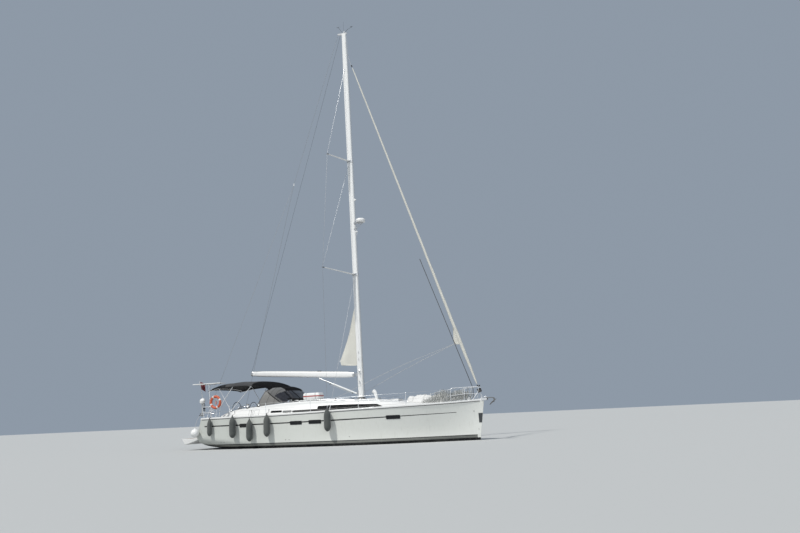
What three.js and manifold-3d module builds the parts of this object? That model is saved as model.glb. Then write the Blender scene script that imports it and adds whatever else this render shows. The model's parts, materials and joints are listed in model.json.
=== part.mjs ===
// A fifteen metre cruising yacht afloat, with its sails furled and its swim platform lowered.
// Millimetres. +X points to the bow, +Y to port, +Z up; the origin is amidships at the waterline.

import * as THREE from 'three';
import { mergeVertices } from 'three/addons/utils/BufferGeometryUtils.js';
import Module from 'manifold-3d';

const wasm = await Module();
wasm.setup();

// Driving dimensions
const gap = 0.5; // between pieces that touch
const bowHeight = 1820; // stem head above the waterline
const stemFoot = 7230; // stem at the waterline
const stemRake = 270; // how far the stem head is ahead of its foot
const sternEnd = -7460; // aftmost point of the quarters
const sternRake = 290; // how far the quarters lean forward by deck level
const deckRise = 32; // deck above the hull's edge
const camber = 60; // crown of the widest deck
const toeRail = 85; // height of the bulwark above the hull's edge
const seatHeight = 1500;
const soleHeight = 1080;
const cockpitHalf = 1290; // half width between the coamings
const footwellHalf = 600;
const cockpitFront = -2750;
const benchBack = -4950; // aft end of the benches
const helmSeatFront = -6350;
const mastFootX = 1105;
const mastFootZ = 2222;
const mastTopZ = 22120;
const mastRake = 0.0155; // aft per unit of height
const mastDepth = 145; // half of the section, fore and aft
const mastWidth = 85;
const railHeight = 620; // guard rails above the deck
const platformClosedDeg = 122;

const group = new THREE.Group();

// Vectors and solids

const at = (x, y, z) => new THREE.Vector3(x, y, z);

// A closed geometry as a solid, with its faces turned outwards
function solidOf(geometry) {
  geometry.deleteAttribute('normal');
  geometry.deleteAttribute('uv');
  const merged = mergeVertices(geometry, 1e-3);
  const vertProperties = new Float32Array(merged.attributes.position.array);
  const corners = Array.from(merged.index.array);
  const made = (order) => new wasm.Manifold(
    new wasm.Mesh({ numProp: 3, vertProperties, triVerts: new Uint32Array(order) }),
  );
  const solid = made(corners);
  return solid.volume() > 0 ? solid : made(corners.reverse());
}

const join = (solids) => solids.reduce((whole, solid) => whole.add(solid));

function addPiece(name, solid, colour, roughness = 0.5, metalness = 0) {
  const { vertProperties, triVerts } = solid.getMesh();
  const geometry = new THREE.BufferGeometry();
  geometry.setAttribute('position', new THREE.BufferAttribute(vertProperties, 3));
  geometry.setIndex(new THREE.BufferAttribute(triVerts, 1));
  geometry.computeVertexNormals();
  const material = new THREE.MeshStandardMaterial({ color: colour, roughness, metalness });
  const mesh = new THREE.Mesh(geometry, material);
  mesh.name = name;
  group.add(mesh);
}

function box(x, y, z) {
  const geometry = new THREE.BoxGeometry(x[1] - x[0], y[1] - y[0], z[1] - z[0]);
  geometry.translate((x[0] + x[1]) / 2, (y[0] + y[1]) / 2, (z[0] + z[1]) / 2);
  return solidOf(geometry);
}

// A round bar between two points, tapered if the second radius differs
function rod(start, end, radius, endRadius = radius, sides = 8) {
  const along = end.clone().sub(start);
  const geometry = new THREE.CylinderGeometry(endRadius, radius, along.length(), sides);
  geometry.applyQuaternion(new THREE.Quaternion().setFromUnitVectors(at(0, 1, 0), along.clone().normalize()));
  const middle = start.clone().add(end).multiplyScalar(0.5);
  geometry.translate(middle.x, middle.y, middle.z);
  return solidOf(geometry);
}

function ball(centre, size, across = 12, up = 8) {
  const geometry = new THREE.SphereGeometry(1, across, up);
  geometry.scale(size.x, size.y, size.z);
  geometry.translate(centre.x, centre.y, centre.z);
  return solidOf(geometry);
}

// A path through given points, so that a section is set at each of them
class Route extends THREE.Curve {
  constructor(points) {
    super();
    this.points = points;
  }

  getPoint(t, target = new THREE.Vector3()) {
    const last = this.points.length - 2;
    const along = t * (last + 1);
    const from = Math.min(Math.floor(along + 1e-6), last);
    return target.lerpVectors(this.points[from], this.points[from + 1], along - from);
  }

  getTangent(t, target = new THREE.Vector3()) {
    const nearest = Math.round(t * (this.points.length - 1));
    const before = this.points[Math.max(nearest - 1, 0)];
    const here = this.points[nearest];
    const after = this.points[Math.min(nearest + 1, this.points.length - 1)];
    target.set(0, 0, 0);
    if (before !== here) target.add(here.clone().sub(before).normalize());
    if (after !== here) target.add(after.clone().sub(here).normalize());
    return target.normalize();
  }

  getPointAt(u, target) {
    return this.getPoint(u, target);
  }

  getTangentAt(u, target) {
    return this.getTangent(u, target);
  }
}

// Rounds the corners of a path of points
function rounded(points, radius, cuts = 3) {
  const path = [points[0]];
  for (let i = 1; i < points.length - 1; i += 1) {
    const before = points[i - 1].clone().sub(points[i]);
    const after = points[i + 1].clone().sub(points[i]);
    const reach = Math.min(radius, before.length() / 2.1, after.length() / 2.1);
    const bend = new THREE.QuadraticBezierCurve3(
      points[i].clone().addScaledVector(before.normalize(), reach),
      points[i],
      points[i].clone().addScaledVector(after.normalize(), reach),
    );
    path.push(...bend.getPoints(cuts));
  }
  path.push(points[points.length - 1]);
  return path;
}

function tube(points, radius, sides = 6) {
  const ring = [];
  for (let i = 0; i < sides; i += 1) {
    const turn = (i / sides) * 2 * Math.PI;
    ring.push(new THREE.Vector2(Math.cos(turn) * radius, Math.sin(turn) * radius));
  }
  const geometry = new THREE.ExtrudeGeometry(new THREE.Shape(ring), {
    steps: points.length - 1,
    bevelEnabled: false,
    extrudePath: new Route(points),
  });
  return solidOf(geometry);
}

// An outline in the XZ plane, with its thickness across the boat
function slab(outline, y) {
  const shape = new THREE.Shape(outline.map(([x, z]) => new THREE.Vector2(x, z)));
  const geometry = new THREE.ExtrudeGeometry(shape, { depth: y[1] - y[0], bevelEnabled: false });
  geometry.rotateX(Math.PI / 2);
  geometry.translate(0, y[1], 0);
  return solidOf(geometry);
}

// The faces between rings of points that follow each other
function facesBetween(rings) {
  const count = rings[0].length;
  const faces = [];
  for (let i = 0; i < rings.length - 1; i += 1) {
    for (let j = 0; j < count; j += 1) {
      const a = i * count + j;
      const b = i * count + ((j + 1) % count);
      faces.push([a, b, b + count], [a, b + count, a + count]);
    }
  }
  return faces;
}

function solidOfFaces(points, faces) {
  const geometry = new THREE.BufferGeometry();
  const numbers = points.flatMap((p) => [p.x, p.y, p.z]);
  geometry.setAttribute('position', new THREE.Float32BufferAttribute(numbers, 3));
  geometry.setIndex(faces.flat());
  return solidOf(geometry);
}

// A solid through closed rings of points; flat gives the two coordinates in which the ends are filled
function loft(rings, flat = (p) => [p.y, p.z]) {
  const count = rings[0].length;
  const points = rings.flat();
  const faces = facesBetween(rings);
  [0, rings.length - 1].forEach((ring) => {
    const outline = rings[ring].map((p) => new THREE.Vector2(...flat(p)));
    const start = ring * count;
    const anticlockwise = THREE.ShapeUtils.area(outline) > 0;
    THREE.ShapeUtils.triangulateShape(outline, []).forEach(([a, b, c]) => {
      const forwards = (THREE.ShapeUtils.area([outline[a], outline[b], outline[c]]) > 0) === anticlockwise;
      const wanted = ring !== 0;
      faces.push(forwards === wanted ? [start + a, start + b, start + c] : [start + a, start + c, start + b]);
    });
  });
  return solidOfFaces(points, faces);
}

// A thin shell below a grid of points
function shell(grid, thickness) {
  const rows = grid.length;
  const columns = grid[0].length;
  const outer = grid.flat();
  const inner = [];
  for (let i = 0; i < rows; i += 1) {
    for (let j = 0; j < columns; j += 1) {
      const along = grid[Math.min(i + 1, rows - 1)][j].clone().sub(grid[Math.max(i - 1, 0)][j]);
      const across = grid[i][Math.min(j + 1, columns - 1)].clone().sub(grid[i][Math.max(j - 1, 0)]);
      inner.push(grid[i][j].clone().addScaledVector(along.cross(across).normalize(), -thickness));
    }
  }
  const points = [...outer, ...inner];
  const under = rows * columns;
  const faces = [];
  const quad = (a, b, c, d) => faces.push([a, b, c], [a, c, d]);
  for (let i = 0; i < rows - 1; i += 1) {
    for (let j = 0; j < columns - 1; j += 1) {
      const a = i * columns + j;
      quad(a, a + columns, a + columns + 1, a + 1);
      quad(a + under, a + under + 1, a + under + columns + 1, a + under + columns);
    }
  }
  for (let j = 0; j < columns - 1; j += 1) {
    const last = (rows - 1) * columns + j;
    quad(j, j + 1, j + 1 + under, j + under);
    quad(last, last + under, last + 1 + under, last + 1);
  }
  for (let i = 0; i < rows - 1; i += 1) {
    const left = i * columns;
    const right = left + columns - 1;
    quad(left, left + under, left + columns + under, left + columns);
    quad(right, right + columns, right + columns + under, right + under);
  }
  return solidOfFaces(points, faces);
}

const mirrored = (solid) => solid.mirror([0, 1, 0]);
const sides = [['starboard', -1], ['port', 1]];
// The range across the boat between two distances from the centreline on one side
const across = (side, near, far) => [side * near, side * far].sort((a, b) => a - b);

// Hull: stations from the transom to the stem
// columns: place from 0 at the transom to 1 at the stem, half breadth at the deck, height of the edge,
// half breadth at the turn of the bilge, height of that turn, height of the keel line, fullness
const stations = [
  [0.00, 2020, 1530, 1950, 760, 70, 2.4],
  [0.12, 2180, 1545, 2110, 560, -190, 2.4],
  [0.30, 2310, 1555, 2230, 330, -470, 2.3],
  [0.50, 2335, 1610, 2220, 230, -610, 2.2],
  [0.66, 2150, 1660, 1930, 220, -590, 2.0],
  [0.80, 1660, 1705, 1330, 230, -470, 1.75],
  [0.91, 930, 1755, 620, 250, -310, 1.5],
  [1.00, 34, bowHeight, 26, 300, -120, 1.3],
];

// A smooth value between the rows of a table whose first column is the place
function between(table, place, column) {
  let row = 0;
  while (row < table.length - 2 && place > table[row + 1][0]) row += 1;
  const slope = (i) => {
    const low = Math.max(i - 1, 0);
    const high = Math.min(i + 1, table.length - 1);
    return (table[high][column] - table[low][column]) / (table[high][0] - table[low][0]);
  };
  const start = table[row];
  const end = table[row + 1];
  const width = end[0] - start[0];
  const t = (place - start[0]) / width;
  return (2 * t ** 3 - 3 * t ** 2 + 1) * start[column] + (t ** 3 - 2 * t ** 2 + t) * width * slope(row)
    + (3 * t ** 2 - 2 * t ** 3) * end[column] + (t ** 3 - t ** 2) * width * slope(row + 1);
}

// The quarters lean forward above this height and tuck under below it
const quarterKnuckle = 700;
const tuck = 380;
function sternAt(z) {
  if (z > quarterKnuckle) return sternEnd + ((z - quarterKnuckle) / 800) * sternRake;
  return sternEnd + tuck * ((quarterKnuckle - z) / 640) ** 2.2;
}

function stemAt(z) {
  return z > 0 ? stemFoot + (stemRake * z) / bowHeight : stemFoot - 600 * (-z / 620) ** 1.5;
}

const xAt = (place, z) => sternAt(z) * (1 - place) + stemAt(z) * place;
const edgeHeight = (place) => between(stations, place, 2);
const edgeHalf = (place) => Math.max(between(stations, place, 1), 20);

// The place along the hull of a point on its edge
function placeOf(x) {
  let low = 0;
  let high = 1;
  for (let i = 0; i < 30; i += 1) {
    const middle = (low + high) / 2;
    if (xAt(middle, edgeHeight(middle)) < x) low = middle; else high = middle;
  }
  return low;
}

const edgeZ = (x) => edgeHeight(placeOf(x));
const edgeY = (x) => edgeHalf(placeOf(x));

const bilgeSteps = 8;
const topsideSteps = 3;
function halfSection(place) {
  const [deckHalf, edge, bilgeHalf, bilge, keel, fullness] = [1, 2, 3, 4, 5, 6].map(
    (column) => between(stations, place, column),
  );
  const power = 2 / fullness;
  const points = [];
  for (let i = 0; i <= bilgeSteps; i += 1) {
    const turn = (i / bilgeSteps) * (Math.PI / 2);
    points.push([bilgeHalf * Math.sin(turn) ** power, bilge - (bilge - keel) * Math.cos(turn) ** power]);
  }
  for (let i = 1; i <= topsideSteps; i += 1) {
    const rise = i / topsideSteps;
    points.push([bilgeHalf + (deckHalf - bilgeHalf) * rise ** 1.4, bilge + (edge - bilge) * rise]);
  }
  return points;
}

const hullPlaces = [
  0, 0.04, 0.09, 0.15, 0.22, 0.3, 0.38, 0.46, 0.54, 0.62, 0.69, 0.76, 0.82, 0.87, 0.91, 0.95, 0.98, 1,
];

function hullRing(place) {
  const half = halfSection(place);
  const starboard = half.slice(1).reverse().map(([y, z]) => at(xAt(place, z), -y, z));
  const port = half.map(([y, z]) => at(xAt(place, z), y, z));
  return [...starboard, ...port];
}

// Half breadth of the hull's side at a place and height
function sideHalf(place, z) {
  const half = halfSection(place);
  for (let i = 1; i < half.length; i += 1) {
    if (half[i][1] >= z) {
      const share = (z - half[i - 1][1]) / (half[i][1] - half[i - 1][1]);
      return half[i - 1][0] + (half[i][0] - half[i - 1][0]) * share;
    }
  }
  return half[half.length - 1][0];
}

function ringLoft(rings) {
  const count = rings[0].length;
  const points = rings.flat();
  const faces = facesBetween(rings);
  [0, rings.length - 1].forEach((ring) => {
    const start = ring * count;
    for (let j = 0; j < Math.floor(count / 2); j += 1) {
      const [a, b, c, d] = [j, j + 1, count - 2 - j, count - 1 - j].map((k) => start + k);
      const near = ring === 0;
      if (b !== c) faces.push(near ? [a, c, b] : [a, b, c]);
      if (a !== d) faces.push(near ? [a, d, c] : [a, c, d]);
    }
  });
  return solidOfFaces(points, faces);
}

// Swim platform, lowered: distance aft of its hinge and height above it
const hinge = at(-7440, 0, 575);
const platformHalf = 1720;
const platformTop = 25;
const platformOutline = [
  [15, platformTop], [1150, platformTop], [945, -285], [700, -232], [450, -162], [220, -92], [60, -45],
  [15, -20],
];
const closedTurn = THREE.MathUtils.degToRad(platformClosedDeg);
const closedAt = (aft, up) => [
  hinge.x - aft * Math.cos(closedTurn) + up * Math.sin(closedTurn),
  hinge.z + aft * Math.sin(closedTurn) + up * Math.cos(closedTurn),
];

// What is cut from the hull and the deck for the cockpit and the platform
function cockpitSpace() {
  const high = 3000;
  const aft = -8000;
  return join([
    box([aft, cockpitFront], [-cockpitHalf, cockpitHalf], [seatHeight, high]),
    box([helmSeatFront, benchBack], [-1250, 1250], [soleHeight, high]),
    box([benchBack - 1, cockpitFront], [-footwellHalf, footwellHalf], [soleHeight, high]),
    box([aft, helmSeatFront + 1], [-480, 480], [soleHeight, high]),
  ]);
}

function platformSpace() {
  const clear = 12;
  const low = closedAt(-20, platformTop + clear);
  const top = closedAt(1240, platformTop + clear);
  const outline = [[-8000, 543], [low[0], 543], low, top, [top[0], 2200], [-8000, 2200]];
  return slab(outline, [-platformHalf - 8, platformHalf + 8]);
}

const pinRadius = 12;
const pinReach = 40;
function pinBores() {
  const bore = (side) => rod(
    at(hinge.x, side * (platformHalf - 5), hinge.z),
    at(hinge.x, side * (platformHalf + pinReach + 6), hinge.z),
    pinRadius + 6,
    pinRadius + 6,
    10,
  );
  return bore(-1).add(bore(1));
}

const wellDepth = 160;
// columns: name, aft end, forward end, half width, how far it may open
const roofHatches = [
  ['saloon_hatch', 1560, 2080, 270, 90],
  ['foredeck_hatch', 2700, 3260, 280, 90],
];
const anchorLocker = { aft: 5950, front: 6520, half: 270, depth: 380 };
const companionway = { front: -1980, half: 330, sill: 1400, low: 700 };
const seatLocker = { aft: -4700, front: -3100, inner: 690, outer: 1230, depth: 260 };

// Roof and coamings: sections from the aft end of the coamings to the foredeck
// columns: x, half width at the deck, half width at the shoulder, height of the shoulder, height of the crown
const roofSections = [
  [-6300, 1790, 1700, 1600, 1602],
  [-5740, 1790, 1640, 1880, 1882],
  [-5130, 1790, 1610, 1980, 1984],
  [-3900, 1780, 1580, 2075, 2085],
  [-2900, 1740, 1540, 2150, 2180],
  [-2500, 1700, 1500, 2185, 2235],
  [-1200, 1640, 1400, 2200, 2275],
  [0, 1560, 1310, 2165, 2250],
  [1100, 1460, 1200, 2130, 2215],
  [2100, 1310, 1050, 2060, 2140],
  [3200, 1070, 820, 1960, 2030],
  [4100, 780, 560, 1870, 1915],
  [4750, 480, 320, 1795, 1812],
];

function roofRing([x, base, shoulder, shoulderZ, crown]) {
  const foot = edgeZ(x) + 12;
  const rise = shoulderZ - foot;
  const half = [
    [base, foot], [shoulder + 30, foot + rise * 0.72], [shoulder - 10, foot + rise * 0.94],
    [shoulder - 80, shoulderZ],
    [shoulder * 0.5, shoulderZ * 0.25 + crown * 0.75],
  ];
  return [
    ...half.map(([y, z]) => at(x, -y, z)),
    at(x, 0, crown),
    ...half.slice().reverse().map(([y, z]) => at(x, y, z)),
  ];
}

function roofValue(x, column) {
  let row = 0;
  while (row < roofSections.length - 2 && x > roofSections[row + 1][0]) row += 1;
  const [start, end] = [roofSections[row], roofSections[row + 1]];
  return start[column] + ((end[column] - start[column]) * (x - start[0])) / (end[0] - start[0]);
}
const crownZ = (x) => roofValue(x, 4);
const shoulderZ = (x) => roofValue(x, 3);

// Height of the roof's faceted top at a point on it
function roofTop(x, y) {
  const shoulder = roofValue(x, 2);
  const half = [
    [shoulder - 80, shoulderZ(x)], [shoulder * 0.5, shoulderZ(x) * 0.25 + crownZ(x) * 0.75], [0, crownZ(x)],
  ];
  const far = Math.abs(y);
  const [outer, inner] = far > half[1][0] ? [half[0], half[1]] : [half[1], half[2]];
  return inner[1] + ((outer[1] - inner[1]) * (far - inner[0])) / (outer[0] - inner[0]);
}

function deckZ(x, y) {
  const place = placeOf(x);
  const half = edgeHalf(place);
  return edgeHeight(place) + deckRise + camber * (half / 2335) * (1 - Math.abs(y) / half);
}

function deckRing(place) {
  const half = edgeHalf(place);
  const edge = edgeHeight(place);
  const lip = Math.min(45, half / 3);
  const x = xAt(place, edge);
  const side = [
    [half, edge + gap], [half, edge + toeRail], [half - lip, edge + toeRail],
    [half - lip * 1.25, edge + deckRise],
  ];
  return [
    ...side.map(([y, z]) => at(x, -y, z)),
    at(x, 0, edge + deckRise + camber * (half / 2335)),
    ...side.slice().reverse().map(([y, z]) => at(x, y, z)),
  ];
}

const wellTop = 2700; // above everything that a well is cut through
const cockpit = cockpitSpace();
const platformRoom = platformSpace();
const anchorWell = box(
  [anchorLocker.aft, anchorLocker.front],
  [-anchorLocker.half, anchorLocker.half],
  [edgeZ(6200) - anchorLocker.depth, wellTop],
);
const stairY = [-companionway.half, companionway.half];
const stairWell = join([
  box([cockpitFront - 1, companionway.front], stairY, [companionway.sill, wellTop]),
  box([cockpitFront + 60, companionway.front], stairY, [companionway.low, wellTop]),
]);
const seatWells = join(sides.map(([, side]) => box(
  [seatLocker.aft + 25, seatLocker.front - 25],
  across(side, seatLocker.inner + 25, seatLocker.outer - 45),
  [seatHeight - seatLocker.depth, seatHeight + 1],
)));

const rudderStock = at(-5750, 0, 0);
const stockRadius = 45;
const boreRadius = stockRadius + 6;
const stockBore = rod(at(rudderStock.x, 0, -700), at(rudderStock.x, 0, 420), boreRadius, boreRadius, 12);

const wholeHull = ringLoft(hullPlaces.map(hullRing));
const hull = wholeHull.subtract(join([
  cockpit, platformRoom, pinBores(), anchorWell, stairWell, seatWells, stockBore,
]));

const deckPlaces = [...hullPlaces.slice(0, -1), 0.995];
const hatchWells = join(roofHatches.map(([, aft, front, half]) => box(
  [aft + 30, front - 30],
  [-half + 30, half - 30],
  [crownZ((aft + front) / 2) - wellDepth, wellTop],
)));
// Runners that the companionway hatch slides on, and the hood that it slides under
const slideZ = 2276;
const hatchHood = box([-1925, -1230], [-410, 410], [2180, slideZ + 68])
  .subtract(box([-2000, -1262], [-374, 374], [slideZ, slideZ + 46]));
const runners = join([-1, 1].map(
  (side) => box([cockpitFront, -1900], across(side, 335, 372), [2120, slideZ]),
));
const wholeDeck = join([
  loft(deckPlaces.map(deckRing)), loft(roofSections.map(roofRing)), hatchHood, runners,
]);
const deck = wholeDeck.subtract(join([cockpit, platformRoom, anchorWell, stairWell, hatchWells]));

addPiece('hull', hull, 0xd0d3ce, 0.3);
addPiece('deck', deck, 0xf4f4f2, 0.45);

// What stands on the deck or the hull is cut back by this much air
const deckAndBelow = join([
  wholeDeck.translate(0, 0, gap), wholeDeck.translate(0, 0, -25), wholeHull.translate(0, 0, gap),
]);
const onDeck = (solid) => solid.subtract(deckAndBelow);
const underHull = (solid) => solid.subtract(wholeHull.translate(0, 0, -gap));

// A lens shaped foil section at a height
function foilRing(lead, tail, thick, z, centre = 0) {
  const chord = lead - tail;
  const half = [[0.12, 0.72], [0.3, 1], [0.6, 0.72]];
  return [
    at(lead, centre, z),
    ...half.map(([share, width]) => at(lead - chord * share, centre + (thick / 2) * width, z)),
    at(tail, centre, z),
    ...half.slice().reverse().map(
      ([share, width]) => at(lead - chord * share, centre - (thick / 2) * width, z),
    ),
  ];
}
const upright = (p) => [p.x, p.y];

// Keel with its bulb, rudder, saildrive and propeller
const keelFin = loft([
  foilRing(1050, -800, 210, -350), foilRing(1000, -740, 200, -900), foilRing(820, -640, 170, -2060),
], upright);
const bulbProfile = [[0, 1150], [90, 1000], [140, 650], [150, 100], [110, -600], [50, -1050], [0, -1200]];
const bulbShape = new THREE.LatheGeometry(bulbProfile.map(([r, x]) => new THREE.Vector2(r, x)), 12);
bulbShape.rotateZ(-Math.PI / 2);
bulbShape.scale(1, 1.6, 0.95);
bulbShape.translate(60, 0, -2110);
addPiece('keel', underHull(keelFin.add(solidOf(bulbShape))), 0x3a3d40, 0.7);

const rudderTop = -330;
const rudderFoot = -1880;
const rudder = join([
  loft([
    foilRing(rudderStock.x + 170, rudderStock.x - 610, 120, rudderTop),
    foilRing(rudderStock.x + 110, rudderStock.x - 380, 70, rudderFoot),
  ], upright),
  rod(at(rudderStock.x, 0, rudderTop - 400), at(rudderStock.x, 0, 380), stockRadius, stockRadius, 10),
]);
addPiece('rudder', rudder, 0x3a3d40, 0.6);

const shaft = at(-1900, 0, -960);
const driveLeg = join([
  loft([foilRing(-1440, -1760, 110, -420), foilRing(-1480, -1730, 80, -990)], upright),
  rod(at(-1420, 0, shaft.z), at(shaft.x + 40, 0, shaft.z), 62, 58, 10),
  ball(at(-1420, 0, shaft.z), at(90, 62, 62), 10, 6),
]);
addPiece('saildrive_leg', underHull(driveLeg), 0xb8bcc0, 0.4, 0.6);

const bladeCount = 3;
const blade = (index) => {
  const geometry = new THREE.SphereGeometry(1, 10, 6);
  geometry.scale(14, 62, 105);
  geometry.rotateZ(0.45);
  geometry.translate(0, 0, 135);
  geometry.rotateX((index / bladeCount) * 2 * Math.PI);
  geometry.translate(shaft.x - 35, 0, shaft.z);
  return solidOf(geometry);
};
const propeller = join([
  rod(at(shaft.x + 10, 0, shaft.z), at(shaft.x - 110, 0, shaft.z), 50, 18, 10),
  ...[...Array(bladeCount).keys()].map(blade),
]);
addPiece('propeller', propeller, 0xb08d3c, 0.35, 0.9);

// Swim platform with pins that turn in the quarters
const platformBody = slab(
  platformOutline.map(([aft, up]) => [hinge.x - aft, hinge.z + up]),
  [-platformHalf, platformHalf],
);
const platformPins = join(sides.flatMap(([, side]) => [
  rod(
    at(hinge.x, side * (platformHalf - 40), hinge.z),
    at(hinge.x, side * (platformHalf + pinReach), hinge.z),
    pinRadius,
    pinRadius,
    10,
  ),
  box(
    [hinge.x - 30, hinge.x + 11], across(side, platformHalf - 40, platformHalf),
    [hinge.z - 11, hinge.z + 11],
  ),
]));
addPiece('swim_platform', platformBody.add(platformPins), 0xf2f2ef, 0.4);

// Hatches: flat lids just above the roof
const lidLift = 6;
const lidThick = 30;
roofHatches.forEach(([name, aft, front, half]) => {
  const seat = Math.max(roofTop(aft, 0), roofTop(front, 0));
  const heights = [seat + lidLift, seat + lidLift + lidThick];
  addPiece(name, box([aft, front], [-half, half], heights), 0x30343a, 0.2);
});
const lockerSeat = Math.max(deckZ(anchorLocker.aft, 0), deckZ(anchorLocker.front, 0));
addPiece('anchor_locker_lid', box(
  [anchorLocker.aft - 15, anchorLocker.front + 15],
  [-anchorLocker.half - 15, anchorLocker.half + 15],
  [lockerSeat + lidLift, lockerSeat + lidLift + 22],
), 0xf0f0ee, 0.5);
sides.forEach(([name, side]) => {
  addPiece(`seat_locker_lid_${name}`, box(
    [seatLocker.aft, seatLocker.front],
    across(side, seatLocker.inner, seatLocker.outer),
    [seatHeight + lidLift, seatHeight + lidLift + 24],
  ), 0xa9825a, 0.6);
});
const slideLift = slideZ + 7;
addPiece('companionway_hatch', box(
  [cockpitFront - 40, companionway.front + 40],
  [-companionway.half - 30, companionway.half + 30],
  [slideLift, slideLift + 28],
), 0x2b2f34, 0.2);
addPiece('washboard', box(
  [cockpitFront - 22, cockpitFront - 2], [-companionway.half - 25, companionway.half + 25],
  [companionway.sill - 15, shoulderZ(cockpitFront) - 10],
), 0x2b2f34, 0.2);

// Long side windows let into the roof's sides
sides.forEach(([name, side]) => {
  const outline = [
    [-610, 1767], [30, 1722], [560, 1720], [1350, 1732], [2320, 1755], [2700, 1780],
    [2460, 1892], [1360, 1930], [370, 1946], [-610, 1933],
  ];
  const band = slab(outline, side < 0 ? [-1800, 0] : [0, 1800]);
  const skin = loft(roofSections.map(roofRing));
  const proud = skin.translate(0, side * 14, 0).subtract(skin.translate(0, side * gap, 0));
  const pieces = proud.intersect(band).decompose().sort((a, b) => b.volume() - a.volume());
  addPiece(`window_${name}`, pieces[0], 0x1d2126, 0.1);
});

// Mast, spreaders and standing rigging
const mastX = (z) => mastFootX - (z - mastFootZ) * mastRake;
const mastSides = 10;
const mastRing = (z, size = 1) => {
  const ring = [];
  for (let i = 0; i < mastSides; i += 1) {
    const turn = (i / mastSides) * 2 * Math.PI;
    ring.push(at(mastX(z) + mastDepth * size * Math.cos(turn), mastWidth * size * Math.sin(turn), z));
  }
  return ring;
};
const gooseneck = { x: 877, z: 3450 };
const pivotX = (z) => gooseneck.x - (z - gooseneck.z) * mastRake;
const kickerFootZ = 2480;
const forkPlate = (z, thick) => join([
  box([pivotX(z), mastX(z) - mastDepth + 30], [-34, 34], [z, z + thick]),
  rod(at(pivotX(z), 0, z), at(pivotX(z), 0, z + thick), 34, 34, 10),
]);
const cranePlate = slab([
  [mastX(mastTopZ) + 60, mastTopZ - 40], [mastX(mastTopZ) + 130, mastTopZ + 20],
  [mastX(mastTopZ) + 60, mastTopZ + 45],
  [440, mastTopZ + 60], [430, mastTopZ + 5],
], [-30, 30]);
const mastFootPlate = loft([mastRing(mastFootZ - 60, 1.5), mastRing(mastFootZ + 45, 1.5)], upright);
const mast = join([
  loft([mastRing(mastFootZ - 60), mastRing(19200), mastRing(mastTopZ, 0.82)], upright),
  mastFootPlate,
  forkPlate(gooseneck.z - 62, 14),
  forkPlate(gooseneck.z + 48, 14),
  forkPlate(kickerFootZ - 45, 12),
  forkPlate(kickerFootZ + 33, 12),
  cranePlate,
]);
addPiece('mast', onDeck(mast), 0xeeeeec, 0.35, 0.1);

const sweep = THREE.MathUtils.degToRad(26);
const rise = THREE.MathUtils.degToRad(6);
// columns: name, height at the mast, length
const spreaderRows = [['lower', 8590, 2090], ['upper', 14740, 1490]];
const spreaderTip = (z, length, side) => at(
  mastX(z) - length * Math.sin(sweep) * Math.cos(rise),
  side * length * Math.cos(sweep) * Math.cos(rise),
  z + length * Math.sin(rise),
);
spreaderRows.forEach(([name, z, length]) => {
  const collar = loft([mastRing(z - 55, 1.28), mastRing(z + 55, 1.28)], upright)
    .subtract(loft([mastRing(z - 90, 1.01), mastRing(z + 90, 1.01)], upright));
  const arms = sides.map(([, side]) => {
    const root = at(mastX(z) - 20, side * (mastWidth + 8), z);
    const tip = spreaderTip(z, length, side);
    const section = (p, chord, thick) => [[-1, 0], [-0.4, 1], [0.4, 1], [1, 0], [0.4, -1], [-0.4, -1]]
      .map(([a, b]) => at(p.x + chord * a, p.y, p.z + thick * b));
    return loft([section(root, 85, 22), section(tip, 45, 14)], (p) => [p.x, p.z]);
  });
  addPiece(`spreaders_${name}`, join([collar, ...arms]), 0xdededc, 0.35, 0.2);
});

const wire = 7;
const chainplate = { x: 260, y: 2110 };
const capTopZ = 19950;
sides.forEach(([name, side]) => {
  const [lower, upper] = spreaderRows.map(([, z, length]) => spreaderTip(z, length + 14, side));
  const foot = at(chainplate.x, side * chainplate.y, deckZ(chainplate.x, chainplate.y));
  const cap = tube([
    at(foot.x, foot.y, foot.z + 20), at(lower.x, lower.y, lower.z), at(upper.x, upper.y, upper.z),
    at(mastX(capTopZ) - 30, side * (mastWidth + 4), capTopZ),
  ], wire);
  const inner = (start, z) => rod(start, at(mastX(z) - 20, side * (mastWidth + 6), z), wire, wire, 6);
  const diagonal = inner(at(lower.x, lower.y, lower.z + 30), spreaderRows[1][1] - 130);
  const lowers = inner(at(foot.x + 120, foot.y, foot.z + 20), spreaderRows[0][1] - 130);
  const plateFoot = box([foot.x - 60, foot.x + 180], [foot.y - 12, foot.y + 12], [foot.z - 40, foot.z + 45]);
  addPiece(`shrouds_${name}`, onDeck(join([cap, diagonal, lowers, plateFoot])), 0xb9bdc1, 0.3, 0.9);
});

const forestayTop = at(mastX(20850) + mastDepth + 6, 0, 20850);
const forestayFoot = at(7400, 0, 2060);
const forestayAt = (z) => forestayFoot.clone().lerp(
  forestayTop, (z - forestayFoot.z) / (forestayTop.z - forestayFoot.z),
);
const sailTopZ = 20050;
const clewZ = 4640;
const genoa = join([
  tube([forestayAt(20838), forestayAt(19900)], 9),
  tube([forestayAt(sailTopZ), forestayAt(14000), forestayAt(clewZ + 500)], 42, 8),
  tube([forestayAt(clewZ + 600), forestayAt(clewZ), forestayAt(clewZ - 600), forestayAt(2640)], 74, 8),
  rod(forestayAt(sailTopZ - 60), forestayAt(sailTopZ + 120), 46, 30),
  ball(forestayAt(clewZ).add(at(-70, 0, 0)), at(130, 60, 360), 10, 8),
  tube([forestayAt(2660), forestayAt(2420)], 12),
]);
addPiece('furled_genoa', genoa, 0xe9e4d6, 0.85);
const drumRadius = 105;
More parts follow.
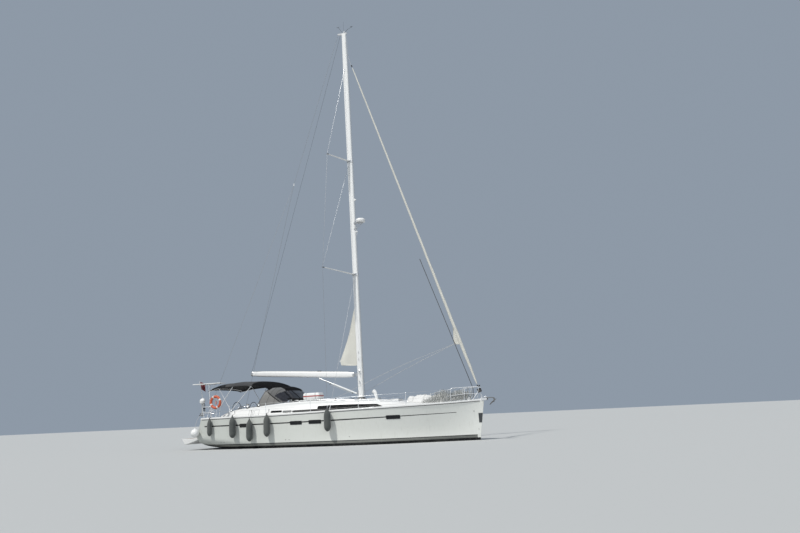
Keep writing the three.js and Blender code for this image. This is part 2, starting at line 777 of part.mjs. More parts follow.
const drum = join([
  rod(forestayAt(2230), forestayAt(2260), drumRadius, drumRadius, 14),
  rod(forestayAt(2225), forestayAt(2380), 55, 55, 10),
  rod(forestayAt(2370), forestayAt(2400), drumRadius, drumRadius, 14),
  rod(forestayAt(1990), forestayAt(2235), 16, 16, 8),
  box([7340, 7450], [-14, 14], [1800, 2020]),
]);
addPiece('furler_drum', onDeck(drum), 0x1c1c1c, 0.4, 0.2);

const craneEnd = at(444, 0, mastTopZ - 8);
const splitPoint = at(-2530, 0, 13980);
const backstayFoot = (side) => at(-7000, side * 1720, deckZ(-7000, 1720));
// A long wire with a short length at each end, which keeps its joints clean
const wireRun = (start, end) => tube([0, 0.03, 0.97, 1].map((share) => start.clone().lerp(end, share)), wire);
const backstay = join([
  wireRun(craneEnd, splitPoint),
  rod(splitPoint.clone().add(at(15, 0, 60)), splitPoint.clone().add(at(-25, 0, -60)), 26, 26, 8),
  ...sides.flatMap(([, side]) => {
    const foot = backstayFoot(side);
    return [
      wireRun(splitPoint, at(foot.x, foot.y, foot.z + 60)),
      box([foot.x - 40, foot.x + 40], [foot.y - 8, foot.y + 8], [foot.z - 40, foot.z + 90]),
    ];
  }),
]);
addPiece('backstay', onDeck(backstay), 0xb9bdc1, 0.3, 0.9);

// Clew of the mainsail standing out of the mast's slot
const slotX = (z) => mastX(z) - mastDepth - 4;
const clewSail = slab([
  [slotX(6850), 6850], [-10, 4190], [130, 3950], [slotX(3900), 3900],
], [-6, 6]);
addPiece('mainsail_clew', clewSail, 0xf1efe8, 0.85);

const radarZ = 11430;
const radarX = mastX(radarZ) + mastDepth + 300;
const radar = join([
  rod(at(radarX, 0, radarZ - 95), at(radarX, 0, radarZ + 20), 235, 250, 16),
  rod(at(radarX, 0, radarZ + 20), at(radarX, 0, radarZ + 120), 250, 150, 16),
  slab([
    [mastX(radarZ - 480) + mastDepth + 2, radarZ - 480], [radarX + 120, radarZ - 120],
    [radarX + 120, radarZ - 90],
    [mastX(radarZ - 90) + mastDepth + 2, radarZ - 90],
  ], [-30, 30]),
]);
addPiece('radar', radar, 0xf3f3f1, 0.4);

// Boom and kicker, which swing together about the mast's fork plates
const boomEnd = at(-5380, 0, 3850);
const boomFront = at(787, 0, 3442);
const boomLean = Math.atan2(boomEnd.z - boomFront.z, boomFront.x - boomEnd.x);
const boomLength = boomFront.distanceTo(boomEnd);
const boomSection = (along, half, deep) => {
  const centre = boomFront.clone().lerp(boomEnd, along / boomLength);
  return [[-1, -0.5], [-0.6, -1], [0.6, -1], [1, -0.5], [1, 0.6], [0.7, 1], [-0.7, 1], [-1, 0.6]]
    .map(([a, b]) => at(
      centre.x + Math.sin(boomLean) * deep * b, half * a, centre.z + Math.cos(boomLean) * deep * b,
    ));
};
const boom = join([
  loft([
    boomSection(0, 60, 120), boomSection(60, 72, 150), boomSection(boomLength - 90, 72, 155),
    boomSection(boomLength, 55, 120),
  ]),
  rod(
    at(pivotX(gooseneck.z - 40), 0, gooseneck.z - 42), at(pivotX(gooseneck.z + 40), 0, gooseneck.z + 42),
    26, 26, 10,
  ),
  box([boomFront.x - 80, gooseneck.x], [-16, 16], [gooseneck.z - 36, gooseneck.z + 36]),
]);
addPiece('boom', boom, 0xeeeeec, 0.35, 0.1);

const boomUnder = (x) => {
  const share = (boomFront.x - x) / (boomFront.x - boomEnd.x);
  return boomFront.z + (boomEnd.z - boomFront.z) * share - 155;
};
const kickerTop = at(-1300, 0, boomUnder(-1300) - 34);
const kickerFoot = at(pivotX(kickerFootZ), 0, kickerFootZ);
const kickerAt = (share) => kickerFoot.clone().lerp(kickerTop, share);
const kicker = join([
  rod(kickerAt(0), kickerAt(0.62), 32, 32, 8),
  rod(kickerAt(0.6), kickerAt(0.99), 24, 24, 8),
  rod(at(kickerFoot.x, 0, kickerFootZ - 26), at(kickerFoot.x, 0, kickerFootZ + 26), 24, 24, 10),
  box([kickerTop.x - 60, kickerTop.x + 60], [-20, 20], [kickerTop.z - 20, kickerTop.z + 40]),
]).subtract(box([kickerFoot.x - 40, kickerFoot.x + 60], [-60, 60], [kickerFootZ + 27, kickerFootZ + 200]))
  .subtract(box([kickerFoot.x - 40, kickerFoot.x + 60], [-60, 60], [kickerFootZ - 200, kickerFootZ - 27]))
  .subtract(boom.translate(0, 0, -gap));
addPiece('kicker', kicker, 0xf0f0ee, 0.35, 0.1);

// Bow: roller, anchor, windlass and the chafe plate
const rollerZ = deckZ(7300, 0) + 45;
const roller = join([
  box([7080, 7560], [-95, 95], [rollerZ - 70, rollerZ - 20]),
  ...[-1, 1].map((side) => box([7080, 7700], across(side, 83, 95), [rollerZ - 60, rollerZ + 60])),
  box([7540, 7560], [-95, 95], [rollerZ - 60, rollerZ - 20]),
  rod(at(7650, -90, rollerZ + 5), at(7650, 90, rollerZ + 5), 34, 34, 10),
]).subtract(drum.translate(-gap, 0, 0)).subtract(box([7330, 7460], [-15, 15], [1700, 2100]));
addPiece('bow_roller', onDeck(roller).subtract(wholeHull), 0xb9bdc1, 0.3, 0.9);
const anchor = join([
  slab([
    [7530, rollerZ + 50], [7530, rollerZ + 80], [8000, rollerZ + 62], [8040, rollerZ - 60],
    [7985, rollerZ - 60],
    [7960, rollerZ + 30],
  ], [-11, 11]),
  loft([
    [at(8130, 0, rollerZ - 5), at(8130, -10, rollerZ - 25), at(8130, 10, rollerZ - 25)],
    [at(7900, 0, rollerZ - 150), at(7900, -150, rollerZ - 110), at(7900, 150, rollerZ - 110)],
    [at(7790, 0, rollerZ - 270), at(7790, -20, rollerZ - 300), at(7790, 20, rollerZ - 300)],
  ]),
]);
addPiece('anchor', anchor, 0x6e7276, 0.5, 0.8);
const windlassAt = at(6760, 0, deckZ(6760, 0));
const windlass = join([
  rod(at(windlassAt.x, 0, windlassAt.z - 30), at(windlassAt.x, 0, windlassAt.z + 60), 110, 100, 12),
  rod(at(windlassAt.x, 0, windlassAt.z + 55), at(windlassAt.x, 0, windlassAt.z + 170), 62, 50, 12),
]);
addPiece('windlass', onDeck(windlass), 0xc4c8cc, 0.25, 0.95);

// Guard rails
const rail = 13;
const railFoot = (x, inset = 70) => at(x, edgeY(x) - inset, deckZ(x, edgeY(x) - inset));
const stanchionXs = [-5350, -3120, -580, 1940, 4200];
const handed = (solid, side) => (side > 0 ? solid : mirrored(solid));
const railTop = (x, inset = 70) => railFoot(x, inset).add(at(0, 0, railHeight));

const pulpitAft = 6150;
const pulpitHalf = () => {
  const aftTop = railTop(pulpitAft);
  const front = at(7330, 150, deckZ(7200, 0) + railHeight + 30);
  const frontFoot = at(7020, edgeY(7020) - 70, deckZ(7020, 200) - 40);
  const top = tube(rounded([
    railFoot(pulpitAft).add(at(0, 0, -40)), aftTop, at(6800, edgeY(6800) - 60, front.z), front, frontFoot,
  ], 120), rail);
  const middle = tube([
    railFoot(pulpitAft).add(at(0, 0, railHeight / 2)),
    at(6720, edgeY(6720) - 65, deckZ(6700, 300) + railHeight / 2),
    at(7175, 175, deckZ(7100, 100) + railHeight / 2),
  ], rail * 0.8);
  const leg = tube([railFoot(6680).add(at(0, 0, -40)), at(6760, edgeY(6760) - 62, front.z - 4)], rail);
  return join([top, middle, leg]);
};
const pulpit = pulpitHalf();

const pushpitFront = -6480;
const pushpitAft = -7200;
const pushpitTopZ = deckZ(-6900, 1900) + railHeight;
const pushpitHalf = () => {
  const foot = railFoot(pushpitFront);
  const innerFoot = at(-6690, 1380, deckZ(-6690, 1380) - 40);
  const innerTop = at(pushpitAft, 1380, pushpitTopZ);
  const middleZ = pushpitTopZ - 300;
  const top = tube(rounded([
    foot.clone().add(at(0, 0, -40)), at(pushpitFront, foot.y, pushpitTopZ), at(pushpitAft, 1880, pushpitTopZ),
    innerTop, innerFoot,
  ], 130), rail);
  const middle = tube(rounded([
    at(pushpitFront, foot.y, middleZ), at(pushpitAft + 50, 1885, middleZ),
    innerFoot.clone().lerp(innerTop, (middleZ - innerFoot.z) / (innerTop.z - innerFoot.z)),
  ], 110), rail * 0.8);
  const leg = tube([at(-7060, 1850, deckZ(-7060, 1850) - 40), at(pushpitAft + 20, 1850, pushpitTopZ)], rail);
  return join([top, middle, leg]);
};
const pushpit = pushpitHalf();

const lifelineHalf = () => {
  const posts = stanchionXs.map((x) => {
    const foot = railFoot(x);
    return rod(at(foot.x, foot.y, foot.z - 40), at(foot.x, foot.y, foot.z + railHeight + 12), 12.5, 12.5, 6);
  });
  const run = (share) => tube([
    at(pushpitFront + 22, railFoot(pushpitFront).y, pushpitTopZ - railHeight * (1 - share) * 0.97),
    ...stanchionXs.map((x) => railFoot(x).add(at(0, 0, railHeight * share))),
    railFoot(pulpitAft - 22).add(at(0, 0, railHeight * share)),
  ], 5);
  return join([...posts, run(0.97), run(0.5)]);
};
const lifelines = lifelineHalf();
sides.forEach(([name, side]) => {
  addPiece(`pulpit_${name}`, onDeck(handed(pulpit, side)), 0xc4c8cc, 0.2, 0.95);
  addPiece(`pushpit_${name}`, onDeck(handed(pushpit, side)), 0xc4c8cc, 0.2, 0.95);
  addPiece(`lifelines_${name}`, onDeck(handed(lifelines, side)), 0xc4c8cc, 0.25, 0.9);
});

// Cockpit: pedestals, wheels and a table with two leaves
const wheelY = 800;
const wheelX = -5760;
const wheelZ = 1950;
const wheelRadius = 420;
const spokeCount = 5;
sides.forEach(([name, side]) => {
  const y = side * wheelY;
  const pedestal = join([
    slab([
      [-5660, soleHeight + gap], [-5420, soleHeight + gap], [-5480, 1900], [-5560, 2040],
      [-5680, 1990], [-5700, 1860],
    ], [y - 130, y + 130]),
    rod(at(wheelX + 40, y, wheelZ), at(-5640, y, wheelZ), 34, 34, 10),
  ]);
  addPiece(`pedestal_${name}`, pedestal, 0xf0f0ee, 0.4);
  const rim = new THREE.TorusGeometry(wheelRadius, 14, 6, 28);
  rim.rotateY(Math.PI / 2);
  rim.translate(wheelX, y, wheelZ);
  const spokes = [...Array(spokeCount).keys()].map((index) => {
    const turn = (index / spokeCount) * 2 * Math.PI + Math.PI / 2;
    return rod(
      at(wheelX + 8, y, wheelZ),
      at(wheelX, y + wheelRadius * Math.cos(turn), wheelZ + wheelRadius * Math.sin(turn)),
      9, 9, 6,
    );
  });
  const hub = rod(at(wheelX - 22, y, wheelZ), at(wheelX + 34, y, wheelZ), 42, 42, 12);
  addPiece(`wheel_${name}`, join([solidOf(rim), ...spokes, hub]), 0x2a2c2e, 0.4, 0.3);
});

const table = { aft: -4550, front: -3350, half: 120, top: 1790, thick: 28, leaf: 340 };
addPiece('cockpit_table', join([
  box([table.aft, table.front], [-table.half, table.half], [table.top - table.thick, table.top]),
  box([table.aft + 60, table.front - 60], [-70, 70], [table.top - 330, table.top - 10]),
  box([table.aft + 160, table.aft + 300], [-45, 45], [soleHeight + gap, table.top - 300]),
  box([table.front - 300, table.front - 160], [-45, 45], [soleHeight + gap, table.top - 300]),
]), 0xb08a60, 0.55);
sides.forEach(([name, side]) => {
  const inner = table.half + 8;
  addPiece(`table_leaf_${name}`, box(
    [table.aft, table.front], across(side, inner, inner + table.thick), [table.top - table.leaf, table.top],
  ), 0xb08a60, 0.55);
});

// Sprayhood and bimini
const arch = (foot, top, bulge, steps = 8, bow = 0) => {
  const row = [];
  for (let i = 0; i <= steps * 2; i += 1) {
    const turn = (i / (steps * 2)) * Math.PI;
    const over = Math.abs(Math.cos(turn)) ** (2 / bulge) * Math.sign(Math.cos(turn));
    const up = Math.sin(turn) ** (2 / bulge);
    const x = foot.x + (top.x - foot.x) * up + bow * (1 - over ** 2);
    row.push(at(x, foot.y * over, foot.z + (top.z - foot.z) * up));
  }
  return row;
};
// columns: x of the foot, half width, height of the foot, x of the top, height of the top,
// and how far the middle bows forward
const hoodRows = [
  [-4100, 1500, 2030, -3500, 3045, 0],
  [-3600, 1480, 2110, -3140, 3055, 40],
  [-3150, 1440, 2150, -2960, 2950, 180],
  [-2800, 1360, 2185, -2700, 2650, 280],
  [-2450, 1260, 2210, -2420, 2380, 340],
];
const clothThick = 10;
const hoodGrid = hoodRows.map(
  ([x, y, z, topX, topZ, bow]) => arch(at(x, y, z), at(topX, 0, topZ), 4, 6, bow),
);
const sprayhood = shell(hoodGrid, clothThick);
addPiece('sprayhood', onDeck(sprayhood.subtract(wholeDeck.translate(0, 0, 4))), 0x6f7478, 0.9);

// columns: x, half width, height of the side edge, height of the crown
const biminiRows = [
  [-7080, 1500, 2985, 3080],
  [-6750, 1600, 3040, 3240],
  [-6320, 1660, 3090, 3350],
  [-5500, 1690, 3095, 3430],
  [-4700, 1690, 3070, 3425],
  [-4300, 1660, 3045, 3385],
  [-3850, 1440, 3045, 3305],
  [-3330, 1240, 3020, 3085],
];
const biminiGrid = biminiRows.map(([x, y, z, crown]) => arch(at(x, y, z), at(x, 0, crown), 2.1, 6));
const backstaySlots = join(sides.map(([, side]) => {
  const foot = backstayFoot(side);
  return rod(splitPoint, at(foot.x, foot.y, foot.z + 60), wire + 14, wire + 14, 8);
}));
const canopy = shell(biminiGrid, clothThick);
addPiece('bimini_canopy', canopy.subtract(backstaySlots), 0x70757a, 0.9);

const biminiPivot = at(-5560, 1655, 0);
const bowUnder = (x) => {
  let row = 0;
  while (row < biminiRows.length - 2 && x > biminiRows[row + 1][0]) row += 1;
  const [start, end] = [biminiRows[row], biminiRows[row + 1]];
  const share = (x - start[0]) / (end[0] - start[0]);
  const [half, edge, crown] = [1, 2, 3].map((c) => start[c] + (end[c] - start[c]) * share);
  return arch(at(x, half - 45, edge - 40), at(x, 0, crown - 46), 2.1, 6);
};
const pivotZ = crownZ(biminiPivot.x) - 40;
const frameBow = (x, footX, footZ) => {
  const feet = [1, -1].map((side) => at(footX, side * biminiPivot.y, footZ));
  return tube([feet[0], ...bowUnder(x), feet[1]], 14);
};
const biminiFrame = join([
  frameBow(-6300, biminiPivot.x, pivotZ),
  frameBow(-4340, biminiPivot.x, pivotZ),
  tube(bowUnder(-5430), 14),
  ...[1, -2].map((index) => tube([-6300, -5430, -4340].map((x) => bowUnder(x).at(index)), 9)),
  ...sides.map(([, side]) => tube(rounded([
    at(-6210, side * 1790, edgeZ(-6210)), at(-6120, side * 1780, 2200), at(-5450, side * 1640, 3075),
  ], 300), 14)),
]);
addPiece('bimini_frame', onDeck(biminiFrame).subtract(backstaySlots), 0xd8dadc, 0.25, 0.9);

// Gear on the quarters
const starboardRails = handed(pushpit, -1).add(handed(lifelines, -1));
const clearOfRails = (solid) => [[gap, 0], [-gap, 0], [0, gap], [0, -gap]].reduce(
  (rest, [x, y]) => rest.subtract(starboardRails.translate(x, y, 0)), solid,
);
const panelPole = at(-6700, -1790, 0);
const solarPanel = join([
  box([-7650, -5950], [-2060, -1540], [3350, 3385]),
  rod(
    at(panelPole.x, panelPole.y, deckZ(-6700, 1790) - 20), at(panelPole.x - 130, panelPole.y, 3360),
    20, 20, 8,
  ),
]);
addPiece('solar_panel', onDeck(solarPanel), 0x8c9196, 0.4, 0.4);

const motorAt = at(-7290, -1700, 0);
const outboard = join([
  ball(at(motorAt.x, motorAt.y, 2500), at(150, 115, 140), 12, 8),
  box([motorAt.x - 45, motorAt.x + 45], [motorAt.y - 30, motorAt.y + 30], [1830, 2440]),
  box([motorAt.x + 20, motorAt.x + 138], [motorAt.y - 75, motorAt.y + 75], [2080, 2150]),
  ball(at(motorAt.x + 20, motorAt.y, 1790), at(130, 45, 45), 10, 6),
  slab([[motorAt.x + 45, 1800], [motorAt.x - 20, 1800], [motorAt.x - 10, 1650], [motorAt.x + 20, 1640]],
    [motorAt.y - 8, motorAt.y + 8]),
]);
addPiece('outboard_motor', clearOfRails(outboard), 0xe8e8e6, 0.4);

const buoyAt = at(-6145, -2160, 2390);
const buoy = new THREE.TorusGeometry(290, 58, 10, 28);
buoy.scale(1, 1, 0.8);
buoy.rotateX(Math.PI / 2);
buoy.translate(buoyAt.x, buoyAt.y, buoyAt.z);
const buoyHolder = rod(at(-6495, -2052, 2170), at(-6330, -2150, 2180), 16, 16, 6);
addPiece('lifebuoy', solidOf(buoy).add(clearOfRails(buoyHolder)), 0xd6502e, 0.7);

// The staff stands in two brackets on the stern rail
const staffFoot = at(-7262, -1475, pushpitTopZ - 340);
const staffTop = at(-7640, -1475, 3560);
const staffAt = (z) => staffFoot.clone().lerp(staffTop, (z - staffFoot.z) / (staffTop.z - staffFoot.z));
const staff = join([
  rod(staffFoot, staffTop, 14, 11, 8),
  ball(staffTop, at(22, 22, 22), 8, 6),
  ...[pushpitTopZ, pushpitTopZ - 300].map(
    (z) => box([staffAt(z).x, pushpitAft + 90], [-1487, -1463], [z - 18, z + 18]),
  ),
]);
addPiece('ensign_staff', clearOfRails(staff), 0x9c6a3c, 0.5);

const flagGrid = [];
for (let i = 0; i <= 4; i += 1) {
  const drop = i / 4;
  const row = [];
  for (let j = 0; j <= 5; j += 1) {
    const along = j / 5;
    const hoist = staffTop.clone().lerp(staffFoot, 0.27 - drop * 0.25);
    row.push(at(hoist.x + 22 + along * 330, hoist.y + Math.sin(along * 9 + drop) * 30, hoist.z - along * 60));
  }
  flagGrid.push(row);
}
addPiece('ensign', shell(flagGrid, 6), 0x6d2230, 0.9);

// Liferaft, foredeck bundle and fenders
const raftBase = Math.max(roofTop(-1750, -750), roofTop(-750, -450)) + 20;
const raftShape = [
  [-1690, 0], [-1690, 250], [-1630, 330], [-800, 330], [-740, 250], [-740, 0],
].map(([x, up]) => [x, raftBase + up]);
const raft = join([
  slab(raftShape, [-1060, -450]),
  box([-1640, -1560], [-1040, -470], [raftBase - 60, raftBase + 10]),
  box([-940, -860], [-1040, -470], [raftBase - 60, raftBase + 10]),
]);
addPiece('liferaft', onDeck(raft), 0xf2f2f0, 0.45);

const bundleRows = [
  [3640, 120, 2010], [3900, 420, 2120], [4500, 520, 2230], [5100, 540, 2275], [5500, 500, 2290],
  [5610, 430, 2240],
];
const bundle = loft(bundleRows.map(([x, half, top]) => {
  const low = deckZ(x, 0) - 30;
  return arch(at(x, half, low), at(x, 0, top), 2.6, 5);
}));
addPiece('foredeck_bundle', onDeck(bundle), 0xe6e6e3, 0.9);

// Shares of the radius and of half the length, from the bottom up
const fenderProfile = [[0, -1], [0.4, -0.93], [1, -0.72], [1, 0.55], [0.55, 0.86], [0.2, 0.98], [0, 1]];
// columns: x, height of the middle, radius, half length
const fenderRows = [
  [-6480, 1115, 125, 430], [-4990, 1090, 165, 540], [-3960, 900, 165, 540], [-2925, 1095, 165, 540],
  [440, 1240, 165, 540],
];
fenderRows.forEach(([x, z, radius, half], index) => {
  const place = placeOf(x);
  const reach = Math.max(edgeHalf(place), edgeHalf(place + 0.01), sideHalf(place, z + 400)) + 12;
  const y = -(reach + radius);
  const outline = fenderProfile.map(([r, h]) => new THREE.Vector2(r * radius, h * half));
  const body = new THREE.LatheGeometry(outline, 12);
  body.rotateX(Math.PI / 2);
  body.translate(x, y, z);
  const topZ = edgeHeight(place) + deckRise + railHeight * 0.5;
  const hook = -(edgeHalf(place) - 70);
  const lanyard = tube([
    at(x, y, z + half - 20), at(x, -(reach + 10), topZ - 160), at(x, hook - 16, topZ),
  ], 7);
  addPiece(`fender_${index + 1}`, clearOfRails(solidOf(body).add(lanyard)), 0x4a4f50, 0.85);
});

const ballAt = at(-7400, -2190, 875);
const ballLine = tube([
  at(ballAt.x, ballAt.y, ballAt.z + 150), at(-7330, ballAt.y, 1560), at(-7165, -1905, 1900),
], 7);
addPiece('ball_fender', clearOfRails(ball(ballAt, at(215, 215, 235), 14, 10).add(ballLine)), 0xf4f4f2, 0.5);

export default group;
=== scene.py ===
import json
import math

import bmesh
import bpy
from mathutils import Matrix, Vector, noise

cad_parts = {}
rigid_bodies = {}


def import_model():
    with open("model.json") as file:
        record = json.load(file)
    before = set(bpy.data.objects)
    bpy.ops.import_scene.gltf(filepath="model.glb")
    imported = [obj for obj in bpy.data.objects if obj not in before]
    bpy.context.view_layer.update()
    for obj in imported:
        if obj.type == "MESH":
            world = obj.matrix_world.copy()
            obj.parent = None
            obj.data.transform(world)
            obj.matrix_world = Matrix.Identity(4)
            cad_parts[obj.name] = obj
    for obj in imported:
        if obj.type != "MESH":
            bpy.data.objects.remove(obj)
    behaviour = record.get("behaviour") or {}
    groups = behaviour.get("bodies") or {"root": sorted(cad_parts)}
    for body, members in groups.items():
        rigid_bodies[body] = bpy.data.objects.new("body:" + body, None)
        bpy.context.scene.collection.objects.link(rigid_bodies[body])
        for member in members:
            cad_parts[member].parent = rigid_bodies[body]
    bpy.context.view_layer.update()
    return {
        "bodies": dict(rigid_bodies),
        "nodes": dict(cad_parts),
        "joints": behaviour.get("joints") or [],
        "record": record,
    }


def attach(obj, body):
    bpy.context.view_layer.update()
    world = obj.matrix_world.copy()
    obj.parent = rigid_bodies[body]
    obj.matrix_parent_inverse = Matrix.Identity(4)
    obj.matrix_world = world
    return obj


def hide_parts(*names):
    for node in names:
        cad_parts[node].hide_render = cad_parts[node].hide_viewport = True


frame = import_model()
scene = bpy.context.scene
scene.view_settings.view_transform = "Standard"

# Camera: the photograph's own place and angle, 800 by 533
cameraView = {
    "place": (18.495, -37.052, 1.225),
    "right": (0.9231, 0.3819, -0.0441),
    "up": (0.1107, -0.1544, 0.9818),
    "sensor": 36.0,
    "lens": 35.99,
    "farthest": 3000.0,
}


def makeCamera():
    right = Vector(cameraView["right"]).normalized()
    back = right.cross(Vector(cameraView["up"])).normalized()
    turn = Matrix((right, back.cross(right), back)).transposed()
    lens = bpy.data.cameras.new("camera")
    lens.sensor_width = cameraView["sensor"]
    lens.lens = cameraView["lens"]
    lens.clip_end = cameraView["farthest"]
    camera = bpy.data.objects.new("camera", lens)
    camera.matrix_world = Matrix.Translation(cameraView["place"]) @ turn.to_4x4()
    scene.collection.objects.link(camera)
    scene.camera = camera


# Node trees, written as short calls
class Nodes:
    def __init__(self, tree):
        self.tree = tree

    def feed(self, socket, value):
        if isinstance(value, bpy.types.NodeSocket):
            self.tree.links.new(value, socket)
        else:
            socket.default_value = value

    def add(self, kind, inputs=None, **settings):
        made = self.tree.nodes.new(kind)
        for key, value in settings.items():
            setattr(made, key, value)
        for key, value in (inputs or {}).items():
            self.feed(made.inputs[key], value)
        return made

    def maths(self, operation, *values, clamp=False):
        made = self.add("ShaderNodeMath", operation=operation, use_clamp=clamp)
        for socket, value in zip(made.inputs, values):
            self.feed(socket, value)
        return made.outputs[0]

    def spread(self, value, low, high, toLow=0.0, toHigh=1.0):
        made = self.add("ShaderNodeMapRange", {
            "Value": value, "From Min": low, "From Max": high, "To Min": toLow, "To Max": toHigh,
        })
        return made.outputs["Result"]

    def blendColours(self, share, first, second, how="MIX"):
        made = self.add("ShaderNodeMix", data_type="RGBA", blend_type=how)
        for index, value in ((0, share), (6, first), (7, second)):
            self.feed(made.inputs[index], value)
        return made.outputs[2]

    def objectPlace(self, scale=(1, 1, 1)):
        place = self.add("ShaderNodeTexCoord").outputs["Object"]
        return self.add("ShaderNodeMapping", {"Vector": place, "Scale": scale}).outputs["Vector"]

    def cloud(self, scale, detail=3.0, vector=None):
        inputs = {"Scale": scale, "Detail": detail}
        inputs["Vector"] = vector if vector is not None else self.objectPlace()
        return self.add("ShaderNodeTexNoise", inputs).outputs["Fac"]


def newGroup(name, kind, inputs, outputs):
    tree = bpy.data.node_groups.new(name, kind)
    for label, socketKind, value in inputs:
        socket = tree.interface.new_socket(label, in_out="INPUT", socket_type="NodeSocket" + socketKind)
        if value is not None:
            socket.default_value = value
    for label, socketKind in outputs:
        tree.interface.new_socket(label, in_out="OUTPUT", socket_type="NodeSocket" + socketKind)
    nodes = Nodes(tree)
    return tree, nodes, nodes.add("NodeGroupInput").outputs, nodes.add("NodeGroupOutput").inputs


# Effects that several finishes share
def makeWeathering():
    tree, n, given, out = newGroup("weathering", "ShaderNodeTree",
                                   [("Color", "Color", (0.8, 0.8, 0.8, 1)),
                                    ("Grime", "Color", (0.3, 0.27, 0.22, 1)), ("Amount", "Float", 0.2),
                                    ("Scale", "Float", 1.5), ("Roughness", "Float", 0.5),
                                    ("Spread", "Float", 0.1)],
                                   [("Color", "Color"), ("Roughness", "Float"), ("Mask", "Float")])
    broad = n.cloud(given["Scale"])
    fine = n.cloud(n.maths("MULTIPLY", given["Scale"], 9.0), 4.0)
    mixed = n.maths("ADD", n.maths("MULTIPLY", broad, 0.65), n.maths("MULTIPLY", fine, 0.35))
    mask = n.maths("MULTIPLY", n.spread(mixed, 0.42, 0.7), given["Amount"])
    n.feed(out["Mask"], mask)
    n.feed(out["Color"], n.blendColours(mask, given["Color"], given["Grime"]))
    change = n.maths("MULTIPLY", n.maths("SUBTRACT", fine, 0.5), given["Spread"])
    n.feed(out["Roughness"], n.maths("ADD", given["Roughness"], change, clamp=True))
    return tree


def makeGrain():
    tree, n, given, out = newGroup("grain", "ShaderNodeTree", [
        ("Scale", "Float", 200.0), ("Depth", "Float", 0.001), ("Stretch", "Vector", (1, 1, 1)),
    ], [("Normal", "Vector"), ("Mask", "Float")])
    place = n.add("ShaderNodeTexCoord").outputs["Object"]
    stretched = n.add("ShaderNodeVectorMath", {0: place, 1: given["Stretch"]}, operation="MULTIPLY")
    height = n.cloud(given["Scale"], 2.0, stretched.outputs[0])
    bump = n.add("ShaderNodeBump", {"Strength": 0.6, "Distance": given["Depth"], "Height": height})
    n.feed(out["Normal"], bump.outputs["Normal"])
    n.feed(out["Mask"], height)
    return tree


def makeWeave():
    tree, n, given, out = newGroup("weave", "ShaderNodeTree", [
        ("Color", "Color", (0.3, 0.3, 0.3, 1)), ("Thread", "Float", 0.0015), ("Depth", "Float", 0.0006),
        ("Contrast", "Float", 0.25),
    ], [("Color", "Color"), ("Normal", "Vector")])
    across = n.add("ShaderNodeSeparateXYZ", {"Vector": n.add("ShaderNodeUVMap").outputs["UV"]})
    waves = []
    for axis in ("X", "Y"):
        turns = n.maths("DIVIDE", across.outputs[axis], given["Thread"])
        waves.append(n.maths("SINE", n.maths("MULTIPLY", turns, math.pi)))
    crossing = n.maths("MULTIPLY", waves[0], waves[1])
    dark = n.maths("MULTIPLY", n.spread(crossing, -1, 1), given["Contrast"])
    n.feed(out["Color"], n.blendColours(dark, given["Color"], (0, 0, 0, 1)))
    bump = n.add("ShaderNodeBump", {"Strength": 0.7, "Distance": given["Depth"], "Height": crossing})
    n.feed(out["Normal"], bump.outputs["Normal"])
    return tree


weathering = makeWeathering()
grain = makeGrain()
weave = makeWeave()


def rgba(colour):
    return (*colour, 1.0)


# A plain finish: colour with grime, uneven gloss and a fine grain
def newFinish(name, colour, roughness=0.5, metallic=0.0, amount=0.15, grime=(0.25, 0.23, 0.2), scale=1.2,
              spread=0.12, grainScale=180.0, depth=0.0004, stretch=(1, 1, 1), **shaderValues):
    material = bpy.data.materials.new(name)
    material.use_nodes = True
    n = Nodes(material.node_tree)
    shader = material.node_tree.nodes["Principled BSDF"]
    worn = n.add("ShaderNodeGroup", node_tree=weathering)
    for key, value in (("Color", rgba(colour)), ("Grime", rgba(grime)), ("Amount", amount), ("Scale", scale),
                       ("Roughness", roughness), ("Spread", spread)):
        n.feed(worn.inputs[key], value)
    n.feed(shader.inputs["Base Color"], worn.outputs["Color"])
    n.feed(shader.inputs["Roughness"], worn.outputs["Roughness"])
    shader.inputs["Metallic"].default_value = metallic
    grained = n.add("ShaderNodeGroup", node_tree=grain)
    for key, value in (("Scale", grainScale), ("Depth", depth), ("Stretch", stretch)):
        n.feed(grained.inputs[key], value)
    n.feed(shader.inputs["Normal"], grained.outputs["Normal"])
    for key, value in shaderValues.items():
        shader.inputs[key.replace("_", " ")].default_value = value
    return material


# The colour that feeds a finish's grime is swapped for one worked out by nodes
def paintOver(material, makeColour):
    n = Nodes(material.node_tree)
    worn = next(node for node in material.node_tree.nodes
                if node.type == "GROUP" and node.node_tree == weathering)
    n.feed(worn.inputs["Color"], makeColour(n))
    return material


def newCloth(name, colour, thread, contrast=0.3, roughness=0.9, sheen=0.25, amount=0.2,
             grime=(0.5, 0.5, 0.48), **shaderValues):
    material = newFinish(name, colour, roughness, amount=amount, grime=grime, scale=1.6, Sheen_Weight=sheen,
                         **shaderValues)
    n = Nodes(material.node_tree)
    shader = material.node_tree.nodes["Principled BSDF"]
    worn = shader.inputs["Base Color"].links[0].from_socket
    woven = n.add("ShaderNodeGroup", node_tree=weave)
    for key, value in (("Color", worn), ("Thread", thread), ("Depth", thread * 0.4), ("Contrast", contrast)):
        n.feed(woven.inputs[key], value)
    n.feed(shader.inputs["Base Color"], woven.outputs["Color"])
    n.feed(shader.inputs["Normal"], woven.outputs["Normal"])
    return material


# Light, floor and background
stageLook = {
    "floorColour": (0.42, 0.43, 0.43),
    "floorSize": 1500.0,
    "skyColour": (0.27, 0.32, 0.385),
    "skyStrength": 1.0,
    "sunStrength": 3.5,
    "sunAngle": 0.05,
    "sunHeading": (0.25, 0.52, -0.78),
    "sunColour": (1.0, 0.975, 0.93),
    "fillStrength": 1.15,
    "fillAngle": 1.2,
    "fillHeading": (-0.75, 0.62, -0.25),
}


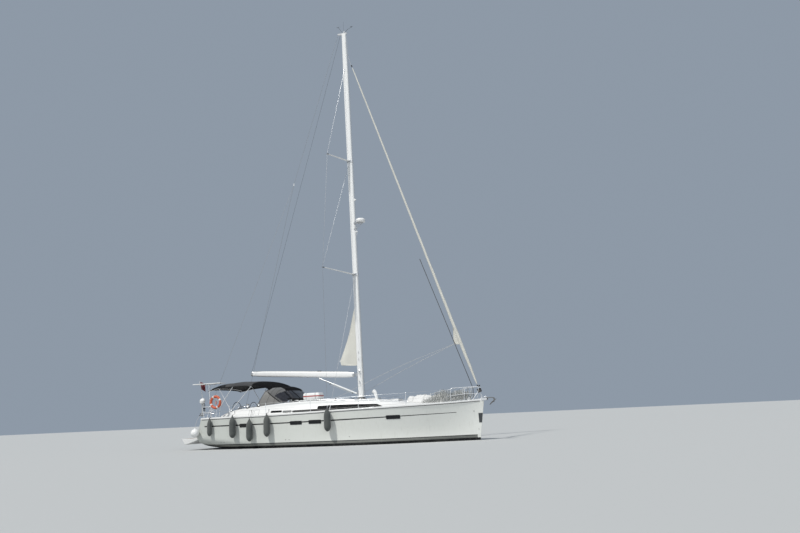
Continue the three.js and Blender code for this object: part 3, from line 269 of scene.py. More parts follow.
def makeStage():
    size = stageLook["floorSize"]
    mesh = bpy.data.meshes.new("floor")
    mesh.from_pydata([(-size, -size, 0), (size, -size, 0), (size, size, 0), (-size, size, 0)], [],
                     [(0, 1, 2, 3)])
    floor = bpy.data.objects.new("floor", mesh)
    mesh.materials.append(newFinish("floorPaint", stageLook["floorColour"], 0.9, amount=0.0, depth=0.0))
    scene.collection.objects.link(floor)
    world = bpy.data.worlds.new("studio")
    world.use_nodes = True
    sky = world.node_tree.nodes["Background"]
    sky.inputs["Color"].default_value = rgba(stageLook["skyColour"])
    sky.inputs["Strength"].default_value = stageLook["skyStrength"]
    scene.world = world
    for name, colour in (("sun", stageLook["sunColour"]), ("fill", (1, 1, 1))):
        lamp = bpy.data.lights.new(name, "SUN")
        lamp.energy = stageLook[name + "Strength"]
        lamp.angle = stageLook[name + "Angle"]
        lamp.color = colour
        light = bpy.data.objects.new(name, lamp)
        light.rotation_mode = "QUATERNION"
        light.rotation_quaternion = Vector(stageLook[name + "Heading"]).to_track_quat("-Z", "Y")
        scene.collection.objects.link(light)


print("camera, floor and light")
makeCamera()
makeStage()


bothSides = (("starboard", -1), ("port", 1))


# Angles round a full turn
def turns(count):
    return [2 * math.pi * k / count for k in range(count)]


# A sine or cosine that is drawn out or squared by a power
def squared(value, power):
    return math.copysign(abs(value) ** power, value)


# Shapes are a list of points and a list of faces, in metres
def joined(shapes):
    points, faces = [], []
    for shapePoints, shapeFaces in shapes:
        offset = len(points)
        points += [tuple(p) for p in shapePoints]
        faces += [tuple(i + offset for i in face) for face in shapeFaces]
    return points, faces


def moved(shape, by):
    return [tuple(Vector(p) + Vector(by)) for p in shape[0]], shape[1]


# A surface through rows of points, closed round each row and capped at the ends if asked
def surface(rows, closed=False, capped=False):
    count = len(rows[0])
    last = count if closed else count - 1
    faces = []
    for i in range(len(rows) - 1):
        for j in range(last):
            k = (j + 1) % count
            faces.append((i * count + j, i * count + k, (i + 1) * count + k, (i + 1) * count + j))
    if capped:
        faces += [tuple(reversed(range(count))), tuple(range((len(rows) - 1) * count, len(rows) * count))]
    return [p for row in rows for p in row], faces


def solid(rows):
    return surface(rows, closed=True, capped=True)


def box(x, y, z):
    corners = [(x[i], y[j], z[k]) for k in (0, 1) for j in (0, 1) for i in (0, 1)]
    return corners, [(0, 2, 3, 1), (4, 5, 7, 6), (0, 1, 5, 4), (2, 6, 7, 3), (0, 4, 6, 2), (1, 3, 7, 5)]


def sideFrame(direction):
    direction = Vector(direction).normalized()
    helper = Vector((0, 0, 1)) if abs(direction.z) < 0.9 else Vector((1, 0, 0))
    first = helper.cross(direction).normalized()
    return direction, first, direction.cross(first)


def tube(points, radius, sides=12):
    points = [Vector(p) for p in points]
    radii = radius if isinstance(radius, (list, tuple)) else [radius] * len(points)
    rows, first = [], None
    for i, p in enumerate(points):
        along = (points[min(i + 1, len(points) - 1)] - points[max(i - 1, 0)]).normalized()
        if first is None:
            first = sideFrame(along)[1]
        first = (first - along * first.dot(along)).normalized()
        second = along.cross(first)
        rows.append([p + first * math.cos(a) * radii[i] + second * math.sin(a) * radii[i]
                     for a in turns(sides)])
    return solid(rows)


# A turned shape: radius and distance along an axis, ends closed
def turned(profile, start, direction=(0, 0, 1), sides=24):
    along, first, second = sideFrame(direction)
    rows = []
    for radius, distance in profile:
        centre = Vector(start) + along * distance
        rows.append([centre + (first * math.cos(a) + second * math.sin(a)) * radius
                     for a in turns(sides)])
    return solid(rows)


def ellipsoid(centre, size, across=20, up=12):
    profile = [(math.sin(math.pi * i / up), -math.cos(math.pi * i / up)) for i in range(up + 1)]
    points, faces = turned(profile, (0, 0, 0), sides=across)
    return [(centre[0] + p[0] * size[0], centre[1] + p[1] * size[1], centre[2] + p[2] * size[2])
            for p in points], faces


def ring(centre, axis, radius, thick, around=40, sides=12):
    along, first, second = sideFrame(axis)
    rows = []
    for i in range(around):
        a = 2 * math.pi * i / around
        out = first * math.cos(a) + second * math.sin(a)
        rows.append([Vector(centre) + out * (radius + thick * math.cos(b)) + along * thick * math.sin(b)
                     for b in turns(sides)])
    return surface(rows + [rows[0]], closed=True)


# An outline in one plane, thickened along the third axis
def slab(outline, low, high, plane="xz"):
    order = {
        "xz": lambda a, b, c: (a, c, b),
        "xy": lambda a, b, c: (a, b, c),
        "yz": lambda a, b, c: (c, a, b),
    }[plane]
    count = len(outline)
    points = [order(a, b, level) for level in (low, high) for a, b in outline]
    faces = [tuple(range(count)), tuple(reversed(range(count, 2 * count)))]
    faces += [(i, (i + 1) % count, (i + 1) % count + count, i + count) for i in range(count)]
    return points, faces


# A closed thin wall under a grid of points
def thickened(rows, thickness):
    grid = [[Vector(p) for p in row] for row in rows]
    high, wide = len(grid), len(grid[0])
    under = []
    for i in range(high):
        for j in range(wide):
            along = grid[min(i + 1, high - 1)][j] - grid[max(i - 1, 0)][j]
            across = grid[i][min(j + 1, wide - 1)] - grid[i][max(j - 1, 0)]
            under.append(grid[i][j] - along.cross(across).normalized() * thickness)
    points = [p for row in grid for p in row] + under
    size = high * wide
    faces = []
    for i in range(high - 1):
        for j in range(wide - 1):
            a = i * wide + j
            faces.append((a, a + wide, a + wide + 1, a + 1))
            faces.append((a + size, a + 1 + size, a + wide + 1 + size, a + wide + size))
    rim = [i * wide for i in range(high)] + [(high - 1) * wide + j for j in range(1, wide)]
    rim += [i * wide + wide - 1 for i in range(high - 2, -1, -1)] + [j for j in range(wide - 2, 0, -1)]
    for k, a in enumerate(rim):
        b = rim[(k + 1) % len(rim)]
        faces.append((a, b, b + size, a + size))
    return points, faces


# Smooth points between given ones
def curveThrough(points, steps=6):
    points = [Vector(p) for p in points]
    found = []
    for i in range(len(points) - 1):
        before, start = points[max(i - 1, 0)], points[i]
        end, after = points[i + 1], points[min(i + 2, len(points) - 1)]
        for k in range(steps):
            t = k / steps
            found.append(0.5 * (2 * start + (end - before) * t
                                + (2 * before - 5 * start + 4 * end - after) * t ** 2
                                + (3 * start - before - 3 * end + after) * t ** 3))
    return found + [points[-1]]


def roundedPath(points, radius, steps=6):
    points = [Vector(p) for p in points]
    path = [points[0]]
    for before, corner, after in zip(points, points[1:], points[2:]):
        first, second = before - corner, after - corner
        reach = min(radius, first.length / 2.1, second.length / 2.1)
        start, end = corner + first.normalized() * reach, corner + second.normalized() * reach
        path += [start * (1 - t) ** 2 + corner * 2 * t * (1 - t) + end * t ** 2
                 for t in (k / steps for k in range(steps + 1))]
    return path + [points[-1]]


def sharpen(mesh, angle, merge=1e-5):
    work = bmesh.new()
    work.from_mesh(mesh)
    bmesh.ops.remove_doubles(work, verts=work.verts, dist=merge)
    bmesh.ops.dissolve_degenerate(work, edges=work.edges, dist=1e-6)
    bmesh.ops.recalc_face_normals(work, faces=work.faces)
    limit = math.radians(angle)
    for face in work.faces:
        face.smooth = True
    for edge in work.edges:
        edge.smooth = len(edge.link_faces) == 2 and edge.calc_face_angle(0.0) < limit
    work.to_mesh(mesh)
    work.free()


def meshOf(name, shape):
    mesh = bpy.data.meshes.new(name)
    mesh.from_pydata([tuple(p) for p in shape[0]], [], shape[1])
    return mesh


# A finished piece: its mesh or meshes, finish, slot, body and the nodes that it stands for
def addPiece(name, shape, material, body="yacht", stands=(), angle=35, bevel=0.0):
    if isinstance(shape, list):
        shape = merged(name, shape)
    mesh = shape if isinstance(shape, bpy.types.Mesh) else meshOf(name, shape)
    mesh.name = name
    sharpen(mesh, angle)
    if not mesh.materials:
        mesh.materials.append(material)
    piece = bpy.data.objects.new(name, mesh)
    scene.collection.objects.link(piece)
    if bevel:
        rounding = piece.modifiers.new("rounding", "BEVEL")
        rounding.width = bevel
        rounding.segments = 2
        rounding.limit_method = "ANGLE"
        rounding.angle_limit = math.radians(40)
        rounding.harden_normals = False
    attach(piece, body)
    if stands:
        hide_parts(*stands)
    return piece


# Geometry Nodes results as plain meshes
def grown(name, tree, source, values):
    base = bpy.data.objects.new(name, source if isinstance(source, bpy.types.Mesh) else meshOf(name, source))
    scene.collection.objects.link(base)
    growth = base.modifiers.new("growth", "NODES")
    growth.node_group = tree
    for item in tree.interface.items_tree:
        if item.in_out == "INPUT" and item.name in values:
            growth[item.identifier] = values[item.name]
    bpy.context.view_layer.update()
    mesh = bpy.data.meshes.new_from_object(base.evaluated_get(bpy.context.evaluated_depsgraph_get()))
    bpy.data.objects.remove(base)
    return mesh


# The end of each tree: real meshes with their finish
def finishTree(n, given, out, geometry):
    whole = n.add("GeometryNodeRealizeInstances", {"Geometry": geometry})
    painted = n.add("GeometryNodeSetMaterial", {"Geometry": whole.outputs[0], "Material": given["Finish"]})
    n.feed(out["Geometry"], painted.outputs[0])


# Lines, wires and rails: the edges of a mesh become round bars
def makeLineTree():
    tree, n, given, out = newGroup("lineRuns", "GeometryNodeTree",
                                   [("Geometry", "Geometry", None), ("Radius", "Float", 0.005),
                                    ("Sides", "Int", 8), ("Finish", "Material", None)],
                                   [("Geometry", "Geometry")])
    path = n.add("GeometryNodeMeshToCurve", {"Mesh": given["Geometry"]})
    profile = n.add("GeometryNodeCurvePrimitiveCircle",
                    {"Resolution": given["Sides"], "Radius": given["Radius"]})
    bar = n.add("GeometryNodeCurveToMesh", {
        "Curve": path.outputs[0], "Profile Curve": profile.outputs[0], "Fill Caps": True,
    })
    finishTree(n, given, out, bar.outputs[0])
    return tree


lineTree = makeLineTree()


def lines(name, paths, radius, material, sides=8):
    points, edges = [], []
    for path in paths:
        start = len(points)
        points += [tuple(p) for p in path]
        edges += [(start + i, start + i + 1) for i in range(len(path) - 1)]
    mesh = bpy.data.meshes.new(name + "Paths")
    mesh.from_pydata(points, edges, [])
    return grown(name + "Paths", lineTree, mesh, {"Radius": radius, "Sides": sides, "Finish": material})


# Hull form: the same tables as the part's source, in metres
# place, half breadth at deck, height of the edge, half breadth at bilge, bilge height, keel line, fullness
stations = [
    (0.00, 2.020, 1.530, 1.950, 0.760, 0.070, 2.4),
    (0.12, 2.180, 1.545, 2.110, 0.560, -0.190, 2.4),
    (0.30, 2.310, 1.555, 2.230, 0.330, -0.470, 2.3),
    (0.50, 2.335, 1.610, 2.220, 0.230, -0.610, 2.2),
    (0.66, 2.150, 1.660, 1.930, 0.220, -0.590, 2.0),
    (0.80, 1.660, 1.705, 1.330, 0.230, -0.470, 1.75),
    (0.91, 0.930, 1.755, 0.620, 0.250, -0.310, 1.5),
    (1.00, 0.034, 1.820, 0.026, 0.300, -0.120, 1.3),
]


def between(table, place, column):
    row = 0
    while row < len(table) - 2 and place > table[row + 1][0]:
        row += 1

    def slope(i):
        low, high = max(i - 1, 0), min(i + 1, len(table) - 1)
        return (table[high][column] - table[low][column]) / (table[high][0] - table[low][0])

    start, end = table[row], table[row + 1]
    width = end[0] - start[0]
    t = (place - start[0]) / width
    return ((2 * t ** 3 - 3 * t ** 2 + 1) * start[column] + (t ** 3 - 2 * t ** 2 + t) * width * slope(row)
            + (3 * t ** 2 - 2 * t ** 3) * end[column] + (t ** 3 - t ** 2) * width * slope(row + 1))


def linear(table, x, column):
    row = 0
    while row < len(table) - 2 and x > table[row + 1][0]:
        row += 1
    start, end = table[row], table[row + 1]
    return start[column] + (end[column] - start[column]) * (x - start[0]) / (end[0] - start[0])


def sternAt(z):
    if z > 0.7:
        return -7.46 + (z - 0.7) / 0.8 * 0.29
    return -7.46 + 0.38 * ((0.7 - z) / 0.64) ** 2.2


def stemAt(z):
    return 7.23 + 0.27 * z / 1.82 if z > 0 else 7.23 - 0.6 * (-z / 0.62) ** 1.5


def xAt(place, z):
    return sternAt(z) * (1 - place) + stemAt(z) * place


def edgeHeight(place):
    return between(stations, place, 2)


def edgeHalf(place):
    return max(between(stations, place, 1), 0.02)


def placeOf(x, z=None):
    low, high = 0.0, 1.0
    for _ in range(30):
        middle = (low + high) / 2
        if xAt(middle, edgeHeight(middle) if z is None else z) < x:
            low = middle
        else:
            high = middle
    return low


def edgeZ(x):
    return edgeHeight(placeOf(x))


def edgeY(x):
    return edgeHalf(placeOf(x))


def halfSection(place, bilgeSteps=28, topsideSteps=22):
    deckHalf, edge, bilgeHalf, bilge, keel, fullness = [between(stations, place, c) for c in range(1, 7)]
    power = 2 / fullness
    points = []
    for i in range(bilgeSteps + 1):
        turn = math.pi / 2 * i / bilgeSteps
        points.append((bilgeHalf * math.sin(turn) ** power, bilge - (bilge - keel) * math.cos(turn) ** power))
    for i in range(1, topsideSteps + 1):
        rise = i / topsideSteps
        points.append((bilgeHalf + (deckHalf - bilgeHalf) * rise ** 1.4, bilge + (edge - bilge) * rise))
    return points


# Half breadth of the topsides at a place and height
def sideHalf(place, z):
    deckHalf, edge, bilgeHalf, bilge, keel, fullness = [between(stations, place, c) for c in range(1, 7)]
    if z >= bilge:
        return bilgeHalf + (deckHalf - bilgeHalf) * min((z - bilge) / (edge - bilge), 1) ** 1.4
    lower = min(max((bilge - z) / (bilge - keel), 0), 1)
    turn = math.acos(lower ** (fullness / 2))
    return bilgeHalf * math.sin(turn) ** (2 / fullness)


def hullPoint(x, z, out=0.0, side=-1):
    place = placeOf(x, z)
    ahead = sideHalf(placeOf(x + 0.05, z), z) - sideHalf(placeOf(x - 0.05, z), z)
    normal = Vector((-ahead / 0.1, 1, 0)).normalized()
    return Vector((x + normal.x * out, side * (sideHalf(place, z) + normal.y * out), z))


hullSize = {
    "rings": 132,
    "stripeHeights": (1.2104, 0.01129, 0.00106),
    "stripeHalf": (0.031, 0.013),
    "stripeEnds": (-6.93, 6.33),
    "bootTop": (0.242, 0.0006),
    "bootEnd": 7.12,
    "bootRim": 0.017,
    "antifouling": 0.125,
    "waterlineDark": (0.09, 0.10, 0.45),      # height, unevenness and strength of the band that darkens the hull towards the waterline
}


# Hull rings as a solid, each end closed by faces from side to side
def ringSolid(rings):
    points, faces = surface(rings, closed=True)
    count = len(rings[0])
    for start in (0, (len(rings) - 1) * count):
        for j in range(count // 2):
            a, b, c, d = (start + k for k in (j, j + 1, count - 2 - j, count - 1 - j))
            face = (a, b, d) if b == c else (a, b, c, d)
            faces.append(face if start else tuple(reversed(face)))
    return points, faces


def hullShape():
    rings = []
    for i in range(hullSize["rings"] + 1):
        place = i / hullSize["rings"]
        place = place + 0.055 * math.sin(2 * math.pi * place) / (2 * math.pi) * 2
        half = halfSection(place)
        starboard = [(xAt(place, z), -y, z) for y, z in reversed(half[1:])]
        port = [(xAt(place, z), y, z) for y, z in half]
        rings.append(starboard + port)
    return ringSolid(rings)


# Spaces cut from the hull and deck
hingeX, hingeZ = -7.44, 0.575
closedTurn = math.radians(122)


def closedAt(aft, up):
    return (hingeX - aft * math.cos(closedTurn) + up * math.sin(closedTurn),
            hingeZ + aft * math.sin(closedTurn) + up * math.cos(closedTurn))


def softBox(name, x, y, z, radius):
    mesh = meshOf(name, box(x, y, z))
    if radius:
        work = bmesh.new()
        work.from_mesh(mesh)
        bmesh.ops.recalc_face_normals(work, faces=work.faces)
        bmesh.ops.bevel(work, geom=work.edges[:], offset=radius, segments=5, affect="EDGES", profile=0.5)
        work.to_mesh(mesh)
        work.free()
    return mesh


def slabMesh(name, outline, low, high):
    mesh = meshOf(name, slab(outline, low, high))
    sharpen(mesh, 35)
    return mesh


def cutAway(piece, cutters, finish, solver="EXACT"):
    for index, cutter in enumerate(cutters):
        if not cutter.materials:
            cutter.materials.append(finish)
        tool = bpy.data.objects.new(cutter.name, cutter)
        scene.collection.objects.link(tool)
        cut = piece.modifiers.new("cut" + str(index), "BOOLEAN")
        cut.object = tool
        cut.operation = "DIFFERENCE"
        cut.solver = solver
        cut.material_mode = "TRANSFER"
    bpy.context.view_layer.update()
    found = bpy.data.meshes.new_from_object(piece.evaluated_get(bpy.context.evaluated_depsgraph_get()))
    for cut in list(piece.modifiers):
        tool = cut.object
        piece.modifiers.remove(cut)
        bpy.data.objects.remove(tool)
    bpy.data.objects.remove(piece)
    return found


def plainObject(name, shape, finish):
    mesh = shape if isinstance(shape, bpy.types.Mesh) else meshOf(name, shape)
    work = bmesh.new()
    work.from_mesh(mesh)
    bmesh.ops.remove_doubles(work, verts=work.verts, dist=1e-5)
    bmesh.ops.recalc_face_normals(work, faces=work.faces)
    work.to_mesh(mesh)
    work.free()
    mesh.materials.append(finish)
    made = bpy.data.objects.new(name, mesh)
    scene.collection.objects.link(made)
    return made


cockpitFront = -2.75


def cockpitCutters():
    low, top = closedAt(-0.02, 0.037), closedAt(1.24, 0.037)
    stern = [(-8.0, 0.543), (low[0], 0.543), low, top, (top[0], 2.2), (-8.0, 2.2)]
    return [
        softBox("cockpitCut", (-8.4, cockpitFront), (-1.29, 1.29), (1.5, 3.4), 0.07),
        softBox("helmCut", (-6.35, -4.95), (-1.25, 1.25), (1.08, 1.9), 0.06),
        softBox("footwellCut", (-5.2, cockpitFront), (-0.6, 0.6), (1.08, 1.95), 0.05),
        softBox("passageCut", (-8.4, -6.2), (-0.48, 0.48), (1.08, 1.95), 0.04),
        slabMesh("platformCut", stern, -1.728, 1.728),
        softBox("lockerCut", (5.95, 6.52), (-0.27, 0.27), (edgeZ(6.2) - 0.38, 2.7), 0.03),
        softBox("stairCut", (-2.69, -1.98), (-0.33, 0.33), (0.7, 2.9), 0.02),
        softBox("stepCut", (-2.80, -2.3), (-0.33, 0.33), (1.4, 2.9), 0.0),
    ]


def stripeHeight(n, x):
    base, slope, bend = hullSize["stripeHeights"]
    curved = n.maths("ADD", n.maths("MULTIPLY", x, slope),
                     n.maths("MULTIPLY", n.maths("MULTIPLY", x, x), bend))
    return n.maths("ADD", curved, base)


# Masks of the hull's paint: sheer stripe, boot stripe and antifouling, by height
def makeHullPaint():
    tree, n, given, out = newGroup("hullPaint", "ShaderNodeTree", [
        ("Side", "Color", (0.6, 0.62, 0.6, 1)), ("Stripe", "Color", (0.02, 0.02, 0.025, 1)),
        ("Boot", "Color", (0.15, 0.15, 0.16, 1)), ("Bottom", "Color", (0.03, 0.035, 0.045, 1)),
    ], [("Color", "Color"), ("Gloss", "Float")])
    place = n.add("ShaderNodeSeparateXYZ", {"Vector": n.objectPlace()}).outputs
    away = n.maths("ABSOLUTE", n.maths("SUBTRACT", place["Z"], stripeHeight(n, place["X"])))
    aftHalf, foreHalf = hullSize["stripeHalf"]
    thin = n.maths("LESS_THAN", away, n.spread(place["X"], 1.0, 6.0, aftHalf, foreHalf))
    inside = n.maths("MULTIPLY", n.maths("GREATER_THAN", place["X"], hullSize["stripeEnds"][0]),
                     n.maths("LESS_THAN", place["X"], hullSize["stripeEnds"][1]))
    stripe = n.maths("MULTIPLY", thin, inside)
    base, slope = hullSize["bootTop"]
    top = n.maths("ADD", n.maths("MULTIPLY", place["X"], slope), base)
    boot = n.maths("MULTIPLY", n.maths("LESS_THAN", place["Z"], top),
                   n.maths("LESS_THAN", place["X"], hullSize["bootEnd"]))
    rim = n.maths("LESS_THAN", n.maths("ABSOLUTE", n.maths("SUBTRACT", place["Z"], top)), hullSize["bootRim"])
    rim = n.maths("MULTIPLY", rim, n.maths("LESS_THAN", place["X"], hullSize["bootEnd"]))
    bottom = n.maths("LESS_THAN", place["Z"], hullSize["antifouling"])
    colour = n.blendColours(stripe, given["Side"], given["Stripe"])
    colour = n.blendColours(boot, colour, given["Boot"])
    colour = n.blendColours(rim, colour, given["Stripe"])
    wave = n.cloud(2.2, 3.0, n.objectPlace((1, 0.2, 6)))
    # The hull darkens towards the waterline, with an uneven top edge
    waterlineDarkTop, uneven, strength = hullSize["waterlineDark"]
    waterlineDark = n.spread(n.maths("SUBTRACT", place["Z"], n.maths("MULTIPLY", wave, uneven)), waterlineDarkTop, 0.0)
    colour = n.blendColours(n.maths("MULTIPLY", waterlineDark, strength), colour, (0.10, 0.10, 0.08, 1))
    n.feed(out["Color"], n.blendColours(bottom, colour, given["Bottom"]))
    n.feed(out["Gloss"], n.maths("MULTIPLY", n.maths("SUBTRACT", 1.0, n.maths("MAXIMUM", boot, bottom)), 0.5))
    return tree


# The topsides run from darker aft to lighter forward: painted shade on the quarter and painted bounce light
# from the water on the bow
hullColours = {
    "shadedAftSide": (0.45, 0.47, 0.445),
    "litForeSide": (0.70, 0.71, 0.675),
    "stripe": (0.012, 0.013, 0.016),
    "boot": (0.175, 0.18, 0.168),
    "bottom": (0.009, 0.010, 0.012),
}


def makeHullFinish():
    material = newFinish("hullGelcoat", hullColours["shadedAftSide"], 0.22, amount=0.10, grime=(0.42, 0.42, 0.38),
                         scale=0.6, spread=0.10, grainScale=3.0, depth=0.0015, Coat_Weight=0.5,
                         Coat_Roughness=0.08, Specular_IOR_Level=0.04)
    paint = makeHullPaint()

    def colour(n):
        node = n.add("ShaderNodeGroup", node_tree=paint)
        for key, value in zip(("Stripe", "Boot", "Bottom"), list(hullColours.values())[2:]):
            n.feed(node.inputs[key], rgba(value))
        # Side colour blended along the hull: painted shade aft, painted light forward
        along = n.spread(n.add("ShaderNodeSeparateXYZ", {"Vector": n.objectPlace()}).outputs["X"], -7.3, 7.3)
        side = n.blendColours(along, rgba(hullColours["shadedAftSide"]), rgba(hullColours["litForeSide"]))
        n.feed(node.inputs["Side"], side)
        shader = material.node_tree.nodes["Principled BSDF"]
        n.feed(shader.inputs["Coat Weight"], node.outputs["Gloss"])
        drips = n.cloud(5.0, 5.0, n.objectPlace((3.0, 3.0, 0.25)))
        streak = n.maths("MULTIPLY", n.spread(drips, 0.56, 0.75), 0.16)
        return n.blendColours(streak, node.outputs["Color"], (0.36, 0.35, 0.30, 1))

    return paintOver(material, colour)


hullFinish = makeHullFinish()
deckFinish = newFinish("deckGelcoat", (0.60, 0.605, 0.60), 0.42, amount=0.14, grime=(0.42, 0.42, 0.39),
                       scale=0.9, spread=0.15, grainScale=60.0, depth=0.0002, Coat_Weight=0.1)
nonSlip = newFinish("nonSlip", (0.60, 0.61, 0.61), 0.75, amount=0.2, grime=(0.42, 0.42, 0.4), scale=2.0,
                    grainScale=420.0, depth=0.0016)
darkGlass = newFinish("darkAcrylic", (0.007, 0.008, 0.010), 0.14, amount=0.05, spread=0.05, depth=0.0,
                      Specular_IOR_Level=0.28)
roofGlass = newFinish("roofGlass", (0.006, 0.007, 0.008), 0.50, amount=0.05, grime=(0.05, 0.05, 0.05),
                      spread=0.05, depth=0.0, Specular_IOR_Level=0.03)
greyPane = newFinish("greyAcrylic", (0.11, 0.115, 0.115), 0.25, amount=0.1, grime=(0.2, 0.2, 0.2), depth=0.0)
rubber = newFinish("rubber", (0.02, 0.02, 0.021), 0.6, amount=0.3, grime=(0.1, 0.1, 0.1))
stainless = newFinish("stainless", (0.80, 0.81, 0.82), 0.27, 0.6, amount=0.12, grime=(0.35, 0.33, 0.3),
                      scale=6.0, grainScale=90.0, depth=0.0001)
wireFinish = newFinish("riggingWire", (0.38, 0.39, 0.40), 0.38, 0.9, amount=0.2, grime=(0.2, 0.2, 0.2),
                       grainScale=300.0, depth=0.0006, stretch=(1, 1, 0.2))
sparPaint = newFinish("sparPaint", (0.72, 0.725, 0.72), 0.3, amount=0.10, grime=(0.45, 0.45, 0.42), scale=0.8,
                      spread=0.1, depth=0.0001, Coat_Weight=0.3)
sparAlloy = newFinish("sparAlloy", (0.55, 0.56, 0.57), 0.36, 0.85, amount=0.15, grime=(0.35, 0.35, 0.35))
blackPlastic = newFinish("blackPlastic", (0.018, 0.018, 0.02), 0.42, amount=0.2, grime=(0.12, 0.12, 0.11))
whiteShell = newFinish("whiteShell", (0.70, 0.705, 0.70), 0.3, amount=0.12, grime=(0.45, 0.45, 0.4),
                       scale=3.0, Coat_Weight=0.3)

print("hull")


def seatWells():
    return [softBox("seatWell", (-4.675, -3.125), sorted((side * 0.715, side * 1.185)), (1.24, 1.60), 0.02)
            for side in (-1, 1)]


def makeHull():
    body = plainObject("hullBody", hullShape(), hullFinish)
    mesh = cutAway(body, cockpitCutters() + seatWells(), deckFinish)
    return addPiece("hullShell", mesh, hullFinish, stands=["hull"], angle=28)


makeHull()

# Deck, coachroof and coamings
roofSections = [
    (-6.300, 1.790, 1.700, 1.600, 1.602),
    (-5.740, 1.790, 1.640, 1.880, 1.882),
    (-5.130, 1.790, 1.610, 1.980, 1.984),
    (-3.900, 1.780, 1.580, 2.075, 2.085),
    (-2.900, 1.740, 1.540, 2.150, 2.180),
    (-2.500, 1.700, 1.500, 2.185, 2.235),
    (-1.200, 1.640, 1.400, 2.200, 2.275),
    (0.000, 1.560, 1.310, 2.165, 2.250),
    (1.100, 1.460, 1.200, 2.130, 2.215),
    (2.100, 1.310, 1.050, 2.060, 2.140),
    (3.200, 1.070, 0.820, 1.960, 2.030),
    (4.100, 0.780, 0.560, 1.870, 1.915),
    (4.750, 0.480, 0.320, 1.795, 1.812),
]


def roofProfile(x, steps=5):
    base, shoulder, shoulderZ, crown = [linear(roofSections, x, c) for c in range(1, 5)]
    foot = edgeZ(x) + 0.012
    rise = shoulderZ - foot
    corners = [
        (base, foot), (shoulder + 0.030, foot + rise * 0.72), (shoulder - 0.010, foot + rise * 0.94),
        (shoulder - 0.080, shoulderZ), (shoulder * 0.5, shoulderZ * 0.25 + crown * 0.75), (0, crown),
    ]
    half = [(x, p.x, p.y) for p in curveThrough([(y, z, 0) for y, z in corners[:4]], steps)]
    top = [(x, corners[3][0] * (1 - t), shoulderZ + (crown - shoulderZ) * (1 - (1 - t) ** 2))
           for t in (k / 12 for k in range(1, 13))]
    return half + top


def roofTop(x, y):
    shoulder, shoulderZ, crown = [linear(roofSections, x, c) for c in (2, 3, 4)]
    t = 1 - min(abs(y) / (shoulder - 0.08), 1)
    return shoulderZ + (crown - shoulderZ) * (1 - (1 - t) ** 2)


# A point on the roof's side at a height, with how far it stands out
def roofSide(x, z, out=0.0, side=-1):
    profile = roofProfile(x, 8)
    for (_, y0, z0), (_, y1, z1) in zip(profile, profile[1:]):
        if z0 <= z <= z1 and z1 > z0:
            y = y0 + (y1 - y0) * (z - z0) / (z1 - z0)
            lean = Vector((z1 - z0, -(y1 - y0))).normalized()
            return Vector((x, side * (y + lean.x * out), z + lean.y * out))
    return Vector((x, side * (profile[0][1] + out), z))


def wholeRing(half):
    return [(x, -y, z) for x, y, z in half] + [(x, y, z) for x, y, z in reversed(half[:-1])]


deckLook = {"rings": 140, "end": 0.9955, "lip": 0.045, "edge": 0.034, "rise": 0.032, "camber": 0.06,
            "widest": 2.335}


def lipAt(half):
    return min(deckLook["lip"], half / 3)


# Height of the deck in the middle of the hull
def crownAt(half, edge):
    return edge + deckLook["rise"] + deckLook["camber"] * half / deckLook["widest"]


def deckShape():
    rings = []
    for i in range(deckLook["rings"] + 1):
        place = i / deckLook["rings"] * deckLook["end"]
        half, edge = edgeHalf(place), edgeHeight(place)
        x = xAt(place, edge)
        lip = lipAt(half)
        rail = [(half, edge + 0.0005), (half + 0.004, edge + 0.02), (half + 0.003, edge + 0.066),
                (half - 0.006, edge + 0.082), (half - lip * 0.5, edge + 0.087),
                (half - lip + 0.004, edge + 0.080), (half - lip * 1.1, edge + 0.050),
                (half - lip * 1.3, edge + deckLook["edge"])]
        inner = half - lip * 1.3
        crown = crownAt(half, edge)
        top = [(inner * (1 - t), edge + deckLook["edge"] + (crown - edge - deckLook["edge"]) * t)
               for t in (k / 10 for k in range(1, 11))]
        rings.append(wholeRing([(x, y, z) for y, z in rail + top]))
    return solid(rings)


roofLook = {"aft": -6.3, "long": 11.05, "steps": 90, "front": 4.75, "sink": 0.05}


def roofShape():
    steps = roofLook["steps"]
    xs = {roofLook["aft"] + roofLook["long"] * k / steps for k in range(steps + 1)}
    xs = sorted({row[0] for row in roofSections} | xs)
    rings = []
    for x in xs:
        ring = wholeRing(roofProfile(x))
        half = linear(roofSections, x, 1)
        rings.append([(x, -half + 0.03, edgeZ(x) - roofLook["sink"])] + ring
                     + [(x, half - 0.03, edgeZ(x) - roofLook["sink"])])
    end = roofLook["front"]
    foot = edgeZ(end) + 0.02
    front = [(end + 0.07, y * 0.86, foot + max(z - foot, -0.07) * 0.35) for _, y, z in rings[-1]]
    return solid(rings + [front])


# columns: node, aft and front end, half width, height of the lid's underside
hatchRows = [("saloon_hatch", 1.56, 2.08, 0.27, 2.1865), ("foredeck_hatch", 2.70, 3.26, 0.28, 2.086)]


def makeDeck():
    wells = [softBox(name + "Well", (aft + 0.03, front - 0.03), (-half + 0.03, half - 0.03),
                     (roofTop((aft + front) / 2, 0) - 0.16, 2.7), 0.02)
             for name, aft, front, half, _ in hatchRows]
    roof = plainObject("roofBody", roofShape(), deckFinish)
    spaces = cockpitCutters()
    mesh = cutAway(roof, [spaces[i] for i in (0, 1, 2, 6)] + wells, deckFinish)
    addPiece("coachroof", mesh, deckFinish, stands=["deck"], angle=30)
    deck = plainObject("deckBody", deckShape(), deckFinish)
    spaces = cockpitCutters()
    mesh = cutAway(deck, spaces[:7], deckFinish, "MANIFOLD")
    addPiece("deckShell", mesh, deckFinish, angle=30)


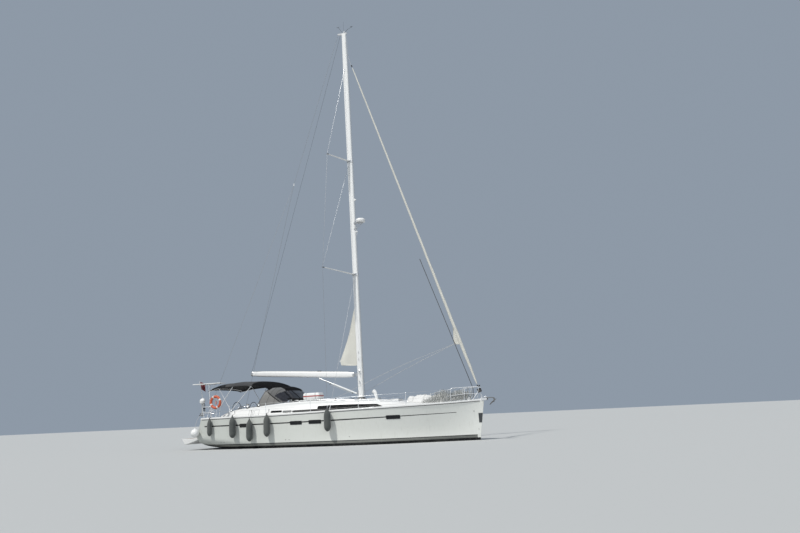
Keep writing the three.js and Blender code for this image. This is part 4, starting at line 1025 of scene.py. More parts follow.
# Dark line along the joint of hull and deck: painted shade of the gap between them
def makeSheerLine():
    runs = []
    for side in (-1, 1):
        places = [0.004 + 0.985 * i / 120 for i in range(121)]
        runs.append([(xAt(place, edgeHeight(place)), side * (edgeHalf(place) + 0.001),
                      edgeHeight(place) - 0.006) for place in places])
    addPiece("sheerLine", lines("sheerLine", runs, 0.014, rubber, 8), rubber, angle=60)


print("deck")
makeDeck()
makeSheerLine()


# Repeats in a row: the shape is set at each step of a line
def makeRowTree():
    tree, n, given, out = newGroup("rowRepeat", "GeometryNodeTree",
                                   [("Geometry", "Geometry", None), ("Count", "Int", 4),
                                    ("Step", "Vector", (0.1, 0, 0)), ("Finish", "Material", None)],
                                   [("Geometry", "Geometry")])
    line = n.add("GeometryNodeMeshLine", {"Count": given["Count"], "Offset": given["Step"]}, mode="OFFSET")
    copies = n.add("GeometryNodeInstanceOnPoints", {"Points": line.outputs[0], "Instance": given["Geometry"]})
    finishTree(n, given, out, copies.outputs[0])
    return tree


# Repeats round an axis through the origin
def makeTurnTree():
    tree, n, given, out = newGroup("turnRepeat", "GeometryNodeTree", [
        ("Geometry", "Geometry", None), ("Count", "Int", 4), ("Axis", "Vector", (0, 0, 1)),
        ("Sweep", "Float", 2 * math.pi), ("Finish", "Material", None),
    ], [("Geometry", "Geometry")])
    line = n.add("GeometryNodeMeshLine", {"Count": given["Count"], "Offset": (0, 0, 0)}, mode="OFFSET")
    index = n.add("GeometryNodeInputIndex").outputs[0]
    angle = n.maths("MULTIPLY", n.maths("DIVIDE", index, given["Count"]), given["Sweep"])
    turn = n.add("FunctionNodeAxisAngleToRotation", {"Axis": given["Axis"], "Angle": angle})
    copies = n.add("GeometryNodeInstanceOnPoints", {
        "Points": line.outputs[0], "Instance": given["Geometry"], "Rotation": turn.outputs[0],
    })
    finishTree(n, given, out, copies.outputs[0])
    return tree


rowTree = makeRowTree()
turnTree = makeTurnTree()


def inRow(name, shape, count, step, finish):
    return grown(name, rowTree, shape, {"Count": count, "Step": step, "Finish": finish})


def roundAxis(name, shape, count, axis, finish, centre=(0, 0, 0), sweep=2 * math.pi):
    mesh = grown(name, turnTree, shape, {"Count": count, "Axis": axis, "Sweep": sweep, "Finish": finish})
    mesh.transform(Matrix.Translation(centre))
    return mesh


# Several meshes as one, each keeping its finish
def merged(name, meshes):
    points, faces, finishes, indices = [], [], [], []
    for mesh in meshes:
        offset = len(points)
        points += [v.co.copy() for v in mesh.vertices]
        slots = []
        for material in mesh.materials:
            if material not in finishes:
                finishes.append(material)
            slots.append(finishes.index(material))
        for polygon in mesh.polygons:
            faces.append([i + offset for i in polygon.vertices])
            indices.append(slots[polygon.material_index] if slots else 0)
    made = bpy.data.meshes.new(name)
    made.from_pydata(points, [], faces)
    for finish in finishes:
        made.materials.append(finish)
    made.polygons.foreach_set("material_index", indices)
    return made


# A shape, or several, as one mesh with a finish
def painted(name, shape, finish):
    mesh = meshOf(name, joined(shape) if isinstance(shape, list) else shape)
    mesh.materials.append(finish)
    return mesh


# Marks on a rounded rectangle: places from -1 to 1 each way, with soft ends
def softGrid(across, up, power=5.0):
    rows = []
    for i in range(across + 1):
        u = -math.cos(math.pi * i / across)
        u = max(min(u, 0.9995), -0.9995)
        reach = (1 - abs(u) ** power) ** (1 / power)
        rows.append([(u, reach * (2 * j / up - 1)) for j in range(up + 1)])
    return rows


def borderOf(rows):
    return [row[-1] for row in rows] + [row[0] for row in reversed(rows)]


print("windows")
windowLook = {
    "bottom": [(-0.61, 1.767), (0.03, 1.718), (0.56, 1.714), (1.35, 1.727), (2.32, 1.755), (2.71, 1.768)],
    "top": [(-0.61, 1.933), (0.37, 1.946), (1.36, 1.930), (2.42, 1.892), (2.71, 1.776)],
    "long": 3.32,
    "bars": (0.42, 1.50),
    "proud": 0.010,
    "thick": 0.014,
}


def valueAt(points, x):
    for (x0, z0), (x1, z1) in zip(points, points[1:]):
        if x <= x1:
            return z0 + (z1 - z0) * (x - x0) / (x1 - x0)
    return points[-1][1]


def makeRoofWindows():
    for name, side in bothSides:
        rows = []
        for i in range(61):
            x = windowLook["bottom"][0][0] + windowLook["long"] * i / 60
            low, high = valueAt(windowLook["bottom"], x), valueAt(windowLook["top"], x)
            end = min((i / 60 * windowLook["long"]) / 0.04, 1)
            cut = 0.02 * (1 - math.sqrt(1 - (1 - end) ** 2))
            low, high = low + cut, high - cut
            rows.append([roofSide(x, low + (high - low) * k / 6, windowLook["proud"], side)
                         for k in range(7)])
        if side > 0:
            rows = [list(reversed(row)) for row in rows]
        pane = painted("pane", thickened(rows, windowLook["thick"]), roofGlass)
        edge = [row[0] for row in rows] + [row[-1] for row in reversed(rows)]
        seal = lines("seal", [edge + [edge[0]]], 0.006, rubber, 6)
        bars = []
        for x in windowLook["bars"]:
            low, high = valueAt(windowLook["bottom"], x), valueAt(windowLook["top"], x)
            bars.append([roofSide(x, low + (high - low) * k / 4, 0.011, side) for k in range(5)])
        dividers = lines("dividers", bars, 0.005, blackPlastic, 6)
        addPiece("roofWindow_" + name, [pane, seal, dividers], roofGlass,
                 stands=["window_" + name])


# Slot aft of the long window: a dark end, a grey port and a thin line that joins it to the window
slotLook = {
    "dark": (-3.17, -2.56, 1.764, 0.048, 0.0),      # ends, height, half height, rise
    "grey": (-2.50, -2.02, 1.745, 0.046, 0.0),
    "strip": (-1.97, -0.10, 1.745, 0.046, 0.012),
}


def roofPatch(low, high, middle, half, rise, out, side, across=18):
    rows = []
    for row in softGrid(across, 4, 8.0):
        rows.append([roofSide((low + high) / 2 + u * (high - low) / 2, middle + u * rise + v * half, out,
                              side) for u, v in row])
    return [list(reversed(row)) for row in rows] if side > 0 else rows


def makeRoofSlots():
    for name, side in bothSides:
        meshes = []
        for key, finish in (("dark", roofGlass), ("grey", greyPane), ("strip", roofGlass)):
            low, high, middle, half, rise = slotLook[key]
            grid = roofPatch(low, high, middle, half, rise, 0.006, side, 30)
            meshes.append(painted(key, thickened(grid, 0.012), finish))
            border = borderOf(grid)
            meshes.append(lines(key + "Rim", [border + [border[0]]], 0.004, rubber, 6))
        low, high, middle, half, rise = slotLook["grey"]
        grid = roofPatch(low + 0.03, high - 0.03, middle, half - 0.018, rise, 0.010, side)
        meshes.append(painted("portPane", thickened(grid, 0.008), greyPane))
        addPiece("roofSlot_" + name, meshes, darkGlass)


# Hull windows on the sheer stripe
portRows = [(-4.67, -4.20), (-1.70, -1.05), (-0.67, 0.00), (3.24, 3.88)]


def makeHullWindows():
    for name, side in bothSides:
        meshes = []
        for low, high in portRows:
            middle = (low + high) / 2
            base, slope, bend = hullSize["stripeHeights"]
            centre = base + slope * middle + bend * middle ** 2 - 0.026
            rows = []
            for row in softGrid(20, 4, 14.0):
                rows.append([hullPoint(middle + u * (high - low) / 2, centre + v * 0.086, 0.006, side)
                             for u, v in row])
            if side > 0:
                rows = [list(reversed(row)) for row in rows]
            meshes.append(painted("pane", thickened(rows, 0.010), darkGlass))
            border = borderOf(rows)
            meshes.append(lines("frame", [border + [border[0]]], 0.007, blackPlastic, 6))
        addPiece("hullWindows_" + name, meshes, darkGlass)


makeRoofWindows()
makeRoofSlots()
makeHullWindows()

print("deck surfaces")


def deckTop(x, y):
    place = placeOf(x)
    half, edge = edgeHalf(place), edgeHeight(place)
    inner = half - lipAt(half) * 1.3
    foot = edge + deckLook["edge"]
    return foot + (crownAt(half, edge) - edge - deckLook["edge"]) * (1 - min(abs(y) / inner, 1))


def roofBaseAt(x):
    if x < roofSections[0][0] or x > roofSections[-1][0]:
        return 0.0
    return linear(roofSections, x, 1)


def softPatch(low, high, inner, outer, height, side, lift=0.0022, across=16, up=5):
    rows = []
    for i in range(across + 1):
        u = -math.cos(math.pi * i / across)
        x = (low + high) / 2 + u * (high - low) / 2
        near, far = inner(x), outer(x)
        room = min((high - low) / 2 * (1 - abs(u)), 0.05)
        shrink = 0.05 - math.sqrt(max(0.05 ** 2 - (0.05 - room) ** 2, 0))
        near, far = near + shrink, far - shrink
        rows.append([(x, side * (near + (far - near) * k / up), 0) for k in range(up + 1)])
    rows = [[(x, y, height(x, y) + lift) for x, y, _ in row] for row in rows]
    if side < 0:
        rows = [list(reversed(row)) for row in rows]
    return thickened(rows, 0.003)


nonSlipRows = [(-5.85, -4.50), (-4.42, -3.16), (-3.08, -1.90), (-1.82, -0.62), (-0.54, 0.70), (0.78, 1.90),
               (1.98, 3.05), (3.13, 4.16), (4.24, 5.15)]


def makeNonSlip():
    patches = []
    for side in (-1, 1):
        for low, high in nonSlipRows:
            patches.append(softPatch(low, high,
                                     lambda x: max(roofBaseAt(x) + 0.05, 0.04 if x > 4.75 else 0.0),
                                     lambda x: edgeY(x) - 0.13, deckTop, side))
        patches.append(softPatch(5.22, 5.90, lambda x: 0.04, lambda x: edgeY(x) - 0.13, deckTop, side))
        patches.append(softPatch(-6.98, -6.42, lambda x: 1.34, lambda x: edgeY(x) - 0.13, deckTop, side,
                                 across=10))
        for low, high, inner, outer in ((-1.10, 0.80, 0.46, 1.22), (1.36, 2.48, 0.34, 0.92),
                                        (2.62, 3.60, 0.34, 0.66)):
            patches.append(softPatch(low, high, lambda x, a=inner: a,
                                     lambda x, b=outer: min(b, linear(roofSections, x, 2) - 0.16), roofTop,
                                     side))
    addPiece("nonSlipPanels", joined(patches), nonSlip, angle=50)


makeNonSlip()


# Teak: boards with dark seams
def makeTeak():
    material = newFinish("teak", (0.30, 0.185, 0.095), 0.62, amount=0.35, grime=(0.27, 0.25, 0.22), scale=2.5,
                         grainScale=26.0, depth=0.0008, stretch=(0.35, 6, 6))

    def colour(n):
        fibres = n.cloud(9.0, 6.0, n.objectPlace((0.35, 9, 9)))
        broad = n.cloud(1.2, 2.0, n.objectPlace((0.6, 5, 5)))
        tone = n.blendColours(n.spread(fibres, 0.35, 0.7), (0.34, 0.205, 0.105, 1), (0.155, 0.085, 0.04, 1))
        return n.blendColours(n.maths("MULTIPLY", n.spread(broad, 0.35, 0.7), 0.5), tone,
                              (0.42, 0.30, 0.19, 1))

    return paintOver(material, colour)


teak = makeTeak()


def boards(name, x, y, z, width=0.052, seam=0.006, thick=0.008, along="x"):
    meshes = [painted("bed", box(x, y, (z + 0.0005, z + thick * 0.55)), rubber)]
    low, high = (y if along == "x" else x)
    count = max(int(round((high - low - seam) / (width + seam))), 1)
    wide = (high - low - seam) / count - seam
    start = low + seam
    if along == "x":
        board = box((x[0] + seam, x[1] - seam), (start, start + wide), (z + 0.001, z + thick))
        step = (0, wide + seam, 0)
    else:
        board = box((start, start + wide), (y[0] + seam, y[1] - seam), (z + 0.001, z + thick))
        step = (wide + seam, 0, 0)
    meshes.append(inRow(name + "Boards", board, count, step, teak))
    return merged(name, meshes)


print("cockpit")


def makeCockpitTeak():
    fields = [
        boards("soleAft", (-6.30, -4.97), (-1.17, 1.17), 1.08),
        boards("soleFore", (-4.93, -2.80), (-0.53, 0.53), 1.08),
        boards("solePassage", (-7.05, -6.32), (-0.42, 0.42), 1.08),
    ]
    for side in (-1, 1):
        y = sorted((side * 0.52, side * 1.19))
        fields.append(boards("helmSeat", (-6.79, -6.42), y, 1.5))
        inner = sorted((side * 0.63, side * 0.68))
        outer = sorted((side * 1.256, side * 1.282))
        fields.append(boards("benchInner", (-4.90, -2.80), inner, 1.5, width=0.04))
        fields.append(boards("benchOuter", (-4.90, -2.80), outer, 1.5, width=0.03))
        both = sorted((side * 0.69, side * 1.23))
        fields.append(boards("benchAft", (-4.90, -4.705), both, 1.5))
        fields.append(boards("benchFore", (-3.095, -2.80), both, 1.5))
    addPiece("cockpitTeak", fields, teak, angle=40)
    for name, side in bothSides:
        y = sorted((side * 0.69, side * 1.226))
        lid = painted("lid", box((-4.70, -3.10), y, (1.506, 1.524)), deckFinish)
        top = boards("lidTop", (-4.695, -3.105), sorted((side * 0.694, side * 1.196)), 1.5235, thick=0.008)
        hinges = joined([turned([(0.009, 0), (0.009, 0.09)], (x, side * 1.222, 1.521), (1, 0, 0), 10)
                         for x in (-4.4, -3.5)])
        meshes = [lid, top, painted("hinges", hinges, stainless)]
        addPiece("seatLid_" + name, meshes, teak, "seat_locker_lid_" + name,
                 ["seat_locker_lid_" + name], angle=40)


makeCockpitTeak()


pedestalLook = {
    "out": 0.8,
    "half": 0.128,
    "side": [(-5.66, 1.0805), (-5.42, 1.0805), (-5.437, 1.35), (-5.478, 1.88), (-5.50, 1.96), (-5.56, 2.035),
             (-5.60, 2.03), (-5.675, 1.99), (-5.70, 1.93), (-5.70, 1.86), (-5.67, 1.40)],
    "rail": (0.17, 1.62, 2.13),      # half width, foot and top
}


def makePedestals():
    for name, side in bothSides:
        y, half = side * pedestalLook["out"], pedestalLook["half"]
        meshes = [painted("column", slab(pedestalLook["side"], y - half, y + half), whiteShell)]
        binnacle = turned([(0.055, 0), (0.058, 0.012), (0.05, 0.035), (0.03, 0.052), (0.004, 0.058)],
                          (-5.60, y, 2.025), (-0.25, 0, 1), 24)
        meshes.append(painted("compass", binnacle, blackPlastic))
        screens = [box((-5.706, -5.694), (y - 0.10, y + 0.10), (1.72, 1.85))]
        for offset in (-0.065, 0.065):
            screens.append(turned([(0.042, 0), (0.042, 0.010)], (-5.690, y + offset, 1.60), (-1, 0, 0), 20))
        meshes.append(painted("instruments", screens, blackPlastic))
        wide, low, high = pedestalLook["rail"]
        rail = roundedPath([(-5.50, y - wide, low), (-5.47, y - wide, high), (-5.47, y + wide, high),
                            (-5.50, y + wide, low)], 0.10)
        meshes.append(lines("grabRail", [rail], 0.0125, stainless, 10))
        feet = [box((-5.51, -5.48), (y + a, y + b), (1.605, 1.635))
                for a, b in ((-0.185, -0.12), (0.12, 0.185))]
        meshes.append(painted("railFeet", feet, stainless))
        shaft = turned([(0.038, 0), (0.034, 0.02), (0.034, 0.075)], (-5.645, y, 1.95), (-1, 0, 0), 20)
        meshes.append(painted("shaft", shaft, stainless))
        if side < 0:
            lever = tube(roundedPath([(-5.56, y - half, 1.66), (-5.56, y - 0.17, 1.66),
                                      (-5.60, y - 0.175, 1.80)], 0.03), 0.008, 8)
            knob = ellipsoid((-5.602, y - 0.175, 1.81), (0.018, 0.018, 0.024), 12, 8)
            meshes.append(painted("throttle", [lever, knob], blackPlastic))
        addPiece("pedestal_" + name, meshes, whiteShell,
                 stands=["pedestal_" + name], bevel=0.012)


leather = newFinish("stitchedLeather", (0.022, 0.022, 0.025), 0.55, amount=0.3, grime=(0.1, 0.1, 0.1),
                    grainScale=500.0, depth=0.0008)


wheelLook = {"centre": (-5.76, 0.8, 1.95), "radius": 0.42, "grip": 0.0145, "spokes": 5}


def makeWheels():
    for name, side in bothSides:
        x, y, z = wheelLook["centre"]
        centre = Vector((x, side * y, z))
        radius, grip, count = wheelLook["radius"], wheelLook["grip"], wheelLook["spokes"]
        rim = painted("rim", ring(centre, (1, 0, 0), radius, grip, 72, 12), leather)
        spoke = tube([(0.008, 0.03, 0), (0.004, 0.2, 0), (0, 0.408, 0)], [0.010, 0.009, 0.0075], 10)
        spokes = roundAxis("spokes", spoke, count, (1, 0, 0), stainless)
        spokes.transform(Matrix.Translation(centre) @ Matrix.Rotation(math.pi / 2, 4, "X"))
        hub = painted("hub",
                      turned([(0.02, -0.024), (0.040, -0.020), (0.045, 0.0), (0.042, 0.034)], centre,
                             (1, 0, 0), 24), stainless)
        cap = painted("cap",
                      turned([(0.004, -0.036), (0.018, -0.034), (0.022, -0.022)], centre, (1, 0, 0), 18),
                      blackPlastic)
        whips = [ring(centre + Vector((0, radius * math.cos(a), radius * math.sin(a))),
                      (0, -math.sin(a), math.cos(a)), grip, 0.0022, 14, 6)
                 for a in (math.pi / 2 + 2 * math.pi * (k + 0.5) / count + d for k in range(count)
                           for d in (-0.25, 0.25))]
        stitches = painted("whipping", whips, stainless)
        addPiece("wheel_" + name, [rim, spokes, hub, cap, stitches], leather,
                 "wheel_" + name, ["wheel_" + name])


tableLook = {"top": 1.79, "ends": (-4.545, -3.355), "legs": (-4.32, -3.58), "leaf": (0.128, 0.156),
             "leafHigh": 0.335}


def makeTable():
    top = tableLook["top"]
    meshes = [painted("core", box((-4.53, -3.37), (-0.112, 0.112), (top - 0.026, top - 0.006)), teak),
              boards("tableTop", (-4.548, -3.352), (-0.118, 0.118), top - 0.008, width=0.07, seam=0.004),
              painted("ice", box((-4.49, -3.41), (-0.07, 0.07), (top - 0.32, top - 0.03)), whiteShell)]
    for x in tableLook["legs"]:
        meshes.append(painted("leg", turned([(0.07, 0), (0.07, 0.012), (0.034, 0.02), (0.034, 0.40)],
                                            (x, 0, 1.089), sides=24), stainless))
    fiddles = []
    for x in tableLook["ends"]:
        fiddles.append(box((x - 0.006, x + 0.006), (-0.12, 0.12), (top - 0.03, top + 0.012)))
    meshes.append(painted("fiddles", fiddles, teak))
    grip = roundedPath([(-4.50, 0, top), (-4.50, 0, top + 0.10), (-4.20, 0, top + 0.10), (-4.20, 0, top)],
                       0.05)
    meshes.append(lines("grip", [grip], 0.011, stainless, 10))
    addPiece("cockpitTable", meshes, teak, stands=["cockpit_table"], bevel=0.003)
    for name, side in bothSides:
        near, far = tableLook["leaf"]
        y = sorted((side * near, side * far))
        meshes = [painted("leafCore", box(tableLook["ends"], y, (top - tableLook["leafHigh"], top - 0.002)),
                          teak)]
        strip = []
        for k in range(5):
            z = top - 0.325 + k * 0.066
            face = sorted((side * far, side * (far + 0.003)))
            strip.append(box((-4.53, -3.37), face, (z, z + 0.058)))
        meshes.append(painted("leafBoards", strip, teak))
        knuckles = joined([turned([(0.007, 0), (0.007, 0.07)], (x, side * 0.150, top - 0.010), (1, 0, 0), 10)
                           for x in (-4.4, -3.98, -3.57)])
        meshes.append(painted("knuckles", knuckles, stainless))
        addPiece("tableLeaf_" + name, meshes, teak, "table_leaf_" + name,
                 ["table_leaf_" + name], bevel=0.002)


makePedestals()
makeWheels()
makeTable()

print("bimini and sprayhood")
# columns: x, half width, height of the side edge, height of the crown
biminiRows = [
    (-7.08, 1.50, 2.985, 3.080),
    (-6.75, 1.60, 3.050, 3.270),
    (-6.32, 1.66, 3.115, 3.385),
    (-5.50, 1.69, 3.165, 3.430),
    (-4.70, 1.69, 3.165, 3.425),
    (-4.30, 1.66, 3.125, 3.385),
]
biminiLook = {
    "bows": (-6.95, -6.30, -5.43, -4.34),
    "sag": 0.018,
    "wrinkle": 0.007,
    "thick": 0.004,
    "pipe": 0.016,
}
canvas = newCloth("canvas", (0.050, 0.051, 0.055), 0.002, sheen=0.05, amount=0.25, grime=(0.10, 0.10, 0.09),
                  Specular_IOR_Level=0.2)
canvasMid = newCloth("canvasMid", (0.105, 0.107, 0.108), 0.002, amount=0.3, grime=(0.10, 0.10, 0.10))
canvasLight = newCloth("canvasLight", (0.195, 0.193, 0.185), 0.002, amount=0.3, grime=(0.16, 0.16, 0.15))
# Near-black cloth for seams, straps and zips, also painted shade on the sprayhood's top and on the link panel
blackAndShadedCanvas = newCloth("canvasBlackAndShaded", (0.006, 0.006, 0.007), 0.002, sheen=0.0, amount=0.2,
                       grime=(0.02, 0.02, 0.02), Specular_IOR_Level=0.08)
clearPane = newFinish("clearPane", (0.016, 0.017, 0.022), 0.14, amount=0.22, grime=(0.09, 0.09, 0.10),
                      scale=3.0, grainScale=7.0, depth=0.004, Coat_Weight=0.2, Specular_IOR_Level=0.3)


def squareArch(foot, top, half, bulge, steps, bow=0.0):
    row = []
    for i in range(steps + 1):
        turn = math.pi * i / steps
        across = abs(math.cos(turn)) ** (2 / bulge) * math.copysign(1, math.cos(turn))
        up = max(math.sin(turn), 0) ** (2 / bulge)
        x = foot[0] + (top[0] - foot[0]) * up + bow * (1 - across ** 2)
        row.append(Vector((x, -half * across, foot[1] + (top[1] - foot[1]) * up)))
    return row


def biminiAt(x):
    return [between(biminiRows, x, c) for c in (1, 2, 3)]


def biminiRow(x, drop=0.0, inset=0.0, steps=48):
    half, edge, crown = biminiAt(x)
    return squareArch((x, edge - drop), (x, crown - drop), half - inset, 2.1, steps)


def uvSheet(mesh, across, along):
    layer = mesh.uv_layers.new(name="UVMap")
    for loop in mesh.loops:
        p = mesh.vertices[loop.vertex_index].co
        layer.data[loop.index].uv = (p[across], p[along])


def makeBimini():
    rows = []
    count = 76
    for i in range(count + 1):
        x = -7.08 + 2.78 * i / count
        row = biminiRow(x, steps=64)
        nearest = min(biminiLook["bows"], key=lambda bow: abs(bow - x))
        gap = min(abs(nearest - x) / 0.42, 1)
        for k, p in enumerate(row):
            across = 4 * (k / 64) * (1 - k / 64)
            fold = noise.noise(Vector((p.x * 2.1, p.y * 1.3, 0.3)))
            fold += 0.5 * noise.noise(Vector((p.x * 7, p.y * 1.7, 2)))
            sag = biminiLook["sag"] * math.sin(gap * math.pi / 2) ** 2
            p.z += -sag * across + biminiLook["wrinkle"] * fold * across
        rows.append(row)
    shape = thickened([list(reversed(row)) for row in rows], biminiLook["thick"])
    mesh = painted("canopy", shape, canvas)
    border = rows[0] + [row[-1] for row in rows[1:]]
    border = border + list(reversed(rows[-1]))[1:] + [row[0] for row in reversed(rows[:-1])]
    hem = lines("hem", [[p + Vector((0, 0, -0.004)) for p in border]], 0.010, canvas, 8)
    seams = [[p + Vector((0, 0, 0.0012)) for p in rows[round((x + 7.08) / 2.78 * count)]]
             for x in biminiLook["bows"][1:3]]
    seams += [[row[k] + Vector((0, 0, 0.0012)) for row in rows] for k in (21, 43)]
    stitched = lines("seams", seams, 0.0038, canvas, 6)
    whole = merged("biminiCanopy", [mesh, hem, stitched])
    uvSheet(whole, 0, 1)
    piece = addPiece("biminiCanopy", whole, canvas, stands=["bimini_canopy"], angle=60)


makeBimini()

# The frame: four bows, two of them from a pivot on each coaming, a strut aft on each side and bars to the
# aftmost bow
pivot = Vector((-5.56, 1.655, 0))


def makeBiminiFrame():
    footZ = roofTop(pivot.x, 1.55) + 0.01
    bars = []
    for x in (-6.30, -4.34):
        bow = biminiRow(x, 0.022, 0.02, 40)
        foot = Vector((pivot.x, -pivot.y, footZ))
        other = Vector((pivot.x, pivot.y, footZ))
        bars.append(roundedPath([foot, bow[0] - Vector((0, 0.0, 0.02))], 0.01)[:-1] + bow + [other])
    bars.append([Vector((p.x, p.y, p.z)) for p in biminiRow(-5.43, 0.022, 0.02, 40)])
    bars.append(biminiRow(-6.95, 0.020, 0.02, 40))
    for side in (-1, 1):
        bars.append(roundedPath([(-6.21, side * 1.79, edgeZ(-6.21) + 0.03), (-6.12, side * 1.78, 2.2),
                                 (-5.45, side * 1.65, 3.135)], 0.3))
        start = biminiRow(-6.30, 0.05, 0.02, 40)[2 if side < 0 else -3]
        bars.append([start, biminiRow(-6.95, 0.03, 0.02, 40)[1 if side < 0 else -2]])
    frame = lines("bows", bars, biminiLook["pipe"], stainless, 12)
    fittings = []
    for side in (-1, 1):
        foot = Vector((pivot.x, side * pivot.y, footZ))
        fittings.append(box((foot.x - 0.05, foot.x + 0.05), (foot.y - 0.03, foot.y + 0.03),
                            (foot.z - 0.012, foot.z + 0.004)))
        fittings.append(ellipsoid(foot, (0.028, 0.024, 0.028), 12, 8))
        for x in (-6.30, -4.34, -5.43):
            end = biminiRow(x, 0.022, 0.02, 40)[1 if side < 0 else -2]
            fittings.append(ellipsoid(end, (0.026, 0.022, 0.026), 12, 8))
    knuckles = painted("knuckles", fittings, stainless)
    addPiece("biminiFrame", [frame, knuckles], stainless,
             stands=["bimini_frame"], angle=50)


makeBiminiFrame()

# columns: x of the foot, half width, height of the foot, x of the top, height of the top, bow
hoodRows = [
    (-4.10, 1.50, 2.030, -3.50, 3.045, 0.00),
    (-3.60, 1.48, 2.110, -3.14, 3.055, 0.04),
    (-3.15, 1.44, 2.150, -2.96, 2.950, 0.18),
    (-2.80, 1.36, 2.185, -2.70, 2.650, 0.28),
    (-2.45, 1.26, 2.210, -2.42, 2.380, 0.34),
]
hoodLook = {
    "thick": 0.004,
    "bulge": 4.0,
    "across": 72,
    "perPanel": 12,
    "hollow": 0.010,
    "wrinkle": 0.006,
    "strap": ((-3.51, 2.78), (-2.83, 2.26)),      # x and height of its ends on the side
    "window": ((-2.45, 2.95), (-3.10, 2.57), (-2.70, 2.30)),
    "mullions": (0.44, 1.02),
}


def onLine(line, z):
    for (x0, z0), (x1, z1) in zip(line, line[1:]):
        if z1 <= z <= z0:
            return x0 + (x1 - x0) * (z0 - z) / (z0 - z1)
    return line[0][0] if z > line[0][1] else line[-1][0]


# Cloth of each part of the hood; 3, the near-black cloth, takes the window's bars and lower band, and the
# top, where it is painted shade
def hoodPanel(p):
    if p.z < 2.95 and p.x > onLine(hoodLook["window"], p.z):
        bar = min(abs(abs(p.y) - place) for place in hoodLook["mullions"]) < 0.03
        low = p.x > -2.6 and p.z < 2.42 and abs(p.y) < 1.2
        return 3 if bar or low else 2
    if p.z > 2.99 or abs(p.y) < 0.9:
        return 3
    return 1 if p.z < 2.78 and p.x < onLine(hoodLook["strap"], p.z) else 4


def makeSprayhood():
    count, across = hoodLook["perPanel"], hoodLook["across"]
    feet = curveThrough([Vector(row[:3]) for row in hoodRows], count)
    tops = curveThrough([Vector(row[3:]) for row in hoodRows], count)
    rows = []
    for i, (foot, top) in enumerate(zip(feet, tops)):
        footZ = max(foot.z, roofTop(foot.x, foot.y) + 0.006)
        row = squareArch((foot.x, footZ), (top.x, top.y), foot.y, hoodLook["bulge"], across, top.z)
        for k, p in enumerate(row):
            slack = 4 * (k / across) * (1 - k / across)
            fold = noise.noise(Vector((p.x * 3.0, p.y * 2.0, p.z * 2.0)))
            hollow = hoodLook["hollow"] * abs(math.sin(i / count * math.pi))
            p.z += (hoodLook["wrinkle"] * fold - hollow) * slack
        rows.append(row)
    points, faces = thickened([list(reversed(row)) for row in rows], hoodLook["thick"])
    mesh = meshOf("hood", (points, faces))
    for finish in (canvas, canvasLight, clearPane, blackAndShadedCanvas, canvasMid):
        mesh.materials.append(finish)
    for polygon in mesh.polygons:
        polygon.material_index = hoodPanel(polygon.center)
    paths = [[p + (p - Vector((-3.0, 0, 2.4))).normalized() * 0.003 for p in rows[count * k]]
             for k in range(5)]
    hems = lines("hems", [paths[0], paths[4]], 0.010, canvas, 8)
    seams = lines("seams", paths[1:4], 0.006, blackAndShadedCanvas, 6)
    side = [row[k] for row in rows for k in range(3, 20)]
    straps = []
    for turn in (1, -1):
        strap = []
        for step in range(13):
            z = hoodLook["strap"][0][1] + (hoodLook["strap"][1][1] - hoodLook["strap"][0][1]) * step / 12
            x = onLine(hoodLook["strap"], z)
            near = min(side, key=lambda p: (p.x - x) ** 2 + (p.z - z) ** 2)
            strap.append(Vector((x, turn * (near.y - 0.006), z)))
        straps.append(strap)
    bands = lines("straps", straps, 0.020, blackAndShadedCanvas, 8)
    whole = merged("sprayhoodCloth", [mesh, hems, seams, bands])
    uvSheet(whole, 0, 2)
    piece = addPiece("sprayhoodCloth", whole, canvas, stands=["sprayhood"], angle=60)
    bars = []
    for index in (1, 16, 30):
        row = rows[index]
        centre = Vector((row[0].x, 0, 2.1))
        bars.append([p + (centre - p).normalized() * 0.022 for p in row])
    pipes = lines("hoodBows", bars, 0.0115, stainless, 10)
    rail = bars[0]
    aft = Vector((-0.10, 0, -0.02))
    grab = lines("grabRail", [[p + aft for p in rail[14:59]]], 0.0125, stainless, 10)
    legs = lines("grabStays", [[rail[k] + aft, rail[k]] for k in (14, 36, 58)], 0.008, stainless, 8)
    addPiece("sprayhoodFrame", [pipes, grab, legs], stainless, angle=50)
    return rows


hoodGrid = makeSprayhood()

# The panel that links the bimini's front edge to the sprayhood's top, in near-black cloth that is painted
# shade
linkLook = {"steps": 18, "across": 48, "lift": 0.012, "reach": 1.30, "middle": (-3.86, 1.50, 3.050, 3.300)}


def spacedRow(row, count):
    spots = []
    for k in range(count + 1):
        place = k / count * (len(row) - 1)
        low = min(int(place), len(row) - 2)
        spots.append(row[low].lerp(row[low + 1], place - low))
    return spots


def makeLinkPanel():
    count = linkLook["across"]
    x, half, edge, crown = linkLook["middle"]
    start = spacedRow(biminiRow(-4.30, -0.001, 0.01, 48)[2:47], count)
    middle = spacedRow(squareArch((x, edge), (x, crown), half, 2.1, 48)[2:47], count)
    hood = [p for p in hoodGrid[5] if abs(p.y) < linkLook["reach"] and p.z > 2.6]
    end = spacedRow([p + Vector((0, 0, linkLook["lift"])) for p in hood], count)
    rows = []
    for i in range(linkLook["steps"] + 1):
        t = i / linkLook["steps"]
        row = []
        for near, mid, far in zip(start, middle, end):
            control = mid * 2 - (near + far) / 2
            p = near * (1 - t) ** 2 + control * (2 * t * (1 - t)) + far * t ** 2
            p.z += 0.005 * noise.noise(Vector((p.x * 5, p.y * 2, 1)))
            row.append(p)
        rows.append(row)
    mesh = painted("link", thickened([list(reversed(row)) for row in rows], 0.003), blackAndShadedCanvas)
    edges = [[p + Vector((0, 0, 0.002)) for p in row] for row in (rows[0], rows[-1])]
    whole = merged("linkPanel", [mesh, lines("zips", edges, 0.007, blackAndShadedCanvas, 6)])
    uvSheet(whole, 0, 1)
    piece = addPiece("linkPanel", whole, blackAndShadedCanvas, angle=60)


